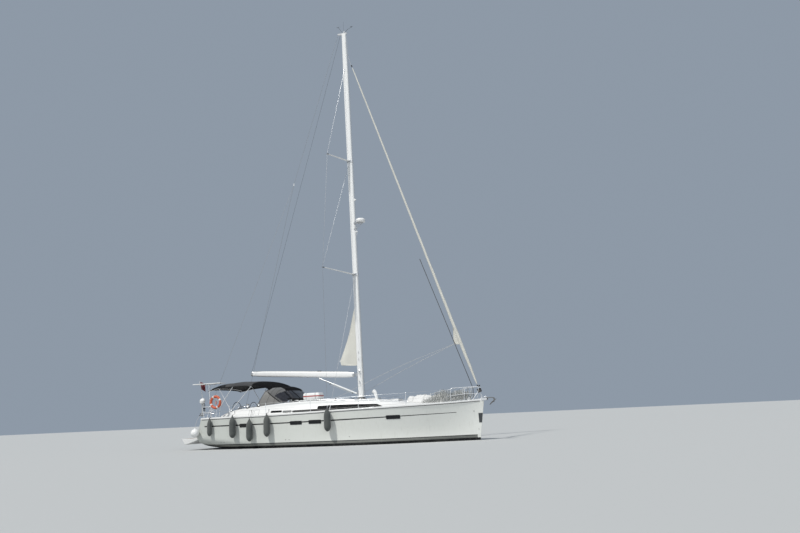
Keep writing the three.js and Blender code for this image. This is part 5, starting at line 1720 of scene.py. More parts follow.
makeLinkPanel()

print("mast and spars")
mastSize = {"foot": (1.105, 2.222), "rake": 0.0155, "top": 22.12, "deep": 0.145, "wide": 0.085}


def mastX(z):
    return mastSize["foot"][0] - (z - mastSize["foot"][1]) * mastSize["rake"]


def mastRing(z, size=1.0, count=40):
    section = []
    for i in range(count):
        a = 2 * math.pi * i / count
        deep = mastSize["deep"] * squared(math.cos(a), 0.86)
        wide = mastSize["wide"] * squared(math.sin(a), 0.86)
        section.append((mastX(z) + deep * size, wide * size, z))
    return section


def mastTaper(z):
    return 1.0 if z < 19.2 else 1.0 - 0.18 * (z - 19.2) / (mastSize["top"] - 19.2)


mastFittings = {
    "slot": (3.55, 12.0, 19.2, 21.9),
    "winch": 3.62,
    "cleats": (3.05, 4.2, 4.55),
    "steps": (2.95, 3.45),
    "hound": 20.85,
}


def makeMast():
    footZ = mastSize["foot"][1]
    zs = [footZ - 0.02] + [footZ + k * 0.83 for k in range(1, 24)] + [mastSize["top"]]
    tubeMesh = painted("tube", solid([mastRing(z, mastTaper(z)) for z in zs]), sparPaint)
    collar = painted("collar",
                     solid([mastRing(footZ - 0.03, 1.62), mastRing(footZ + 0.02, 1.60),
                            mastRing(footZ + 0.045, 1.30), mastRing(footZ + 0.075, 1.16)]), rubber)
    meshes = [tubeMesh, collar]
    slot = [(mastX(z) - mastSize["deep"] * mastTaper(z) * 0.985, 0.0, z) for z in mastFittings["slot"]]
    meshes.append(lines("slot",
                        [[(x, y - 0.008, z) for x, y, z in slot], [(x, y + 0.008, z) for x, y, z in slot]],
                        0.005, rubber, 6))
    meshes.append(lines("slotShadow", [slot], 0.006, rubber, 6))
    plates = []
    for z, thick in ((3.208, 0.014), (3.318, 0.014), (2.495, 0.012), (2.573, 0.012)):
        pin = 0.88 - (z - 3.27) * mastSize["rake"]
        plates.append(slab([(pin - 0.005, -0.036), (pin + 0.03, -0.045), (mastX(z) - 0.10, -0.07),
                            (mastX(z) - 0.10, 0.07), (pin + 0.03, 0.045), (pin - 0.005, 0.036),
                            (pin - 0.028, 0.02), (pin - 0.036, 0), (pin - 0.028, -0.02)], z, z + thick, "xy"))
    for low, high in ((3.15, 3.39), (2.43, 2.65)):
        z = (low + high) / 2
        plates.append(box((mastX(z) - 0.158, mastX(z) - 0.10), (-0.062, 0.062), (low, high)))
    meshes.append(painted("gooseneck", plates, sparAlloy))
    # Winches and cleats low on the mast
    for side in (-1, 1):
        base = (mastX(3.6), side * 0.080, mastFittings["winch"])
        meshes.append(painted("winch",
                              turned([(0.055, 0), (0.057, 0.02), (0.040, 0.03), (0.036, 0.07), (0.046, 0.09),
                                      (0.046, 0.10), (0.018, 0.105)], base, (0, side, 0), 24), stainless))
        for z in mastFittings["cleats"]:
            cleat = tube([(mastX(z), side * 0.105, z - 0.07), (mastX(z), side * 0.112, z),
                          (mastX(z), side * 0.105, z + 0.07)], [0.006, 0.011, 0.006], 8)
            post = box((mastX(z) - 0.012, mastX(z) + 0.012), sorted((side * 0.082, side * 0.108)),
                       (z - 0.02, z + 0.02))
            meshes.append(painted("cleat", [cleat, post], sparAlloy))
    steps = []
    for z in mastFittings["steps"]:
        for side in (-1, 1):
            steps.append(tube(roundedPath([(mastX(z), side * 0.083, z), (mastX(z), side * 0.20, z),
                                           (mastX(z), side * 0.20, z + 0.13),
                                           (mastX(z), side * 0.083, z + 0.17)], 0.03), 0.008, 8))
    meshes.append(painted("steps", steps, sparAlloy))
    # Masthead: crane, sheaves and forestay fitting
    top = mastSize["top"]
    x = mastX(top)
    crane = slab([(x + 0.02, top - 0.09), (x + 0.16, top - 0.05), (x + 0.20, top + 0.02),
                  (x + 0.12, top + 0.05), (0.47, top + 0.062), (0.43, top + 0.045), (0.425, top - 0.002),
                  (0.47, top - 0.012)], -0.03, 0.03)
    sheaves = joined([turned([(0.052, 0), (0.045, 0.012), (0.052, 0.024)], (sx, -0.012, top + 0.002),
                             (0, 1, 0), 24) for sx in (x - 0.16, x + 0.13)])
    meshes += [painted("crane", crane, sparAlloy), painted("sheaves", sheaves, blackPlastic)]
    z = mastFittings["hound"]
    hound = box((mastX(z) + 0.10, mastX(z) + 0.165), (-0.03, 0.03), (z - 0.05, z + 0.05))
    meshes.append(painted("hound", hound, sparAlloy))
    addPiece("mastTube", meshes, sparPaint, stands=["mast"], angle=40)


makeMast()


# Spreaders with collars and tip boots
spreaderRows = [("lower", 8.59, 2.09), ("upper", 14.74, 1.49)]
sweep, dihedral = math.radians(26), math.radians(6)


def spreaderTip(z, length, side):
    return Vector((mastX(z) - length * math.sin(sweep) * math.cos(dihedral),
                   side * length * math.cos(sweep) * math.cos(dihedral), z + length * math.sin(dihedral)))


def foilSection(p, chord, thick, count=16):
    section = []
    for i in range(count):
        a = 2 * math.pi * i / count
        section.append((p[0] + chord * math.cos(a), p[1],
                        p[2] + thick * math.sin(a) * (1 - 0.25 * math.cos(a))))
    return section


def makeSpreaders():
    for name, z, length in spreaderRows:
        meshes = []
        size = mastTaper(z)
        collar = surface([mastRing(z - 0.055, 1.02 * size), mastRing(z - 0.055, 1.24 * size),
                          mastRing(z + 0.055, 1.24 * size), mastRing(z + 0.055, 1.02 * size),
                          mastRing(z - 0.055, 1.02 * size)], closed=True)
        meshes.append(painted("collar", collar, sparAlloy))
        for side in (-1, 1):
            root = Vector((mastX(z) - 0.02, side * 0.085, z))
            tip = spreaderTip(z, length, side)
            rows = [foilSection(root.lerp(tip, t), 0.085 + (0.046 - 0.085) * t, 0.022 + (0.015 - 0.022) * t)
                    for t in (k / 6 for k in range(7))]
            if side > 0:
                rows = [list(reversed(row)) for row in rows]
            meshes.append(painted("arm", solid(rows), sparPaint))
            cap = [foilSection(root.lerp(tip, t), 0.052, 0.021) for t in (0.965, 0.985, 1.004)]
            meshes.append(painted("boot", solid(cap), blackPlastic))
            bracket = [foilSection(root.lerp(tip, t), 0.096, 0.030) for t in (0.0, 0.02, 0.045)]
            meshes.append(painted("bracket", solid(bracket), sparAlloy))
        addPiece("spreaderPair_" + name, meshes, sparPaint,
                 stands=["spreaders_" + name], angle=40)


makeSpreaders()


# Standing rigging: wires with swages and turnbuckles
def turnbuckle(low, high, radius=0.012):
    along = (high - low).normalized()
    length = (high - low).length
    parts = [turned([(0.005, 0), (0.006, 0.02), (radius, 0.05), (radius, length * 0.30),
                     (0.007, length * 0.32), (0.007, length * 0.38), (radius, length * 0.40),
                     (radius, length * 0.70), (0.007, length * 0.72), (0.006, length)], low, along, 12)]
    fork = ellipsoid(low, (0.014, 0.014, 0.018), 10, 6)
    return joined(parts + [fork])


shroudLook = {"foot": (0.26, 2.11), "apart": 0.12, "screw": 0.42, "wire": 0.0065,
              "tops": (19.95, 8.46, 14.61)}


def makeShrouds():
    for name, side in bothSides:
        lower, upper = [spreaderTip(z, length + 0.014, side) for _, z, length in spreaderRows]
        footX, out = shroudLook["foot"]
        capZ, lowZ, diagonalZ = shroudLook["tops"]
        foot = Vector((footX, side * out, deckTop(footX, out)))
        top = Vector((mastX(capZ) - 0.03, side * 0.087, capZ))
        capFoot = foot + Vector((0, 0, 0.05))
        lowFoot = foot + Vector((shroudLook["apart"], 0, 0.05))
        lowTop = Vector((mastX(lowZ) - 0.02, side * 0.088, lowZ))
        diagonalTop = Vector((mastX(diagonalZ) - 0.02, side * 0.088, diagonalZ))
        screws = []
        wires = []
        for start, end in ((capFoot, lower), (lowFoot, lowTop)):
            along = (end - start).normalized()
            screws.append(turnbuckle(start, start + along * shroudLook["screw"]))
            wires.append([start + along * shroudLook["screw"], end])
        wires.append([lower, upper, top])
        wires.append([lower + Vector((0, 0, 0.03)), diagonalTop])
        meshes = [lines("wires", wires, shroudLook["wire"], wireFinish, 8),
                  painted("screws", screws, stainless)]
        plates = []
        for x in (footX, footX + shroudLook["apart"]):
            plates.append(slab([(x - 0.022, -0.02), (x + 0.022, -0.02), (x + 0.022, 0.055),
                                (x + 0.012, 0.075), (x - 0.012, 0.075), (x - 0.022, 0.055)],
                               side * out - 0.005, side * out + 0.005))
        plates = [moved(plate, (0, 0, foot.z)) for plate in plates]
        plates.append(box((0.20, 0.44), sorted((side * 2.08, side * 2.14)), (foot.z - 0.01, foot.z + 0.006)))
        meshes.append(painted("chainplates", plates, stainless))
        swages = [turned([(0.006, 0), (0.011, 0.02), (0.011, 0.14), (0.007, 0.16)], end, direction, 10)
                  for end, direction in ((top, upper - top), (lowTop, lowFoot - lowTop),
                                         (diagonalTop, lower - diagonalTop))]
        meshes.append(painted("swages", swages, stainless))
        tangs = [box((p.x - 0.02, p.x + 0.05), sorted((side * 0.070, side * 0.098)), (p.z - 0.05, p.z + 0.05))
                 for p in (top, lowTop, diagonalTop)]
        meshes.append(painted("tangs", tangs, stainless))
        addPiece("shroudSet_" + name, meshes, wireFinish,
                 stands=["shrouds_" + name], angle=40)


backstayLook = {"split": (-2.53, 0, 13.98), "foot": (-7.0, 1.72), "screw": 0.50, "wire": 0.0068}


def makeBackstay():
    crane = Vector((0.444, 0, mastSize["top"] - 0.008))
    split = Vector(backstayLook["split"])
    wires = [[crane, split]]
    meshes = []
    for side in (-1, 1):
        footX, out = backstayLook["foot"]
        foot = Vector((footX, side * out, deckTop(footX, out) + 0.06))
        along = (split - foot).normalized()
        meshes.append(painted("screw", turnbuckle(foot, foot + along * backstayLook["screw"], 0.014),
                              stainless))
        wires.append([foot + along * backstayLook["screw"], split])
        plate = slab([(-7.025, -0.07), (-6.975, -0.07), (-6.975, 0.01), (-6.99, 0.025), (-7.01, 0.025),
                      (-7.025, 0.01)], side * out - 0.006, side * out + 0.006)
        meshes.append(painted("plate", moved(plate, (0, 0, foot.z)), stainless))
    meshes.append(lines("wires", wires, backstayLook["wire"], wireFinish, 8))
    node = slab([(-2.56, 13.91), (-2.50, 13.91), (-2.485, 14.03), (-2.51, 14.07), (-2.545, 14.05)], -0.02,
                0.02)
    meshes.append(painted("splitPlate", node, stainless))
    addPiece("backstayWires", meshes, wireFinish, stands=["backstay"], angle=40)


makeShrouds()
makeBackstay()

# Furled genoa: cloth rolled round the foil in a slow spiral, its clew standing out with the sheets
forestayTop = Vector((mastX(20.85) + 0.151, 0, 20.85))
forestayFoot = Vector((7.40, 0, 2.06))


def forestayAt(z):
    return forestayFoot.lerp(forestayTop, (z - forestayFoot.z) / (forestayTop.z - forestayFoot.z))


sailcloth = newCloth("sailcloth", (0.56, 0.555, 0.505), 0.004, contrast=0.12, roughness=0.8, amount=0.35,
                     grime=(0.42, 0.41, 0.38))
genoaLook = {
    "clew": 4.64,
    "radii": [(2.62, 0.020), (2.75, 0.040), (3.4, 0.060), (4.1, 0.074), (4.9, 0.078), (6.0, 0.068),
              (9.0, 0.056), (14.0, 0.046), (18.5, 0.036), (19.9, 0.026), (20.05, 0.016)],
    "turnsPerMetre": 0.62,
    "lap": 0.11,
    "around": 28,
    "step": 0.055,
}


def makeGenoa():
    along, first, second = sideFrame(forestayTop - forestayFoot)
    rows = []
    z = genoaLook["radii"][0][0]
    while z < 20.05:
        radius = valueAt(genoaLook["radii"], z)
        centre = forestayAt(z)
        turn = 2 * math.pi * genoaLook["turnsPerMetre"] * z
        row = []
        for k in range(genoaLook["around"]):
            a = 2 * math.pi * k / genoaLook["around"]
            lap = ((a - turn) / (2 * math.pi)) % 1.0
            edge = min(lap / 0.06, 1.0)
            bulk = 1 + genoaLook["lap"] * (1 - lap) * edge - 0.03
            bulk += 0.05 * noise.noise(Vector((math.cos(a) * 1.2, math.sin(a) * 1.2, z * 2.3)))
            row.append(centre + (first * math.cos(a) + second * math.sin(a)) * radius * bulk)
        rows.append(row)
        z += genoaLook["step"]
    meshes = [painted("roll", solid(rows), sailcloth)]
    meshes.append(lines("foil", [[forestayAt(2.42), forestayAt(20.83)]], 0.011, sparAlloy, 10))
    swivel = turned([(0.014, 0), (0.030, 0.01), (0.030, 0.055), (0.018, 0.06), (0.018, 0.075), (0.032, 0.08),
                     (0.032, 0.12), (0.014, 0.13)], forestayAt(20.07), along, 20)
    tack = turned([(0.014, 0), (0.028, 0.01), (0.028, 0.07), (0.014, 0.08)], forestayAt(2.50), along, 18)
    meshes.append(painted("swivels", [swivel, tack], blackPlastic))
    # Clew patch: a folded triangle that hugs the roll
    clew = forestayAt(genoaLook["clew"])
    folds = []
    for layer in range(3):
        rows = []
        for i in range(13):
            t = i / 12
            up = -0.07 + 0.82 * t
            reach = 0.31 * min(max(1 - t, 0.02) ** 0.85, 0.6 + 5 * t)
            row = []
            for k in range(9):
                s = k / 8
                wave = 0.016 * math.sin(7 * s + 4 * t + layer * 2)
                away = Vector((-0.050 - reach * s, -0.035 + 0.030 * layer + wave - 0.02 * s, 0))
                row.append(forestayAt(genoaLook["clew"] + up) + away)
            rows.append(row)
        folds.append(thickened(rows, 0.006))
    meshes.append(painted("clew", folds, sailcloth))
    eye = clew + Vector((-0.335, -0.01, -0.045))
    meshes.append(painted("clewRing", ring(eye, (0, 1, 0), 0.020, 0.007, 24, 8), stainless))
    whole = merged("furledGenoa", meshes)
    uvSheet(whole, 2, 1)
    addPiece("furledGenoa", whole, sailcloth, stands=["furled_genoa"], angle=50)
    return eye


clewEye = makeGenoa()
rope = newCloth("whiteRope", (0.55, 0.54, 0.51), 0.006, contrast=0.35, roughness=0.85, amount=0.3,
                grime=(0.3, 0.3, 0.28))
darkRope = newCloth("darkRope", (0.05, 0.055, 0.065), 0.006, contrast=0.3, roughness=0.85, amount=0.3,
                    grime=(0.14, 0.14, 0.14))


def makeDrum():
    along = (forestayTop - forestayFoot).normalized()
    base = forestayAt(2.225)
    drum = turned([(0.030, 0), (0.100, 0.004), (0.105, 0.014), (0.100, 0.026), (0.060, 0.034), (0.055, 0.05),
                   (0.098, 0.042), (0.099, 0.140), (0.062, 0.150), (0.100, 0.156), (0.105, 0.168),
                   (0.100, 0.178), (0.030, 0.182)], base, along, 36)
    cage = []
    for k in range(6):
        a = 2 * math.pi * k / 6
        _, first, second = sideFrame(along)
        out = (first * math.cos(a) + second * math.sin(a)) * 0.098
        cage.append(tube([base + along * 0.02 + out, base + along * 0.16 + out], 0.006, 8))
    line = [base + along * (0.052 + 0.078 * k / 150)
            + (sideFrame(along)[1] * math.cos(k * 0.42) + sideFrame(along)[2] * math.sin(k * 0.42))
            * (0.064 + 0.006 * math.sin(k * 1.7)) for k in range(151)]
    meshes = [painted("drum", drum, blackPlastic), painted("cage", cage, blackPlastic),
              lines("furlingLine", [line], 0.005, darkRope, 6)]
    screw = turnbuckle(forestayAt(1.99), base + along * 0.01, 0.017)
    plate = slab([(7.342, 1.80), (7.448, 1.80), (7.44, 1.99), (7.425, 2.015), (7.39, 2.02), (7.365, 1.99)],
                 -0.012, 0.012)
    meshes += [painted("screw", screw, stainless), painted("stemPlate", plate, stainless)]
    addPiece("furlerDrum", meshes, blackPlastic, stands=["furler_drum"], angle=40)


makeDrum()

print("boom, kicker, mast gear")
boomEnds = (Vector((0.787, 0, 3.442)), Vector((-5.38, 0, 3.85)))
gooseneck = Vector((0.877, 0, 3.45))
kickerEnds = (Vector((0.892, 0, 2.48)), Vector((-1.30, 0, 3.392)))


def makeBoom():
    start, end = boomEnds
    along = (end - start).normalized()
    up = Vector((0, 1, 0)).cross(along) * -1
    up = up if up.z > 0 else -up
    length = (end - start).length

    def section(distance, wide, deep, count=36):
        centre = start + along * distance
        row = []
        for i in range(count):
            a = 2 * math.pi * i / count
            across = wide * squared(math.cos(a), 0.8)
            high = deep * squared(math.sin(a), 0.8)
            row.append(centre + Vector((0, 1, 0)) * across + up * high)
        return row

    rows = [section(d, w, h) for d, w, h in ((0.10, 0.060, 0.121), (0.45, 0.069, 0.148), (0.9, 0.071, 0.153),
                                             (length * 0.5, 0.0715, 0.154), (length * 0.86, 0.069, 0.148),
                                             (length - 0.12, 0.056, 0.121))]
    meshes = [painted("tube", solid(rows), sparPaint)]
    caps = [solid([section(0.02, 0.050, 0.10), section(0.035, 0.058, 0.119), section(0.104, 0.062, 0.124),
                     section(0.115, 0.060, 0.121)]),
            solid([section(length - 0.13, 0.057, 0.122), section(length - 0.12, 0.060, 0.126),
                     section(length - 0.03, 0.056, 0.117), section(length - 0.002, 0.045, 0.098)])]
    meshes.append(painted("caps", caps, sparAlloy))
    # Tracks along the top, the outhaul car and its line
    rail = [start + along * d + up * (between([(0.2, 0.129), (0.9, 0.155), (length * 0.5, 0.1565),
                                               (length * 0.86, 0.150), (length - 0.2, 0.127)], d, 1))
            for d in (0.2 + (length - 0.4) * k / 24 for k in range(25))]
    meshes.append(lines("track", [[p + Vector((0, y, 0)) for p in rail] for y in (-0.014, 0.014)], 0.006,
                        rubber, 6))
    car = start + along * (length * 0.33) + up * 0.158
    meshes.append(painted("car",
                          box((car.x - 0.10, car.x + 0.10), (-0.028, 0.028), (car.z - 0.012, car.z + 0.030)),
                          blackPlastic))
    lanes = [[start + along * (length - 0.06) + up * 0.118 + Vector((0, 0.02, 0)),
              start + along * (length * 0.7) + up * 0.166 + Vector((0, 0.02, 0)), car + up * 0.012]]
    meshes.append(lines("outhaul", lanes, 0.006, rope, 6))
    # Hangers below for the sheet and the kicker, and rivets at the ends
    hangers = []
    for d in (length * 0.44, length * 0.50, length * 0.355):
        under = start + along * d - up * 0.150
        hangers.append(slab([(under.x - 0.06, under.z + 0.02), (under.x + 0.06, under.z + 0.02),
                             (under.x + 0.02, under.z - 0.035), (under.x, under.z - 0.045),
                             (under.x - 0.02, under.z - 0.035)], -0.010, 0.010))
    meshes.append(painted("hangers", hangers, sparAlloy))
    meshes.append(painted("rivets",
                          [turned([(0.009, 0), (0.009, 0.003), (0.004, 0.005)],
                                  start + along * d + up * h + Vector((0, side * w, 0)), (0, side, 0), 10)
                           for side in (-1, 1) for d, w in ((0.13, 0.0575), (length - 0.15, 0.0565))
                           for h in (-0.05, 0.0, 0.05)], sparAlloy))
    # Gooseneck pin with its toggle
    low = gooseneck + Vector((mastSize["rake"] * 0.06, 0, -0.056))
    high = gooseneck + Vector((-mastSize["rake"] * 0.06, 0, 0.056))
    pin = turned([(0.016, -0.030), (0.016, 0), (0.026, 0.002), (0.026, 0.096), (0.018, 0.098), (0.018, 0.135),
                  (0.022, 0.137), (0.022, 0.145)], low + Vector((0, 0, 0.008)), high - low, 24)
    lug = box((start.x + 0.005, gooseneck.x - 0.005), (-0.022, 0.022),
              (gooseneck.z - 0.038, gooseneck.z + 0.038))
    meshes.append(painted("gooseneckPin", [pin, lug], sparAlloy))
    addPiece("boomSpar", meshes, sparPaint, body="boom", stands=["boom"], angle=40)


def makeKicker():
    start, end = kickerEnds
    along = (end - start).normalized()
    length = (end - start).length
    outer = turned([(0.010, 0.02), (0.034, 0.03), (0.042, 0.05), (0.042, length * 0.60),
                    (0.044, length * 0.605), (0.044, length * 0.625), (0.031, length * 0.63)], start, along,
                   28)
    inner = turned([(0.030, length * 0.62), (0.030, length - 0.06), (0.018, length - 0.05)], start, along, 24)
    fork = turned([(0.020, length - 0.055), (0.027, length - 0.05), (0.027, length - 0.01),
                   (0.012, length + 0.002)], start, along, 20)
    pin = turned([(0.013, -0.050), (0.018, -0.048), (0.018, 0.048), (0.013, 0.050)], start,
                 (mastSize["rake"], 0, -1), 18)
    blocks = []
    for near in (0.30, length * 0.70):
        spot = start + along * near - Vector((0, 0, 0.062))
        blocks.append(turned([(0.022, -0.018), (0.028, -0.016), (0.028, 0.016), (0.022, 0.018)], spot,
                             (0, 1, 0), 20))
    falls = []
    for y in (-0.012, 0.0, 0.012):
        falls.append([start + along * 0.30 + Vector((0, y, -0.088)),
                      start + along * (length * 0.70) + Vector((0, y, -0.088))])
    meshes = [painted("outer", outer, sparPaint), painted("inner", inner, sparAlloy),
              painted("forks", [fork, pin], sparAlloy), painted("blocks", blocks, blackPlastic),
              lines("falls", falls, 0.005, rope, 6)]
    addPiece("kickerStrut", meshes, sparPaint, body="boom", stands=["kicker"], angle=40)


makeBoom()
makeKicker()


# The topping lift turns with the boom about the line of the gooseneck
def makeToppingLift():
    top = Vector((0.59, 0, 22.075))
    end = boomEnds[1] + Vector((0.05, 0, 0.115))
    mesh = lines("toppingLift", [[top, end]], 0.0055, darkRope, 8)
    addPiece("toppingLift", mesh, darkRope, body="boom")


makeToppingLift()


# The part of the in-mast mainsail that stands out of the slot
def makeClewSail():
    def slotX(z):
        return mastX(z) - 0.149

    top, tip, foot = Vector((slotX(6.85), 0, 6.85)), Vector((-0.01, 0, 4.19)), Vector((slotX(3.9), 0, 3.9))
    lower = Vector((0.13, 0, 3.95))
    edge = curveThrough([top, Vector((0.55, 0, 5.62)), Vector((0.17, 0, 4.62)), tip], 8)
    rows = []
    for i, p in enumerate(edge + curveThrough([tip, Vector((0.03, 0, 4.05)), lower,
                                               foot + Vector((-0.03, 0, 0))], 4)[1:]):
        z = p.z
        row = []
        for k in range(13):
            s = k / 12
            anchor = Vector((slotX(z) + 0.004, 0, z))
            q = anchor.lerp(p, s)
            wave = 0.030 * math.sin(2.2 * z + 3.0 * s) + 0.016 * math.sin(7 * s + 1.3 * z)
            q.y += wave * math.sin(math.pi * min(s * 0.62, 1)) * min((6.9 - z) * 0.8, 1)
            row.append(q)
        rows.append(row)
    mesh = painted("sail", thickened(rows, 0.004), sailcloth)
    patches = []
    spot = rows[len(edge) - 1][-1]
    for radius, depth in ((0.19, 0.005), (0.12, 0.007)):
        fan = []
        for i in range(7):
            a = math.radians(-8 + 78 * i / 6)
            row = []
            for t in (k / 4 for k in range(1, 5)):
                y = -depth - 0.004 + 0.010 * math.sin(3 * t)
                row.append(spot + Vector((radius * t * math.cos(a), y, radius * t * math.sin(a) - 0.02)))
            fan.append(row)
        patches.append(thickened(fan, 0.003))
    meshes = [mesh, painted("patches", patches, sailcloth)]
    leech = [row[-1] for row in rows]
    meshes.append(lines("leech", [leech], 0.007, sailcloth, 6))
    meshes.append(painted("clewBlock",
                          [turned([(0.026, -0.014), (0.034, -0.012), (0.034, 0.012), (0.026, 0.014)],
                                  spot + Vector((-0.010, 0, -0.02)), (0, 1, 0), 20),
                           ring(spot + Vector((0.035, 0, 0)), (0, 1, 0), 0.020, 0.006, 20, 6)], stainless))
    whole = merged("clewSail", meshes)
    uvSheet(whole, 0, 2)
    piece = addPiece("clewSail", whole, sailcloth, stands=["mainsail_clew"], angle=60)


makeClewSail()


radarLook = {
    "height": 11.43,
    "ahead": 0.445,
    "dome": [(0.06, -0.100), (0.205, -0.095), (0.238, -0.080), (0.246, -0.04), (0.25, 0.0), (0.249, 0.02),
             (0.238, 0.06), (0.205, 0.095), (0.150, 0.115), (0.080, 0.123), (0.02, 0.125)],
    "arms": 0.11,
}


def makeRadar():
    z = radarLook["height"]
    x = mastX(z) + radarLook["ahead"]
    dome = turned(radarLook["dome"], (x, 0, z), (0, 0, 1), 48)
    seam = ring((x, 0, z - 0.028), (0, 0, 1), 0.2485, 0.0035, 48, 6)
    foot = mastX(z) + 0.147
    arms = []
    for y in (-radarLook["arms"], radarLook["arms"]):
        arms.append(tube(roundedPath([(foot - 0.02, y * 0.55, z - 0.44), (x + 0.03, y, z - 0.125),
                                      (x + 0.09, y, z - 0.115)], 0.04), 0.013, 10))
        arms.append(tube([(foot - 0.03, y * 0.55, z - 0.12), (x + 0.08, y, z - 0.112)], 0.013, 10))
    plate = box((x - 0.12, x + 0.10), (-0.13, 0.13), (z - 0.118, z - 0.099))
    pads = [box((foot - 0.06, foot - 0.015), (-0.075, 0.075), (z + d - 0.05, z + d + 0.05))
            for d in (-0.44, -0.12)]
    meshes = [painted("dome", dome, whiteShell), painted("seam", seam, blackPlastic),
              painted("bracket", arms + [plate] + pads, sparAlloy)]
    addPiece("radarDome", meshes, whiteShell, stands=["radar"], angle=45)


makeRadar()


# Lights, aerials, wind instruments and halyards on the mast
def makeMastGear():
    meshes = []
    top = mastSize["top"] + 0.02
    x = mastX(mastSize["top"])
    meshes.append(lines("aerials", [[(x - 0.02, 0.05, top), (x - 0.02, 0.05, 22.86)]], 0.0035, blackPlastic,
                        6))
    wands = [
        curveThrough([(0.72, 0.03, top + 0.02), (0.60, 0.035, top + 0.24), (0.46, 0.04, top + 0.45)], 6),
        curveThrough([(0.86, -0.03, top - 0.01), (1.05, -0.035, top + 0.17), (1.29, -0.04, top + 0.24)], 6),
    ]
    meshes.append(lines("wands", wands, 0.007, blackPlastic, 8))
    cups = []
    for k in range(3):
        a = 2 * math.pi * k / 3
        cups.append(ellipsoid((1.29 + 0.05 * math.cos(a), -0.04 + 0.05 * math.sin(a), top + 0.275),
                              (0.020, 0.020, 0.016), 10, 6))
        cups.append(tube([(1.29, -0.04, top + 0.275),
                          (1.29 + 0.05 * math.cos(a), -0.04 + 0.05 * math.sin(a), top + 0.275)], 0.003, 6))
    vane = slab([(0.36, top + 0.47), (0.40, top + 0.50), (0.40, top + 0.44)], 0.038, 0.042)
    arrow = tube([(0.36, 0.04, top + 0.47), (0.60, 0.04, top + 0.47)], 0.003, 6)
    hubs = [turned([(0.008, -0.03), (0.012, -0.02), (0.012, 0.02), (0.006, 0.03)], spot, (0, 0, 1), 12)
            for spot in ((1.29, -0.04, top + 0.27), (0.46, 0.04, top + 0.455))]
    meshes.append(painted("cups", cups + hubs + [vane, arrow], blackPlastic))
    light = turned([(0.028, 0), (0.030, 0.008), (0.030, 0.07), (0.024, 0.085), (0.006, 0.09)],
                   (x + 0.03, 0, top + 0.03), (0, 0, 1), 20)
    meshes.append(painted("anchorLight", light, whiteShell))
    # Steaming light and deck light on the front face
    for z, high in ((12.56, 0.10), (10.84, 0.07)):
        face = mastX(z) + 0.142
        body = joined([box((face - 0.01, face + 0.05), (-0.03, 0.03), (z - 0.01, z + high)),
                       turned([(0.026, 0), (0.030, 0.01), (0.030, 0.05), (0.02, 0.06)],
                              (face + 0.05, 0, z + high * 0.45), (1, 0, -0.4), 16)])
        meshes.append(painted("mastLight", body, whiteShell))
    guard = [[(mastX(10.7) + 0.142, y, 10.66), (mastX(10.7) + 0.21, y, 10.72), (mastX(10.7) + 0.21, y, 10.94),
              (mastX(10.7) + 0.142, y, 11.0)] for y in (-0.03, 0.03)]
    meshes.append(lines("lightGuard", guard, 0.004, stainless, 6))
    addPiece("mastGear", meshes, blackPlastic, angle=45)
    # Halyards down the front face to the foot of the mast
    halyards = []
    for y, z in ((-0.05, 21.6), (0.05, 19.6)):
        halyards.append([(mastX(z) + 0.10, y, z), (mastX(3.9) + 0.135, y * 1.05, 3.9),
                         (mastX(2.35) + 0.16, y * 1.8, 2.34)])
    spin = [[(mastX(21.95) + 0.16, 0.02, 21.95), (mastX(20.9) + 0.16, 0.05, 20.98),
             (mastX(12) + 0.15, 0.09, 12.0), (mastX(3.4) + 0.14, 0.10, 3.2)]]
    addPiece("halyards", lines("halyards", halyards + spin, 0.005, rope, 6), rope)


makeMastGear()

print("bow gear")
galvanised = newFinish("galvanised", (0.22, 0.225, 0.23), 0.5, 0.85, amount=0.4, grime=(0.16, 0.13, 0.10),
                       scale=8.0)
rollerZ = deckTop(7.3, 0) + 0.045


def makeRoller():
    z = rollerZ
    cheek = [(7.08, z - 0.045), (7.30, z - 0.058), (7.62, z - 0.055), (7.66, z - 0.040), (7.685, z - 0.01),
             (7.685, z + 0.03), (7.65, z + 0.055), (7.58, z + 0.060), (7.40, z + 0.035), (7.15, z + 0.030),
             (7.08, z + 0.01)]
    plates = [slab(cheek, low, high) for low, high in ((-0.095, -0.086), (0.086, 0.095))]
    tray = box((7.08, 7.56), (-0.09, 0.09), (z - 0.050, z - 0.040))
    loops = [tube(roundedPath([(7.60, y, z + 0.05), (7.66, y, z + 0.115), (7.52, y, z + 0.115),
                               (7.50, y, z + 0.045)], 0.02), 0.006, 8) for y in (-0.0905, 0.0905)]
    roll = turned([(0.036, -0.075), (0.037, -0.055), (0.022, -0.012), (0.022, 0.012), (0.037, 0.055),
                   (0.036, 0.075)], (7.65, 0, z), (0, 1, 0), 32)
    pins = [turned([(0.014, -0.104), (0.008, -0.1), (0.008, 0.1), (0.014, 0.104)], (x, 0, h), (0, 1, 0), 14)
            for x, h in ((7.65, z), (7.60, z + 0.048))]
    meshes = [painted("cheeks", plates + [tray] + loops + pins, stainless), painted("roll", roll, rubber)]
    addPiece("bowRoller", meshes, stainless, stands=["bow_roller"], angle=40)


anchorLook = {"tip": (8.125, 0.015), "tail": (7.785, 0.285), "half": 0.150, "curl": 0.055, "link": 0.030}


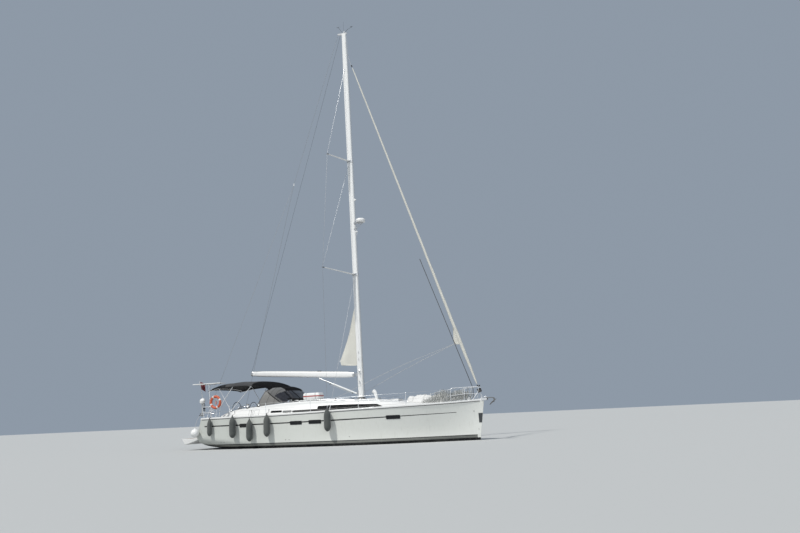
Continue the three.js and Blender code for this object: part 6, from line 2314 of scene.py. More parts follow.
def makeAnchor():
    z = rollerZ
    shank = [(7.53, z + 0.055), (7.55, z + 0.078), (7.90, z + 0.072), (8.00, z + 0.060), (8.038, z + 0.02),
             (8.045, z - 0.06), (8.00, z - 0.075), (7.975, z - 0.05), (7.962, z + 0.015), (7.93, z + 0.032),
             (7.55, z + 0.038)]
    meshes = [painted("shank", slab(shank, -0.012, 0.012), galvanised)]
    tip = Vector((anchorLook["tip"][0], 0, z - anchorLook["tip"][1]))
    tail = Vector((anchorLook["tail"][0], 0, z - anchorLook["tail"][1]))
    rows = []
    for i in range(17):
        t = i / 16
        spine = tip.lerp(tail, t)
        half = anchorLook["half"] * math.sin(math.pi * min(t * 0.92, 1)) ** 0.8 if t > 0 else 0.0
        half = max(half, 0.006)
        row = []
        for k in range(13):
            s = 2 * k / 12 - 1
            lift = anchorLook["curl"] * abs(s) ** 1.4 * math.sin(math.pi * min(t, 1))
            row.append(spine + Vector((0.35 * lift, half * s, lift * 0.75)))
        rows.append(row)
    meshes.append(painted("fluke", thickened(rows, 0.010), galvanised))
    meshes.append(painted("stock",
                          [tube([(8.02, 0, z - 0.05), (7.985, 0, z - 0.16)], [0.016, 0.024], 10),
                           turned([(0.016, -0.02), (0.022, -0.018), (0.022, 0.018), (0.016, 0.02)],
                                  (7.545, 0, z + 0.055), (0, 1, 0), 14)], galvanised))
    addPiece("anchorIron", meshes, galvanised, stands=["anchor"], angle=40)
    # Chain of twisted links from the anchor over the roller to the windlass
    link = ring((0, 0, 0), (0, 1, 0), 0.014, 0.0045, 12, 6)
    link = [(p[0] * 1.55, p[1], p[2]) for p in link[0]], link[1]
    chain = []
    path = [Vector((7.53, 0, z + 0.052)), Vector((7.3, 0, z - 0.02)),
            Vector((6.93, 0, deckTop(6.9, 0) + 0.055)), Vector((6.86, 0, deckTop(6.86, 0) + 0.075))]
    total = sum((b - a).length for a, b in zip(path, path[1:]))
    count = int(total / anchorLook["link"])
    spots = []
    for i in range(count):
        d = total * (i + 0.5) / count
        for a, b in zip(path, path[1:]):
            if d <= (b - a).length:
                spots.append((a.lerp(b, d / (b - a).length), (b - a).normalized()))
                break
            d -= (b - a).length
    for i, (spot, along) in enumerate(spots):
        turn = along.to_track_quat("X", "Z").to_matrix().to_4x4()
        roll = Matrix.Rotation(math.pi / 2 * (i % 2) + 0.4, 4, "X")
        chain.append(([tuple(Matrix.Translation(spot) @ turn @ roll @ Vector(p)) for p in link[0]], link[1]))
    addPiece("anchorChain", joined(chain), galvanised, angle=60)


windlassLook = {"place": 6.76, "teeth": 8, "switch": (6.70, 0.23)}


def makeWindlass():
    x = windlassLook["place"]
    z = deckTop(x, 0)
    base = turned([(0.104, -0.03), (0.112, 0.0), (0.112, 0.010), (0.108, 0.030), (0.092, 0.050),
                   (0.075, 0.060)], (x, 0, z), (0, 0, 1), 40)
    gypsy = turned([(0.052, 0.058), (0.070, 0.062), (0.073, 0.072), (0.056, 0.082), (0.056, 0.090),
                    (0.073, 0.100), (0.070, 0.112), (0.045, 0.116)], (x, 0, z), (0, 0, 1), 36)
    drum = turned([(0.050, 0.114), (0.052, 0.122), (0.038, 0.136), (0.037, 0.150), (0.052, 0.168),
                   (0.054, 0.174), (0.018, 0.177)], (x, 0, z), (0, 0, 1), 32)
    ribs = roundAxis("gypsyTeeth", box((0.052, 0.070), (-0.006, 0.006), (z + 0.078, z + 0.094)),
                     windlassLook["teeth"], (0, 0, 1), stainless, (x, 0, 0))
    meshes = [painted("base", base, whiteShell), painted("drum", [gypsy, drum], stainless), ribs]
    cover = turned([(0.046, -0.01), (0.050, 0), (0.050, 0.012), (0.030, 0.020)],
                   (*windlassLook["switch"], deckTop(*windlassLook["switch"])), (0, 0, 1), 24)
    meshes.append(painted("footSwitch", cover, blackPlastic))
    addPiece("windlassDrum", meshes, whiteShell, stands=["windlass"], angle=40)


makeRoller()
makeAnchor()
makeWindlass()


# Plate on the stem, navigation lights and small bow fittings
fittingRows = [(-5.9, 0.36), (-5.7, 0.36), (-2.0, 0.38), (-1.8, 0.38), (1.4, 0.42)]      # place and height


def makeStemFittings():
    rows = []
    for i in range(13):
        z = 0.81 + 0.44 * i / 12
        row = []
        for side in (-1, 1):
            steps = range(9) if side < 0 else range(7, -1, -1)
            for k in steps:
                x = 7.235 + (stemAt(z) - 7.235) * (k / 8) ** 0.6
                row.append(hullPoint(min(x, stemAt(z) - 0.002), z, 0.006, side))
        rows.append(row)
    meshes = [painted("chafePlate", thickened(rows, 0.004), chafePaint)]
    fittings = []
    for x, z, size in ((7.06, 1.35, 0.016), (7.20, 0.51, 0.013)):
        for side in (-1, 1):
            p = hullPoint(x, z, -0.004, side)
            out = hullPoint(x, z, 0.01, side) - p
            fittings.append(turned([(size, 0), (size * 1.3, 0.008), (size * 1.1, 0.016), (size * 0.5, 0.018)],
                                   p, out, 16))
    for x, z in fittingRows:
        p = hullPoint(x, z, -0.004, -1)
        out = hullPoint(x, z, 0.01, -1) - p
        fittings.append(ring(p + out.normalized() * 0.006, out, 0.017, 0.005, 20, 6))
    meshes.append(painted("skinFittings", fittings, blackPlastic))
    addPiece("stemFittings", meshes, chafePaint, angle=40)


chafePaint = newFinish("chafePlate", (0.045, 0.05, 0.055), 0.45, 0.3, amount=0.3, grime=(0.12, 0.12, 0.12),
                       scale=6.0)
makeStemFittings()


# Mooring cleats on the toe rail
cleatXs = (6.45, 2.6, -3.9, -6.75)


def makeCleats():
    bodies = []
    for x in cleatXs:
        for side in (-1, 1):
            y = side * (edgeY(x) - 0.085)
            z = deckTop(x, abs(y))
            slope = math.atan2(edgeY(x + 0.1) - edgeY(x - 0.1), 0.2) * side
            turn = Matrix.Translation((x, y, z)) @ Matrix.Rotation(slope, 4, "Z")
            horn = tube(curveThrough([(-0.125, 0, 0.045), (-0.06, 0, 0.052), (0, 0, 0.050), (0.06, 0, 0.052),
                                      (0.125, 0, 0.045)], 4),
                        [0.006] + [0.010] * 4 + [0.013] * 9 + [0.010] * 2 + [0.006], 10)
            legs = [tube([(d, 0, -0.004), (d * 0.8, 0, 0.050)], [0.015, 0.010], 10) for d in (-0.045, 0.045)]
            foot = box((-0.075, 0.075), (-0.024, 0.024), (-0.006, 0.008))
            shape = joined([horn, foot] + legs)
            bodies.append(([tuple(turn @ Vector(p)) for p in shape[0]], shape[1]))
    addPiece("mooringCleats", painted("mooringCleats", bodies, stainless), stainless, angle=45)


makeCleats()

print("rails and lifelines")
railLook = {
    "pipe": 0.0130,
    "wire": 0.0045,
    "high": 0.62,
    "inset": 0.070,
    "wires": (0.5, 0.97),      # shares of the height
    "pulpitHigh": 0.650,
    "gate": -5.35,
}
stanchionXs = (-5.35, -3.12, -0.58, 1.94, 4.20)


def railFoot(x, side=-1):
    return Vector((x, side * (edgeY(x) - railLook["inset"]), deckTop(x, edgeY(x) - railLook["inset"])))


def sidePath(points, side):
    return [Vector((p[0], abs(p[1]) * side, p[2])) for p in points]


def footPlate(p, radius=0.032):
    return turned([(radius, -0.012), (radius, 0.004), (radius * 0.62, 0.010), (0.016, 0.030)], p, (0, 0, 1),
                  20)


def makePulpit():
    top = deckTop(7.2, 0.2) + railLook["pulpitHigh"]
    for name, side in bothSides:
        aft = railFoot(6.15)
        bend = Vector((6.80, -(edgeY(6.8) - 0.06), top - 0.012))
        front = Vector((7.33, -0.15, top))
        rise = Vector((aft.x + 0.02, aft.y, top - 0.03))
        foot = Vector((7.02, -(edgeY(7.02) - 0.075), deckTop(7.02, edgeY(7.02) - 0.075)))
        outer = roundedPath([aft, rise, bend, front, Vector((7.30, -0.13, top - 0.20)), foot], 0.10, 8)
        midAft = aft + Vector((0.012, 0, 0.31))
        mid = roundedPath([midAft, Vector((6.74, -(edgeY(6.74) - 0.062), top - 0.32)),
                           Vector((7.16, -0.155, top - 0.33))], 0.10, 8)
        leg = [Vector((6.68, -(edgeY(6.68) - 0.07), deckTop(6.68, edgeY(6.68) - 0.07))),
               Vector((6.76, -(edgeY(6.76) - 0.062), top - 0.012))]
        paths = [sidePath(path, side) for path in (outer, mid, leg)]
        meshes = [lines("tubes", paths, railLook["pipe"], stainless, 12)]
        feet = [footPlate(Vector((p.x, abs(p.y) * side, p.z))) for p in (aft, foot, leg[0])]
        meshes.append(painted("feet", feet, stainless))
        lamp = Vector((7.28, side * 0.16, top + 0.02))
        meshes.append(painted("bowLight",
                              turned([(0.02, -0.01), (0.034, 0), (0.034, 0.05), (0.022, 0.062)], lamp,
                                     (0, 0, 1), 16), blackPlastic))
        addPiece("bowRail_" + name, meshes, stainless, stands=["pulpit_" + name], angle=50)


def makePushpit():
    topZ = deckTop(-6.9, 1.9) + railLook["high"]
    for name, side in bothSides:
        front = railFoot(-6.48)
        innerFoot = Vector((-6.69, -1.38, deckTop(-6.69, 1.38)))
        corner = Vector((-7.20, -(edgeY(-7.2) - 0.11), topZ))
        inner = Vector((-7.20, -1.42, topZ))
        outer = roundedPath([front, Vector((-6.50, front.y, topZ)), corner, inner,
                             Vector((-6.74, -1.385, topZ - 0.28)), innerFoot], 0.13, 8)
        drop = 0.30
        mid = roundedPath([front + Vector((-0.008, 0, topZ - drop - front.z)), corner - Vector((0, 0, drop)),
                           Vector((-7.16, -1.43, topZ - drop)), Vector((-6.80, -1.39, topZ - drop - 0.06))],
                          0.12, 8)
        legFoot = Vector((-7.06, -1.85, deckTop(-7.06, 1.85)))
        leg = [legFoot, Vector((-7.19, -1.86, topZ))]
        paths = [sidePath(path, side) for path in (outer, mid, leg)]
        meshes = [lines("tubes", paths, railLook["pipe"], stainless, 12)]
        feet = [footPlate(Vector((p.x, abs(p.y) * side, p.z))) for p in (front, innerFoot, legFoot)]
        meshes.append(painted("feet", feet, stainless))
        addPiece("sternRail_" + name, meshes, stainless, stands=["pushpit_" + name], angle=50)


def makeLifelines():
    for name, side in bothSides:
        posts, caps, wires, braces = [], [], [], []
        for x in stanchionXs:
            foot = railFoot(x, side)
            head = foot + Vector((0, 0, railLook["high"]))
            posts.append([foot, head])
            caps.append(footPlate(foot, 0.036))
            caps.append(ellipsoid(head, (0.0135, 0.0135, 0.012), 12, 6))
            for up in railLook["wires"]:
                caps.append(ring(foot + Vector((0, 0, up * railLook["high"])), (1, 0, 0), 0.010, 0.004, 12,
                                 6))
        gate = railFoot(railLook["gate"], side)
        braces.append([gate + Vector((0.20, 0, 0)), gate + Vector((0, 0, 0.44))])
        xs = [-6.50] + list(stanchionXs) + [6.17]
        for share in railLook["wires"]:
            wires.append([railFoot(x, side) + Vector((0, 0, share * railLook["high"])) for x in xs])
        meshes = [lines("wires", wires, railLook["wire"], wireFinish, 6),
                  lines("posts", posts, 0.0125, stainless, 12), lines("braces", braces, 0.009, stainless, 8),
                  painted("caps", caps, stainless)]
        screws = []
        for share in railLook["wires"]:
            end = railFoot(6.17, side) + Vector((0, 0, share * railLook["high"]))
            before = railFoot(4.20, side) + Vector((0, 0, share * railLook["high"]))
            along = (before - end).normalized()
            screws.append(tube([end, end + along * 0.04, end + along * 0.18, end + along * 0.22],
                               [0.005, 0.0085, 0.0085, 0.005], 8))
        meshes.append(painted("screws", screws, stainless))
        addPiece("lifelineRun_" + name, meshes, stainless, stands=["lifelines_" + name],
                 angle=50)


makePulpit()
makePushpit()
makeLifelines()


# Grab rails along the coachroof
grabRows = [(-1.75, 0.65), (1.45, 3.35)]


def makeGrabRails():
    for name, side in bothSides:
        bars, feet = [], []
        for low, high in grabRows:
            xs = [low + (high - low) * k / 4 for k in range(5)]
            points = []
            for x in xs:
                y = side * (linear(roofSections, x, 2) - 0.20)
                z = roofTop(x, abs(y))
                feet.append(turned([(0.020, -0.006), (0.020, 0.004), (0.012, 0.010), (0.010, 0.052)],
                                   (x, y, z), (0, 0, 1), 14))
                points.append(Vector((x, y, z + 0.056)))
            start = points[0] + Vector((-0.05, 0, -0.050))
            end = points[-1] + Vector((0.05, 0, -0.050))
            bars.append(roundedPath([start] + [points[0]] + points[1:-1] + [points[-1], end], 0.04, 5))
        meshes = [lines("bars", bars, 0.0115, stainless, 10), painted("feet", feet, stainless)]
        addPiece("roofRails_" + name, meshes, stainless, angle=50)


makeGrabRails()


# Winches, rope clutches, tracks and cars
def winch(centre, size):
    base = turned([(0.075 * size, -0.01), (0.078 * size, 0.006), (0.074 * size, 0.018),
                   (0.060 * size, 0.026)], centre, (0, 0, 1), 32)
    drum = turned([(0.060 * size, 0.024), (0.064 * size, 0.034), (0.050 * size, 0.052),
                   (0.046 * size, 0.085 * size), (0.052 * size, 0.112 * size), (0.062 * size, 0.122 * size)],
                  centre, (0, 0, 1), 32)
    tail = turned([(0.062 * size, 0.122 * size), (0.066 * size, 0.126 * size), (0.058 * size, 0.134 * size),
                   (0.058 * size, 0.139 * size), (0.067 * size, 0.147 * size), (0.062 * size, 0.154 * size),
                   (0.020 * size, 0.158 * size)], centre, (0, 0, 1), 32)
    return [painted("base", base, blackPlastic), painted("drum", drum, stainless),
            painted("tail", tail, blackPlastic)]


# columns: place, distance from the middle, size
winchRows = [(-4.62, 1.52, 1.25), (-3.98, 1.50, 1.0), (-2.42, 0.94, 1.05)]
controlLook = {"clutches": (0.80, 0.055, 4), "track": (-0.35, 0.0, 0.4, 0.8, 1.2), "trackOut": 1.02,
               "car": 0.15}


def makeWinches():
    meshes = []
    out = controlLook["trackOut"]
    near, step, count = controlLook["clutches"]
    for side in (-1, 1):
        for x, y, size in winchRows:
            z = roofTop(x, y) + 0.008
            meshes += winch((x, side * y, z), size)
        # Clutches ahead of the roof winch
        clutches, levers = [], []
        for k in range(count):
            y = side * (near + step * k)
            z = roofTop(-2.10, abs(y))
            clutches.append(box((-2.20, -2.02), sorted((y - 0.022, y + 0.022)), (z - 0.01, z + 0.050)))
            levers.append(tube([(-2.04, y, z + 0.052), (-2.10, y, z + 0.072), (-2.19, y, z + 0.056)],
                               [0.010, 0.012, 0.010], 8))
        meshes.append(painted("clutches", clutches, blackPlastic))
        meshes.append(painted("levers", levers, whiteShell))
        # Headsail track with its car, and organiser lines led aft along the roof
        track = [Vector((x, side * out, roofTop(x, out) + 0.008)) for x in controlLook["track"]]
        meshes.append(painted("track", [tube([p, q], 0.014, 6) for p, q in zip(track, track[1:])], sparAlloy))
        car = Vector((controlLook["car"], side * out, roofTop(controlLook["car"], out) + 0.03))
        meshes.append(painted("car",
                              [box((car.x - 0.06, car.x + 0.06), (car.y - 0.024, car.y + 0.024),
                                   (car.z - 0.022, car.z + 0.006)),
                               turned([(0.030, -0.014), (0.038, -0.012), (0.038, 0.012), (0.030, 0.014)],
                                      car + Vector((0, 0, 0.045)), (0, 1, 0), 20)], blackPlastic))
        runs = []
        for k in range(count):
            y = side * (near + step * k)
            runs.append([Vector((x, yy, roofTop(x, abs(yy)) + 0.009))
                         for x, yy in ((-2.03, y), (-1.5, y), (-0.7, y * 0.95), (0.1, y * 0.84),
                                       (0.72, side * (0.34 + 0.05 * k)))])
        meshes.append(lines("ledAft", runs, 0.005, rope, 6))
        organiser = box((0.68, 0.78), sorted((side * 0.30, side * 0.54)),
                        (roofTop(0.73, 0.4) - 0.01, roofTop(0.73, 0.4) + 0.022))
        meshes.append(painted("organiser", organiser, sparAlloy))
    addPiece("sailControls", meshes, blackPlastic, angle=40)


makeWinches()


# Speaker and locker outlines on the outside of the coaming, and the cowl vents
markLook = {"runs": [(-4.45, -4.22), (-4.14, -3.86)], "heights": (1.64, 1.90)}


def makeCoamingMarks():
    meshes = []
    for side in (-1, 1):
        frames = []
        for low, high in markLook["runs"]:
            foot, top = markLook["heights"]
            path = []
            for u, v in ((0, 0), (1, 0), (1, 1), (0, 1), (0, 0)):
                x = low + (high - low) * u
                z = foot + (top - foot) * v
                path.append(roofSide(x, z, 0.003, side))
            frames.append(roundedPath(path, 0.035, 4))
        meshes.append(lines("outline", frames, 0.0055, coamingTrim, 6))
    addPiece("coamingMarks", meshes, coamingTrim, angle=45)


coamingTrim = newFinish("greyTrim", (0.20, 0.205, 0.21), 0.5, amount=0.3, grime=(0.12, 0.12, 0.12))
makeCoamingMarks()


cowlLook = {"place": (2.18, -0.50), "mouth": 0.101, "sides": 28}


def makeCowlVent():
    x, y = cowlLook["place"]
    z = roofTop(x, abs(y))
    spine = curveThrough([(x, y, z - 0.01), (x - 0.02, y, z + 0.16), (x - 0.07, y, z + 0.34),
                          (x - 0.17, y, z + 0.45)], 6)
    radii = [0.078] * 8 + [0.080, 0.083, 0.086, 0.089, 0.092, 0.095, 0.098, 0.100, 0.102, 0.103, 0.104]
    body = tube(spine, radii[:len(spine)], cowlLook["sides"])
    collar = turned([(0.105, -0.01), (0.108, 0.010), (0.094, 0.022), (0.080, 0.04)], (x, y, z), (0, 0, 1),
                    cowlLook["sides"])
    end = spine[-1]
    along = (spine[-1] - spine[-2]).normalized()
    lip = ring(end, along, cowlLook["mouth"], 0.008, 36, 8)
    throat = turned([(0.001, 0.0005), (0.088, 0.001), (0.090, 0.003), (0.001, 0.004)], end, along,
                    cowlLook["sides"])
    meshes = [painted("cowl", [body, collar, lip], whiteShell), painted("throat", throat, rubber)]
    addPiece("cowlVent", meshes, whiteShell, angle=45)


makeCowlVent()

print("hatches and companionway")


# Points of a rounded rectangle from low to high, and half as wide each way
def ringOutline(low, high, half, radius, count=7):
    points = []
    for cx, cy, start in ((high, half, 0), (low, half, 90), (low, -half, 180), (high, -half, 270)):
        ox = cx - radius if cx == high else cx + radius
        oy = cy - radius if cy > 0 else cy + radius
        for k in range(count):
            a = math.radians(start + 90 * k / (count - 1))
            points.append((ox + radius * math.cos(a), oy + radius * math.sin(a)))
    return points


# A flush hatch: a rounded alloy frame round a smoked pane, hinges and handles
def hatchShape(low, high, half, base, top, radius=0.055):
    def level(inset, z):
        rounding = max(radius - inset, 0.01)
        return [(x, y, z) for x, y in ringOutline(low + inset, high - inset, half - inset, rounding)]

    frame = surface([level(0.034, base), level(0.004, base), level(0.0, base + 0.004),
                     level(0.0, top - 0.008), level(0.006, top), level(0.030, top), level(0.034, top - 0.005),
                     level(0.034, base)], closed=True)
    pane = solid([level(0.033, base + 0.003), level(0.033, top - 0.004), level(0.040, top - 0.0015)])
    return frame, pane


def makeHatches():
    for name, low, high, half, base in hatchRows:
        top = base + 0.030
        frame, pane = hatchShape(low, high, half, base, top)
        parts = []
        for y in (-half * 0.62, half * 0.62):
            parts.append(turned([(0.012, -0.045), (0.012, 0.045)], (high - 0.004, y, base + 0.008), (0, 1, 0),
                                14))
            parts.append(turned([(0.020, 0), (0.022, 0.006), (0.014, 0.012)], (low + 0.075, y, top - 0.003),
                                (0, 0, 1), 18))
        meshes = [painted("frame", frame, sparAlloy), painted("pane", pane, darkGlass),
                  painted("furniture", parts, blackPlastic)]
        addPiece("deckHatch_" + name.split("_")[0], meshes, sparAlloy, body=name,
                 stands=[name], angle=35)
        # The coaming ring that the lid shuts on
        ringZ = base - 0.003
        rim = surface([[(x, y, z) for x, y in ringOutline(low + inset, high - inset, half - inset, 0.05)]
                       for inset, z in ((0.030, ringZ - 0.05), (-0.012, ringZ - 0.05),
                                        (-0.012, ringZ - 0.024), (0.004, ringZ), (0.030, ringZ),
                                        (0.030, ringZ - 0.05))], closed=True)
        addPiece("hatchRing_" + name.split("_")[0], painted("hatchRing", rim, deckFinish), deckFinish,
                 angle=40)


# columns: place, distance from the middle, length, half width
smallHatchRows = [(0.15, 0.62, 0.40, 0.13), (-1.25, 0.78, 0.36, 0.11), (4.55, 0.0, 0.30, 0.20),
                  (0.35, 0.0, 0.34, 0.18)]


def makeSmallHatches():
    meshes = []
    for x, y, length, wide in smallHatchRows:
        for side in ((-1, 1) if y else (1,)):
            cy = side * y
            z = max(roofTop(x, abs(cy)), deckTop(x, abs(cy))) if x < 5 else deckTop(x, abs(cy))
            frame, pane = hatchShape(x - length / 2, x + length / 2, wide, z - 0.014, z + 0.014, 0.04)
            meshes += [painted("frame", moved(frame, (0, cy, 0)), sparAlloy),
                       painted("pane", moved(pane, (0, cy, 0)), darkGlass)]
    addPiece("roofHatches", meshes, sparAlloy, angle=35)


makeHatches()
makeSmallHatches()


def makeCompanionway():
    # Sliding hatch of smoked acrylic with a grab handle
    pane = solid([[(x, y, z) for x, y in ringOutline(-2.79 + i, -1.94 - i, 0.36 - i, 0.03)]
                  for i, z in ((0.004, 2.283), (0.0, 2.286), (0.0, 2.307), (0.005, 2.311))])
    handle = tube(roundedPath([(-2.755, -0.14, 2.305), (-2.755, -0.14, 2.352), (-2.755, 0.14, 2.352),
                               (-2.755, 0.14, 2.305)], 0.03), 0.010, 10)
    edge = box((-2.79, -2.775), (-0.355, 0.355), (2.278, 2.2835))
    meshes = [painted("pane", pane, darkGlass), painted("handle", [handle, edge], stainless)]
    addPiece("slidingHatch", meshes, darkGlass, body="companionway_hatch",
             stands=["companionway_hatch"], angle=35)
    # Washboard in its rails
    board = solid([[(x, y, z) for z, y in ringOutline(1.385 + inset, 2.153 - inset, 0.355 - inset,
                                                      0.03 - inset, 6)]
                   for x, inset in ((-2.772, 0.004), (-2.769, 0.0), (-2.755, 0.0), (-2.752, 0.004))])
    latch = turned([(0.030, 0), (0.030, 0.006), (0.012, 0.012)], (-2.772, 0, 2.05), (-1, 0, 0), 20)
    addPiece("companionwayBoard", [painted("board", board, darkGlass), painted("latch", latch, stainless)],
             darkGlass, stands=["washboard"], angle=35)
    posts = [box((-2.785, -2.745), sorted((side * 0.340, side * 0.385)), (1.39, 2.27)) for side in (-1, 1)]
    runners = [box((-2.75, -1.90), sorted((side * 0.335, side * 0.372)), (roofTop(-2.3, 0.36) - 0.05, 2.276))
               for side in (-1, 1)]
    addPiece("hatchRunners", [painted("posts", posts, whiteShell), painted("runners", runners, sparAlloy)],
             whiteShell, bevel=0.003)
    # Low housing that the hatch slides under
    sections = []
    for x, inset, high in ((-1.925, 0.0, 2.344), (-1.60, 0.0, 2.344), (-1.34, 0.015, 2.336),
                           (-1.245, 0.05, 2.290)):
        half = 0.41 - inset
        base = roofTop(x, half) - 0.02
        sections.append([(x, -half, base), (x, -half, high - 0.03), (x, -half + 0.012, high - 0.010),
                         (x, -half + 0.035, high), (x, 0, high + 0.004), (x, half - 0.035, high),
                         (x, half - 0.012, high - 0.010), (x, half, high - 0.03), (x, half, base)])
    shell = solid(sections)
    slot = softBox("hoodSlot", (-2.2, -1.262), (-0.374, 0.374), (2.276, 2.322), 0.0)
    body = plainObject("hoodBody", shell, deckFinish)
    mesh = cutAway(body, [slot], deckFinish)
    addPiece("hatchHousing", mesh, deckFinish, angle=30)


makeCompanionway()


# Lid of the anchor locker, following the crown of the deck
lidLook = {"middle": 6.235, "half": 0.298, "wide": 0.283, "height": 1.848, "thick": 0.020}


def makeAnchorLid():
    middle, wide = lidLook["middle"], lidLook["wide"]
    rows = []
    for i in range(25):
        u = -math.cos(math.pi * i / 24)
        x = middle + lidLook["half"] * u
        reach = (1 - min(abs(u), 0.999) ** 9) ** (1 / 9)
        row = []
        for k in range(21):
            y = wide * reach * (2 * k / 20 - 1)
            row.append((x, y, lidLook["height"] + 0.006 * (x - middle) - 0.004 * (y / 0.28) ** 2))
        rows.append(row)
    mesh = painted("lid", thickened(rows, lidLook["thick"]), deckFinish)
    grips = [painted("patch",
                     thickened([[(x, y, z + 0.003) for x, y, z in row[3:-3]] for row in rows[5:-5]], 0.002),
                     nonSlip)]
    hinges = [turned([(0.011, -0.035), (0.011, 0.035)], (6.53, y, 1.838), (0, 1, 0), 12)
              for y in (-0.17, 0.17)]
    catch = turned([(0.022, -0.002), (0.022, 0.005), (0.010, 0.008)], (5.975, 0, 1.846), (0, 0, 1), 18)
    meshes = [mesh] + grips + [painted("hinges", hinges + [catch], stainless)]
    addPiece("lockerLid", meshes, deckFinish, body="anchor_locker_lid",
             stands=["anchor_locker_lid"], angle=40)


makeAnchorLid()

print("foredeck bundle and netting")
bundleWhite = newCloth("bundleCover", (0.66, 0.66, 0.65), 0.003, contrast=0.15, amount=0.25,
                       grime=(0.45, 0.45, 0.43))
bundleLook = {
    # columns: place, distance from the middle, how high, length, width
    "heaps": [(3.86, -0.16, 0.20, 0.26, 0.24), (4.26, 0.05, 0.30, 0.34, 0.34),
              (4.66, -0.10, 0.40, 0.36, 0.38), (5.02, 0.10, 0.36, 0.30, 0.40),
              (5.36, -0.06, 0.43, 0.27, 0.38), (4.62, 0.30, 0.26, 0.40, 0.20)],
    "ends": (3.62, 5.63),
    "fold": 0.035,
    "crease": 0.022,
}


def creases(x, y, seed):
    spot = Vector((x * 3.1 + seed, y * 3.9, seed * 0.7))
    ridge = 1 - 2 * abs(noise.noise(spot))
    fine = 1 - 2 * abs(noise.noise(spot * 2.7 + Vector((4.1, 1.3, 0))))
    return bundleLook["fold"] * ridge + bundleLook["crease"] * fine


def makeBundle():
    low, high = bundleLook["ends"]
    rows, under = [], []
    steps, around = 110, 72
    for i in range(steps + 1):
        x = low + (high - low) * i / steps
        taper = min((x - low) / 0.22, (high - x) / 0.12, 1.0)
        taper = math.sqrt(max(1 - (1 - taper) ** 2, 0.0))
        half = (0.30 + 0.22 * math.sin(math.pi * min((x - low) / 1.5, 1) / 2)
                + 0.035 * noise.noise(Vector((x * 2.3, 7, 0)))) * taper + 0.01
        row = []
        for k in range(around + 1):
            s = math.cos(math.pi * (1 - k / around))
            y = s * half + 0.03 * noise.noise(Vector((x * 2, 3, 0)))
            base = deckTop(x, abs(y))
            if x < 4.6:
                base = max(base, roofTop(min(x, 4.55), abs(y)))
            lift = 0.0
            for place, across, tall, length, wide in bundleLook["heaps"]:
                reach = math.exp(-(((x - place) / length) ** 2 + ((y - across) / wide) ** 2) ** 1.15)
                lift += (tall * reach) ** 3
            lift = lift ** (1 / 3)
            shape = math.sqrt(max(1 - abs(s) ** 3.5, 0)) * taper
            z = base + (lift * 0.86 + 0.06) * shape + creases(x, y, 2.0) * shape
            row.append(Vector((x + 0.02 * noise.noise(Vector((y * 5, x * 4, 5))) * shape, y,
                               max(z, base + 0.002))))
        rows.append(row)
        under.append([Vector((p.x, p.y, deckTop(p.x, abs(p.y)) - 0.01)) for p in row])
    whole = [row + [Vector((p.x, p.y, min(q.z, p.z - 0.004)))
                    for p, q in zip(reversed(row[1:-1]), reversed(base[1:-1]))]
             for row, base in zip(rows, under)]
    shape = solid(whole)
    meshes = [painted("cover", shape, bundleWhite)]
    # Lashings over the heap
    straps = []
    for place, skew in ((4.05, 0.06), (4.55, -0.05), (5.10, 0.04)):
        path = []
        for k in range(4, around - 3, 2):
            i = round((place + skew * (k / around - 0.5) * 2 - low) / (high - low) * steps)
            path.append(rows[i][k] + Vector((0, 0, 0.006)))
        straps.append(path)
    meshes.append(lines("lashings", straps, 0.007, rope, 6))
    whole = merged("foredeckCover", meshes)
    uvSheet(whole, 0, 1)
    piece = addPiece("foredeckCover", whole, bundleWhite, stands=["foredeck_bundle"],
                     angle=80)


makeBundle()
netWhite = newCloth("netCord", (0.62, 0.62, 0.60), 0.003, contrast=0.2, amount=0.3, grime=(0.4, 0.4, 0.38))
netGrey = newCloth("netCordGrey", (0.20, 0.21, 0.20), 0.003, contrast=0.2, amount=0.3,
                   grime=(0.12, 0.12, 0.11))
netLook = {
    "starboard": 60,      # strands on each side
    "port": 24,
    "start": 5.15,
    "long": 1.55,
    "ends": (4.9, 6.95),
    "head": [(4.9, 0.20), (5.3, 0.44), (5.75, 0.57), (6.2, 0.62), (6.6, 0.67), (6.92, 0.60)],
}


# A loose net gathered along the forward lifelines, made of looping strands
def makeNetting():
    strands = []
    low, high = netLook["ends"]
    for side in (-1, 1):
        total = netLook["starboard" if side < 0 else "port"]
        for k in range(total):
            share = k / total
            x0 = netLook["start"] + netLook["long"] * share
            path = []
            for i in range(31):
                t = i / 30
                turn = 2 * math.pi * (t * 4.3 + k * 0.37)
                stray = 0.10 * noise.noise(Vector((k * 2.1, t * 3, 1)))
                x = x0 + (t - 0.5) * 0.55 + stray + 0.055 * math.cos(turn)
                x = min(max(x, low), high)
                y = edgeY(x) - railLook["inset"] - 0.025 - 0.035 * abs(noise.noise(Vector((k, t * 4, 3))))
                base = deckTop(x, y)
                top = 0.62 + 0.14 * noise.noise(Vector((x * 1.5, side, 9)))
                top *= min(1.0, 0.35 + (x - low) * 0.7)
                wave = 0.5 + 0.5 * noise.noise(Vector((k * 3.3, t * 5, 5))) + 0.28 * math.sin(turn)
                z = base + 0.02 + top * min(max(wave, 0.0), 1.0) * 0.95
                path.append(Vector((x, side * y, z)))
            strands.append(curveThrough(path, 3))
    edge = []
    for side in (-1, 1):
        edge.append(curveThrough([Vector((x, side * (edgeY(x) - railLook["inset"] - 0.02),
                                          deckTop(x, edgeY(x)) + h)) for x, h in netLook["head"]], 5))
    meshes = [lines("strands", strands[::3], 0.0042, netWhite, 5),
              lines("headRope", edge, 0.007, netWhite, 6),
              lines("greyStrands", [path for k, path in enumerate(strands) if k % 3], 0.0048, netGrey, 5)]
    addPiece("guardNet", meshes, netWhite, angle=60)


makeNetting()

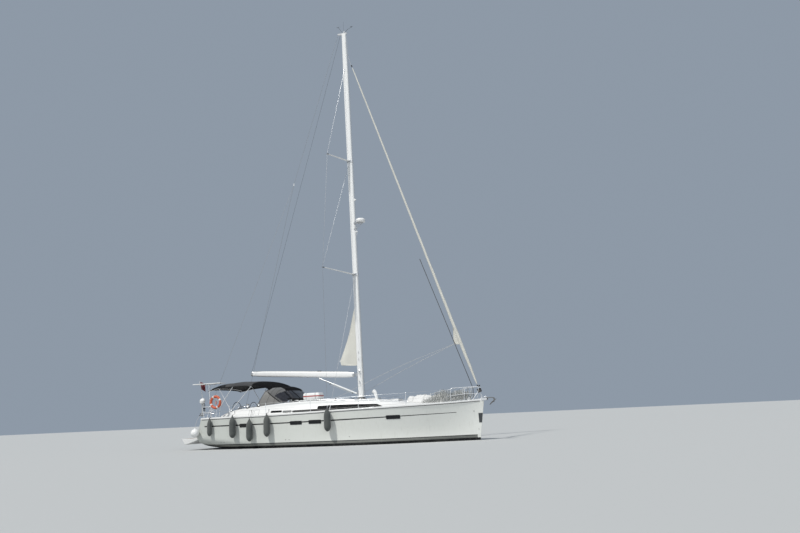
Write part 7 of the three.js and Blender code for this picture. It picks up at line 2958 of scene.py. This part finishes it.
print("liferaft, fenders, lifebuoy")
redBand = newFinish("redBand", (0.36, 0.035, 0.03), 0.4, amount=0.25, grime=(0.3, 0.2, 0.2), scale=5.0)


raftLook = {
    "centre": (-1.215, -0.755),
    "size": (0.472, 0.302, 0.162),
    "corner": 7.0,
    "bandHalf": 0.026,
    "straps": (-0.26, 0.26),
}


def roundedOutline(half, wide, power, count=64):
    return [(half * squared(math.cos(a), 2 / power), wide * squared(math.sin(a), 2 / power))
            for a in turns(count)]


def makeLiferaft():
    x, y = raftLook["centre"]
    long, wide, high = raftLook["size"]
    base = roofTop(-1.2, 0.75) + 0.045
    z = base + high
    band = raftLook["bandHalf"]
    levels = [(-high, 0.90), (-high + 0.006, 0.945), (-high + 0.022, 0.975), (-high + 0.05, 0.99),
              (-band - 0.004, 1.0), (-band, 1.006), (band, 1.006), (band + 0.004, 1.0), (high - 0.07, 0.99),
              (high - 0.035, 0.97), (high - 0.012, 0.93), (high - 0.003, 0.87), (high, 0.78)]
    outline = roundedOutline(long, wide, raftLook["corner"])
    rows = [[(x + u * share, y + v * share, z + up) for u, v in outline] for up, share in levels]
    mesh = painted("canister", solid(rows), whiteShell)
    mesh.materials.append(redBand)
    for polygon in mesh.polygons:
        if abs(polygon.center.z - z) < band + 0.001:
            polygon.material_index = 1
    seams = [[(x + u * 1.008, y + v * 1.008, z + up) for u, v in outline + outline[:1]]
             for up in (-band - 0.008, band + 0.008)]
    straps, cradle = [], []
    for dx in raftLook["straps"]:
        loop = [(x + dx, y + side * (wide + 0.004), z + up * (high + 0.004))
                for side, up in ((-1, -0.95), (-1, 0.78), (-0.86, 1.0), (0.86, 1.0), (1, 0.78), (1, -0.95))]
        straps.append(roundedPath(loop, 0.04))
        for side in (-1, 1):
            yy = y + side * 0.285
            foot = roofTop(x + dx, abs(yy)) - 0.01
            cradle.append(box((x + dx - 0.035, x + dx + 0.035), (yy - 0.035, yy + 0.035),
                              (foot, base + 0.012)))
        cradle.append(box((x + dx - 0.025, x + dx + 0.025), (y - 0.30, y + 0.30),
                          (base - 0.012, base + 0.008)))
    meshes = [mesh, lines("rim", seams, 0.004, whiteShell, 6), lines("straps", straps, 0.007, darkRope, 6),
              painted("cradle", cradle, stainless)]
    addPiece("raftCanister", meshes, whiteShell, stands=["liferaft"], angle=45)


makeLiferaft()
fenderCloth = newCloth("fenderCover", (0.058, 0.066, 0.064), 0.004, contrast=0.3, amount=0.4,
                       grime=(0.13, 0.135, 0.125))
# columns: x, height of the middle, radius, half length
fenderRows = [
    (-6.48, 1.115, 0.125, 0.430),
    (-4.99, 1.090, 0.165, 0.540),
    (-3.96, 0.900, 0.165, 0.540),
    (-2.925, 1.095, 0.165, 0.540),
    (0.44, 1.240, 0.165, 0.540),
]
# shares of the radius and of half the length
fenderProfile = [
    (0.03, -1.0), (0.22, -0.985), (0.42, -0.935), (0.68, -0.85), (0.88, -0.76), (0.98, -0.66), (1.0, -0.56),
    (1.0, 0.0), (0.99, 0.36), (0.93, 0.52), (0.80, 0.66), (0.62, 0.78), (0.45, 0.87), (0.31, 0.93),
    (0.21, 0.98),
]


def makeFender(index, x, middle, wide, long):
    half = max(-hullPoint(x, z).y for z in (middle - 0.3, middle, middle + 0.3))
    y = -(half + 0.012 + wide)
    rows = []
    steps = 4
    dense = [(r0 + (r1 - r0) * k / steps, d0 + (d1 - d0) * k / steps)
             for (r0, d0), (r1, d1) in zip(fenderProfile, fenderProfile[1:]) for k in range(steps)]
    dense = dense + fenderProfile[-1:]
    for share, place in dense:
        row = []
        for k in range(40):
            a = 2 * math.pi * k / 40
            sag = 0.006 * noise.noise(Vector((math.cos(a) * 1.5 + index * 7, math.sin(a) * 1.5, place * 2.7)))
            pucker = 0.004 * math.cos(10 * a) * min(max((abs(place) - 0.66) / 0.22, 0), 1)
            r = max(wide * share + sag * share + pucker * min(share * 3, 1), 0.003)
            row.append((x + r * math.cos(a), y + r * math.sin(a) * (1 - 0.05 * max(math.sin(a), 0) * share),
                        middle + place * long))
        rows.append(row)
    top = middle + long
    meshes = [painted("cover", solid(rows), fenderCloth)]
    neck = turned([(0.036, -0.027), (0.042, -0.023), (0.042, 0.001), (0.020, 0.015), (0.012, 0.040)],
                  (x, y, top), (0, 0, 1), 20)
    eye = ring((x, y, top + 0.050), (1, 0, 0), 0.022, 0.009, 20, 8)
    drawstring = ring((x, y, top - 0.055), (0, 0, 1), wide * 0.34, 0.005, 28, 6)
    meshes.append(painted("neck", [neck, eye], blackPlastic))
    meshes.append(painted("drawstring", drawstring, darkRope))
    rail = Vector((x, -(edgeHalf(placeOf(x)) - 0.054), edgeZ(x) + 0.342))
    edge = Vector((x, -(edgeHalf(placeOf(x)) + 0.012), max(edgeZ(x) + 0.035, top + 0.09)))
    knotTop = Vector((x, y, top + 0.065))
    path = curveThrough([knotTop, (knotTop + edge) / 2 + Vector((0, 0.004, 0)), edge,
                         Vector((x, rail.y - 0.004, rail.z - 0.02))], 6)
    knot = ring(rail + Vector((0, 0, -0.004)), (1, 0, 0), 0.014, 0.007, 14, 6)
    hitch = tube(curveThrough([rail + Vector(step)
                               for step in ((0.012, -0.014, 0.008), (0.014, 0.012, 0.006),
                                            (0.012, -0.004, -0.03), (0.03, -0.008, -0.14))], 5), 0.006, 6)
    tie = ring((x, y, top + 0.067), (0, 1, 0), 0.012, 0.006, 14, 6)
    meshes += [lines("lanyard", [path], 0.0065, darkRope, 8), painted("knots", [knot, hitch, tie], darkRope)]
    addPiece("fender%dCover" % (index + 1), meshes, fenderCloth,
             stands=["fender_%d" % (index + 1)], angle=60)


ballLook = {"centre": (-7.40, -2.19, 0.875), "radius": 0.214, "high": 0.216}


def makeBallFender():
    centre = Vector(ballLook["centre"])
    profile = []
    for i in range(25):
        a = math.pi * i / 24
        profile.append((0.0015 + ballLook["radius"] * math.sin(a), -ballLook["high"] * math.cos(a)))
    ball = turned(profile, centre, (0, 0, 1), 44)
    cap = turned([(0.100, 0.178), (0.070, 0.206), (0.046, 0.222), (0.040, 0.236), (0.020, 0.242)], centre,
                 (0, 0, 1), 28)
    eye = ring(centre + Vector((0, 0, 0.244)), (1, 0, 0), 0.018, 0.008, 20, 8)
    path = curveThrough([centre + Vector((0, 0, 0.258)), Vector((-7.37, -2.15, 1.36)),
                         Vector((-7.33, -2.06, 1.58)), Vector((-7.21, -1.95, 1.80)),
                         Vector((-7.165, -1.905, 1.90))], 6)
    knot = ring(path[-1], (0, 1, 0), 0.016, 0.007, 14, 6)
    meshes = [painted("ball", [ball, cap], whiteShell), painted("eye", eye, whiteShell),
              lines("line", [path], 0.0065, rope, 8), painted("knot", knot, rope)]
    addPiece("ballFender", meshes, whiteShell, stands=["ball_fender"], angle=45)


for number, fender in enumerate(fenderRows):
    makeFender(number, *fender)
makeBallFender()
buoyOrange = newFinish("buoyOrange", (0.46, 0.085, 0.035), 0.55, amount=0.25, grime=(0.36, 0.10, 0.06),
                       scale=5.0)
reflective = newFinish("reflectiveBand", (0.62, 0.62, 0.60), 0.35, amount=0.2, grime=(0.4, 0.4, 0.38),
                       scale=8.0)


buoyLook = {
    "centre": (-6.145, -2.16, 2.39),
    "radius": 0.284,
    "thick": 0.065,
    "bands": (25, 115, 205, 295),      # degrees
    "loops": (70, 160, 250, 340),
}


def makeLifebuoy():
    centre = Vector(buoyLook["centre"])
    radius, thick, sides = buoyLook["radius"], buoyLook["thick"], 20
    mesh = painted("ring", ring(centre, (0, 1, 0), radius, thick, 96, sides), buoyOrange)
    bands = []
    for quarter in buoyLook["bands"]:
        part = []
        for i in range(7):
            a = math.radians(quarter + (i - 3) * 2.6)
            out = Vector((math.cos(a), 0, math.sin(a)))
            grow = 1.035 if 0 < i < 6 else 1.0
            part.append([centre + out * (radius + thick * grow * math.cos(b))
                         + Vector((0, 1, 0)) * thick * grow * math.sin(b) for b in turns(sides)])
        bands.append(solid(part))
    grab = []
    for quarter in buoyLook["loops"]:
        path = []
        for i in range(13):
            a = math.radians(quarter - 41 + 82 * i / 12)
            slack = math.sin(math.pi * i / 12)
            out = Vector((math.cos(a), 0, math.sin(a))) * (radius + thick * 0.93 + 0.030 * slack)
            path.append(centre + out + Vector((0, -0.012, -0.008 * slack)))
        grab.append(path)
    light = turned([(0.012, -0.09), (0.030, -0.085), (0.032, 0.02), (0.024, 0.035), (0.024, 0.085),
                    (0.010, 0.095)], centre + Vector((0.02, 0.01, -0.03)), (0.25, 0, 1), 20)
    coil = []
    for k in range(3):
        coil.append(ring(centre + Vector((0.02, 0.035 + 0.012 * k, 0.02)), (0.1 * k, 1, 0.08),
                         0.105 - 0.010 * k, 0.006, 32, 6))
    rod = [railFoot(centre.x), Vector((centre.x, -2.09, 2.65))]
    hooks = []
    for dx in (-0.10, 0.10):
        top = Vector((centre.x + dx, -2.09, 2.61))
        hooks.append(roundedPath([Vector((centre.x, -2.09, 2.59)), top, centre + Vector((dx, 0.03, 0.20))],
                                 0.03))
    meshes = [mesh, painted("bands", bands, reflective), lines("grabLine", grab, 0.005, rope, 6),
              painted("light", light, lightCase), painted("coil", coil, rope),
              lines("holder", [rod] + hooks, 0.009, stainless, 8)]
    addPiece("lifebuoyRing", meshes, buoyOrange, stands=["lifebuoy"], angle=45)


lightCase = newFinish("lightCase", (0.45, 0.20, 0.18), 0.55, amount=0.25, grime=(0.3, 0.2, 0.2), scale=6.0)
makeLifebuoy()

print("outboard, panel, ensign")


outboardLook = {"place": (-7.29, -1.70), "cowl": (0.150, 0.115, 0.140), "cowlZ": 2.50, "shaftZ": 1.79,
                "blades": 3}


def makeOutboard():
    x, y = outboardLook["place"]
    long, wide, tall = outboardLook["cowl"]
    shaftZ = outboardLook["shaftZ"]
    cowl = []
    for i in range(23):
        t = i / 22
        a = math.pi * t
        high = -math.cos(a)
        level = math.sin(a) ** 0.72 if 0 < t < 1 else 0.01
        z = outboardLook["cowlZ"] + tall * high
        nose = 0.02 * high
        row = []
        for k in range(36):
            b = 2 * math.pi * k / 36
            cx = squared(math.cos(b), 0.85) * long
            cy = squared(math.sin(b), 0.85) * wide
            row.append((x + nose + cx * level, y + cy * level, z))
        cowl.append(row)
    seam = [(x - 0.003 + 0.149 * squared(math.cos(b), 0.85), y + 0.1145 * squared(math.sin(b), 0.85), 2.485)
            for b in (2 * math.pi * k / 36 for k in range(37))]
    leg = []
    for z, deep, broad in ((2.40, 0.075, 0.058), (2.34, 0.058, 0.045), (2.20, 0.046, 0.032),
                           (1.98, 0.042, 0.027), (1.86, 0.046, 0.026), (1.80, 0.060, 0.022)):
        leg.append([(x + deep * math.cos(b), y + broad * math.sin(b), z) for b in turns(20)])
    gear = turned([(0.006, -0.130), (0.026, -0.105), (0.040, -0.05), (0.043, 0.0), (0.040, 0.05),
                   (0.030, 0.10), (0.016, 0.128)], (x, y, shaftZ), (1, 0, 0), 24)
    plate = slab([(x - 0.15, y - 0.02), (x - 0.12, y - 0.055), (x + 0.05, y - 0.05), (x + 0.08, y),
                  (x + 0.05, y + 0.05), (x - 0.12, y + 0.055), (x - 0.15, y + 0.02)], 1.862, 1.870, "xy")
    skeg = slab([(x - 0.05, 1.760), (x + 0.06, 1.752), (x + 0.02, 1.690), (x - 0.05, 1.672)], y - 0.005,
                y + 0.005)
    blade = slab([(0.0, 0.010), (0.022, 0.035), (0.030, 0.075), (0.012, 0.098), (-0.014, 0.092),
                  (-0.018, 0.04)], y - 0.004, y + 0.004)
    turnedBlade = [(p[1] - y, p[0], p[2]) for p in blade[0]], blade[1]
    blades = roundAxis("smallBlades", turnedBlade, outboardLook["blades"], (1, 0, 0), blackPlastic,
                       (x - 0.135, y, shaftZ))
    clamp = joined([box((x + 0.04, x + 0.132), (y - 0.075, y + 0.075), (2.09, 2.145)),
                    box((x + 0.075, x + 0.095), (y - 0.070, y - 0.050), (1.96, 2.12)),
                    box((x + 0.075, x + 0.095), (y + 0.050, y + 0.070), (1.96, 2.12)),
                    tube([(x + 0.10, y - 0.05, 2.03), (x + 0.165, y - 0.05, 2.03)], 0.008, 8),
                    tube([(x + 0.10, y + 0.05, 2.03), (x + 0.165, y + 0.05, 2.03)], 0.008, 8)])
    tiller = tube(roundedPath([(x + 0.05, y + 0.02, 2.37), (x + 0.12, y + 0.03, 2.36),
                               (x + 0.125, y + 0.035, 2.18)], 0.03), [0.014] * 4 + [0.017] * 5, 12)
    meshes = [painted("cowl", solid(cowl), whiteShell), lines("seam", [seam], 0.0035, blackPlastic, 6),
              painted("leg", [solid(leg), gear, plate, skeg], outboardGrey),
              painted("clamp", [clamp, tiller], blackPlastic), blades]
    addPiece("outboardEngine", meshes, whiteShell, stands=["outboard_motor"], angle=45)


outboardGrey = newFinish("outboardGrey", (0.30, 0.31, 0.32), 0.4, amount=0.2, grime=(0.2, 0.2, 0.2),
                         scale=4.0)
makeOutboard()


panelLook = {
    "x": (-7.65, -5.95),
    "y": (-2.06, -1.54),
    "z": (3.350, 3.385),
    "rim": 0.022,
    "cell": (0.1585, 0.158),
    "cellColour": (0.012, 0.016, 0.035),
    "lineColour": (0.22, 0.23, 0.26),
    "pole": 0.020,
}


def makeSolarFinish():
    material = newFinish("solarCells", panelLook["cellColour"], 0.12, amount=0.1, grime=(0.06, 0.06, 0.07),
                         Coat_Weight=0.8)
    n = Nodes(material.node_tree)
    place = n.add("ShaderNodeSeparateXYZ", {"Vector": n.objectPlace()}).outputs
    gaps = []
    for axis, size in zip(("X", "Y"), panelLook["cell"]):
        cell = n.maths("FRACT", n.maths("DIVIDE", n.maths("ADD", place[axis], 20.0), size))
        gaps.append(n.maths("GREATER_THAN", n.maths("ABSOLUTE", n.maths("SUBTRACT", cell, 0.5)), 0.482))
    share = n.maths("MULTIPLY", n.maths("MAXIMUM", *gaps), 0.5)
    cells, seams = rgba(panelLook["cellColour"]), rgba(panelLook["lineColour"])
    paintOver(material, lambda made: made.blendColours(share, cells, seams))
    return material


def makePanel():
    (low, high), (near, far), (z0, z1) = panelLook["x"], panelLook["y"], panelLook["z"]
    rim = panelLook["rim"]
    glass = box((low + rim, high - rim), (near + rim, far - rim), (z1 - 0.012, z1 - 0.004))
    back = box((low + rim, high - rim), (near + rim, far - rim), (z1 - 0.018, z1 - 0.012))
    frame = []
    for x0, x1, y0, y1 in ((low, high, near, near + rim), (low, high, far - rim, far),
                           (low, low + rim, near + rim, far - rim),
                           (high - rim, high, near + rim, far - rim)):
        frame.append(box((x0, x1), (y0, y1), (z0, z1)))
    for x in (-7.05, -6.55):
        frame.append(box((x - 0.02, x + 0.02), (near + 0.03, far - 0.03), (z0 - 0.030, z0 + 0.004)))
    meshes = [painted("glass", glass, solarFinish), painted("back", back, whiteShell),
              painted("frame", frame, whiteShell)]
    foot = Vector((-6.70, -1.79, deckTop(-6.70, 1.79)))
    head = Vector((-6.83, -1.79, 3.335))
    stay = [head + Vector((0.02, 0, -0.45)), Vector((-6.45, -1.79, 3.33))]
    meshes.append(lines("pole", [[foot, head]], panelLook["pole"], stainless, 16))
    meshes.append(lines("stay", [stay, [head + Vector((0, 0.02, -0.40)), Vector((-6.83, -1.60, 3.33))]],
                        0.008, stainless, 8))
    meshes.append(painted("fittings",
                          [footPlate(foot, 0.055),
                           box((head.x - 0.10, head.x + 0.10), (-1.84, -1.74), (3.318, 3.336)),
                           turned([(0.024, 0), (0.027, 0.004), (0.027, 0.05), (0.024, 0.054)],
                                  head + Vector((0, 0, -0.07)), (0, 0, 1), 20)], stainless))
    cable = curveThrough([Vector((-6.95, -1.78, 3.345)), Vector((-6.90, -1.815, 3.20)),
                          head + Vector((0.030, -0.022, -0.5)), foot + Vector((-0.06, -0.024, 0.6)),
                          foot + Vector((-0.012, -0.022, 0.02))], 6)
    meshes.append(lines("cable", [cable], 0.0035, blackPlastic, 6))
    addPiece("solarPanel", meshes, sparAlloy, stands=["solar_panel"], angle=35)


solarFinish = makeSolarFinish()
makePanel()
ensignRed = newCloth("ensignRed", (0.135, 0.012, 0.018), 0.003, contrast=0.15, amount=0.2,
                     grime=(0.10, 0.02, 0.03))
staffFoot = Vector((-7.262, -1.475, deckTop(-6.9, 1.9) + 0.28))
staffTop = Vector((-7.64, -1.475, 3.56))
staffWhite = newFinish("whiteStaff", (0.62, 0.62, 0.60), 0.3, amount=0.2, grime=(0.4, 0.4, 0.36),
                       Coat_Weight=0.4)


ensignLook = {"hoist": 0.40, "fly": 0.330, "droop": 0.30, "fold": 0.026}


def makeEnsign():
    along = (staffTop - staffFoot).normalized()
    length = (staffTop - staffFoot).length
    staff = turned([(0.010, 0), (0.014, 0.01), (0.0135, length * 0.5), (0.011, length - 0.05),
                    (0.010, length - 0.03), (0.018, length - 0.015), (0.012, length)], staffFoot, along, 16)
    brackets = []
    topZ = deckTop(-6.9, 1.9) + railLook["high"]
    for z in (topZ, topZ - 0.30):
        spot = staffFoot + along * ((z - staffFoot.z) / along.z)
        brackets.append(box((spot.x - 0.018, -7.16), (-1.490, -1.460), (z - 0.016, z + 0.016)))
    meshes = [painted("staff", staff, staffWhite), painted("brackets", brackets, stainless)]
    addPiece("ensignPole", meshes, staffWhite, stands=["ensign_staff"], angle=45)
    # The flag hangs slack from the top of the staff in soft folds
    rows = []
    top = staffTop - along * 0.05
    for i in range(31):
        t = i / 30
        start = top - along * (ensignLook["hoist"] * t)
        row = []
        for k in range(33):
            s = k / 32
            droop = ensignLook["droop"] * s ** 1.3
            fold = ensignLook["fold"] * math.sin(9 * s + 1.5 * t) * s ** 0.4
            out = 0.020 + ensignLook["fly"] * s ** 0.85 * (1 - 0.18 * t) + 0.010 * math.sin(5 * s + 3 * t)
            row.append(start + Vector((out, fold, -droop * (0.42 + 0.15 * t))))
        rows.append(row)
    whole = merged("ensignFlag", [painted("flag", thickened(rows, 0.0016), ensignRed)])
    uvSheet(whole, 0, 2)
    piece = addPiece("ensignFlag", whole, ensignRed, stands=["ensign"], angle=80)


makeEnsign()

print("platform, keel, rudder and drive")


# outline: distance aft of the hinge and above it
platformLook = {
    "outline": [(0.015, 0.025), (1.150, 0.025), (0.945, -0.285), (0.700, -0.232), (0.450, -0.162),
                (0.220, -0.092), (0.060, -0.045), (0.015, -0.020)],
    "half": 1.720,
    "ladder": (-0.20, 0.20),
    "rungs": 4,
}


def makePlatform():
    half = platformLook["half"]
    shape = slab([(hingeX - aft, hingeZ + up) for aft, up in platformLook["outline"]], -half, half)
    body = plainObject("platformBody", shape, deckFinish)
    mesh = body.data.copy()
    bpy.data.objects.remove(body)
    addPiece("platformShell", mesh, hullFinish, body="swim_platform",
             stands=["swim_platform"], angle=30, bevel=0.018)
    boardsMesh = boards("platformBoards", (-8.50, -7.50), (-1.60, 1.60), hingeZ + 0.0235, along="y")
    addPiece("platformTeak", boardsMesh, teak, body="swim_platform", angle=30)
    parts = []
    for side in (-1, 1):
        parts.append(turned([(0.0115, 1.68), (0.0115, 1.758)], (hingeX, 0, hingeZ), (0, side, 0), 16))
        parts.append(tube(roundedPath([(-7.62, side * 1.66, 0.590), (-7.62, side * 1.66, 0.600),
                                       (-7.86, side * 1.66, 0.600), (-7.86, side * 1.66, 0.590)], 0.004),
                          0.009, 10))
    # Bathing ladder folded on the platform
    rails, rungs = [], []
    for y in platformLook["ladder"]:
        rails.append(roundedPath([(-7.70, y, 0.599), (-8.46, y, 0.599), (-8.54, y, 0.594)], 0.01))
    for k in range(platformLook["rungs"]):
        x = -7.80 - 0.20 * k
        rungs.append(box((x - 0.030, x + 0.030), (-0.195, 0.195), (0.596, 0.6095)))
    pads = [box((-8.56, -8.50), sorted((y - 0.03, y + 0.03)), (0.590, 0.609)) for y in platformLook["ladder"]]
    meshes = [lines("ladderRails", rails, 0.011, stainless, 10), painted("pins", parts + pads, stainless),
              painted("rungs", rungs, teak)]
    addPiece("platformGear", meshes, stainless, body="swim_platform", angle=45)


makePlatform()
antifoul = newFinish("antifouling", (0.028, 0.03, 0.034), 0.7, amount=0.35, grime=(0.09, 0.10, 0.085),
                     scale=2.0, depth=0.01)
foilHalf = [(0.0, 0.0), (0.012, 0.16), (0.03, 0.26), (0.07, 0.38), (0.14, 0.47), (0.25, 0.50), (0.38, 0.485),
            (0.52, 0.42), (0.66, 0.33), (0.80, 0.21), (0.92, 0.10), (1.0, 0.012)]


def foilRow(lead, trail, thick, z):
    chord = lead - trail
    row = [(lead - chord * s, thick * w, z) for s, w in foilHalf]
    row += [(lead - chord * s, -thick * w, z) for s, w in reversed(foilHalf[1:])]
    return row


# rows: leading and trailing edge, thickness, height
keelRows = [(1.05, -0.80, 0.21, -0.35), (1.035, -0.775, 0.206, -0.60), (1.00, -0.74, 0.20, -0.90),
            (0.93, -0.70, 0.188, -1.40), (0.82, -0.64, 0.17, -2.06)]
bulbProfile = [(0.0, 1.15), (0.045, 1.10), (0.09, 1.00), (0.122, 0.83), (0.14, 0.65), (0.149, 0.4),
               (0.15, 0.10), (0.136, -0.25), (0.11, -0.60), (0.078, -0.85), (0.05, -1.05), (0.0, -1.20)]
bulbCentre = (0.06, -2.11)
rudderRows = [(-5.58, -6.36, 0.12, -0.33), (-5.585, -6.34, 0.115, -0.60), (-5.60, -6.28, 0.10, -1.10),
              (-5.62, -6.20, 0.085, -1.55), (-5.64, -6.13, 0.07, -1.86), (-5.70, -6.08, 0.03, -1.88)]
driveRows = [(-1.44, -1.76, 0.11, -0.42), (-1.45, -1.75, 0.10, -0.65), (-1.48, -1.73, 0.08, -0.97)]
propellerLook = {"blades": 3, "radii": (0.035, 0.230), "chord": 0.072, "pitch": (62, 28)}
shaftZ = -0.96


def foil(rows):
    return solid([foilRow(*row) for row in rows])


def makeKeel():
    fin = foil(keelRows)
    middle, height = bulbCentre
    rows = []
    for radius, along in bulbProfile:
        radius = max(radius, 0.003)
        rows.append([(middle + along, 1.6 * radius * math.cos(a), height + 0.95 * radius * math.sin(a))
                     for a in turns(36)])
    bulb = solid(rows)
    addPiece("keelFin", joined([fin, bulb]), antifoul, stands=["keel"], angle=40)


def makeRudder():
    blade = foil(rudderRows)
    stock = turned([(0.045, -0.34), (0.045, 0.38)], (-5.75, 0, 0), (0, 0, 1), 28)
    meshes = [painted("blade", blade, antifoul), painted("stock", stock, stainless)]
    addPiece("rudderBlade", meshes, antifoul, body="rudder", stands=["rudder"], angle=40)


def makeDrive():
    leg = foil(driveRows)
    pod = turned([(0.008, -1.42), (0.040, -1.455), (0.058, -1.52), (0.062, -1.60), (0.062, -1.74),
                  (0.058, -1.86)], (0, 0, shaftZ), (1, 0, 0), 32)
    anode = turned([(0.046, -1.866), (0.056, -1.862), (0.056, -1.848), (0.050, -1.84)], (0, 0, shaftZ),
                   (1, 0, 0), 28)
    meshes = [painted("leg", [leg, pod], drivePaint), painted("anode", anode, galvanised)]
    addPiece("driveLeg", meshes, drivePaint, stands=["saildrive_leg"], angle=40)
    hub = turned([(0.050, 1.890), (0.050, 1.955), (0.046, 1.975), (0.034, 1.998), (0.018, 2.010)],
                 (0, 0, shaftZ), (-1, 0, 0), 32)
    rows = []
    root, tip = propellerLook["radii"]
    steep, flat = propellerLook["pitch"]
    for i in range(15):
        t = i / 14
        radius = root + (tip - root) * t
        chord = propellerLook["chord"] * math.sin(math.pi * min(0.16 + 0.84 * t, 1.0)) ** 0.6 + 0.003
        pitch = math.radians(steep + (flat - steep) * t)
        row = []
        for k in range(16):
            b = 2 * math.pi * k / 16
            u, v = chord * math.cos(b), 0.006 * (1 - 0.6 * t) * math.sin(b)
            along = u * math.cos(pitch) - v * math.sin(pitch)
            across = u * math.sin(pitch) + v * math.cos(pitch)
            row.append((-1.935 + along * 0.42, across, radius))
        rows.append(row)
    blades = roundAxis("propellerBlades", solid(rows), propellerLook["blades"], (1, 0, 0), bronze,
                       (0, 0, shaftZ))
    addPiece("propellerBronze", [painted("hub", hub, bronze), blades], bronze,
             body="propeller", stands=["propeller"], angle=40)


drivePaint = newFinish("drivePaint", (0.26, 0.28, 0.31), 0.45, amount=0.3, grime=(0.16, 0.17, 0.15),
                       scale=5.0)
bronze = newFinish("bronze", (0.48, 0.31, 0.12), 0.3, 1.0, amount=0.3, grime=(0.16, 0.20, 0.14), scale=7.0)
makeKeel()
makeRudder()
makeDrive()

print("sheets")


sheetLook = {
    "radius": 0.006,
    "sag": (3.4, 0.62, 3.62),
    "led": [(-0.1, 1.02), (-1.2, 0.99), (-2.2, 0.965), (-2.42, 1.01)],
    "dark": [(4.62, -0.02, 9.0), (5.96, -0.05, 5.35), (7.03, -0.10, 2.43)],
    "darkRadius": 0.018,
}


def makeSheets():
    runs = []
    sagX, sagOut, sagZ = sheetLook["sag"]
    place, out = controlLook["car"], controlLook["trackOut"]
    for side in (-1, 1):
        car = Vector((place, side * out, roofTop(place, out) + 0.085))
        runs.append(curveThrough([clewEye + Vector((0, side * 0.01, 0)), Vector((sagX, side * sagOut, sagZ)),
                                  car], 10)
                    + [Vector((x, side * y, roofTop(x, y) + 0.012)) for x, y in sheetLook["led"]])
    pieces = lines("headsailSheets", runs, sheetLook["radius"], rope, 6)
    addPiece("headsailSheets", pieces, rope)
    dark = [sheetLook["dark"] + [(7.05, -0.12, deckTop(7.05, 0.1) + 0.01)]]
    addPiece("darkLine", lines("darkLine", dark, sheetLook["darkRadius"], darkRope, 8), darkRope)
    furling = [Vector((7.36, -0.10, 2.30))] + [Vector((x, -(edgeY(x) - 0.085), deckTop(x, edgeY(x)) + 0.115))
                                               for x in (6.95, 6.15, 4.2, 1.94, -0.58, -3.12, -5.0)]
    addPiece("furlingLine", lines("furlingLine", [furling], 0.0045, rope, 6), rope)


makeSheets()

print("finish")
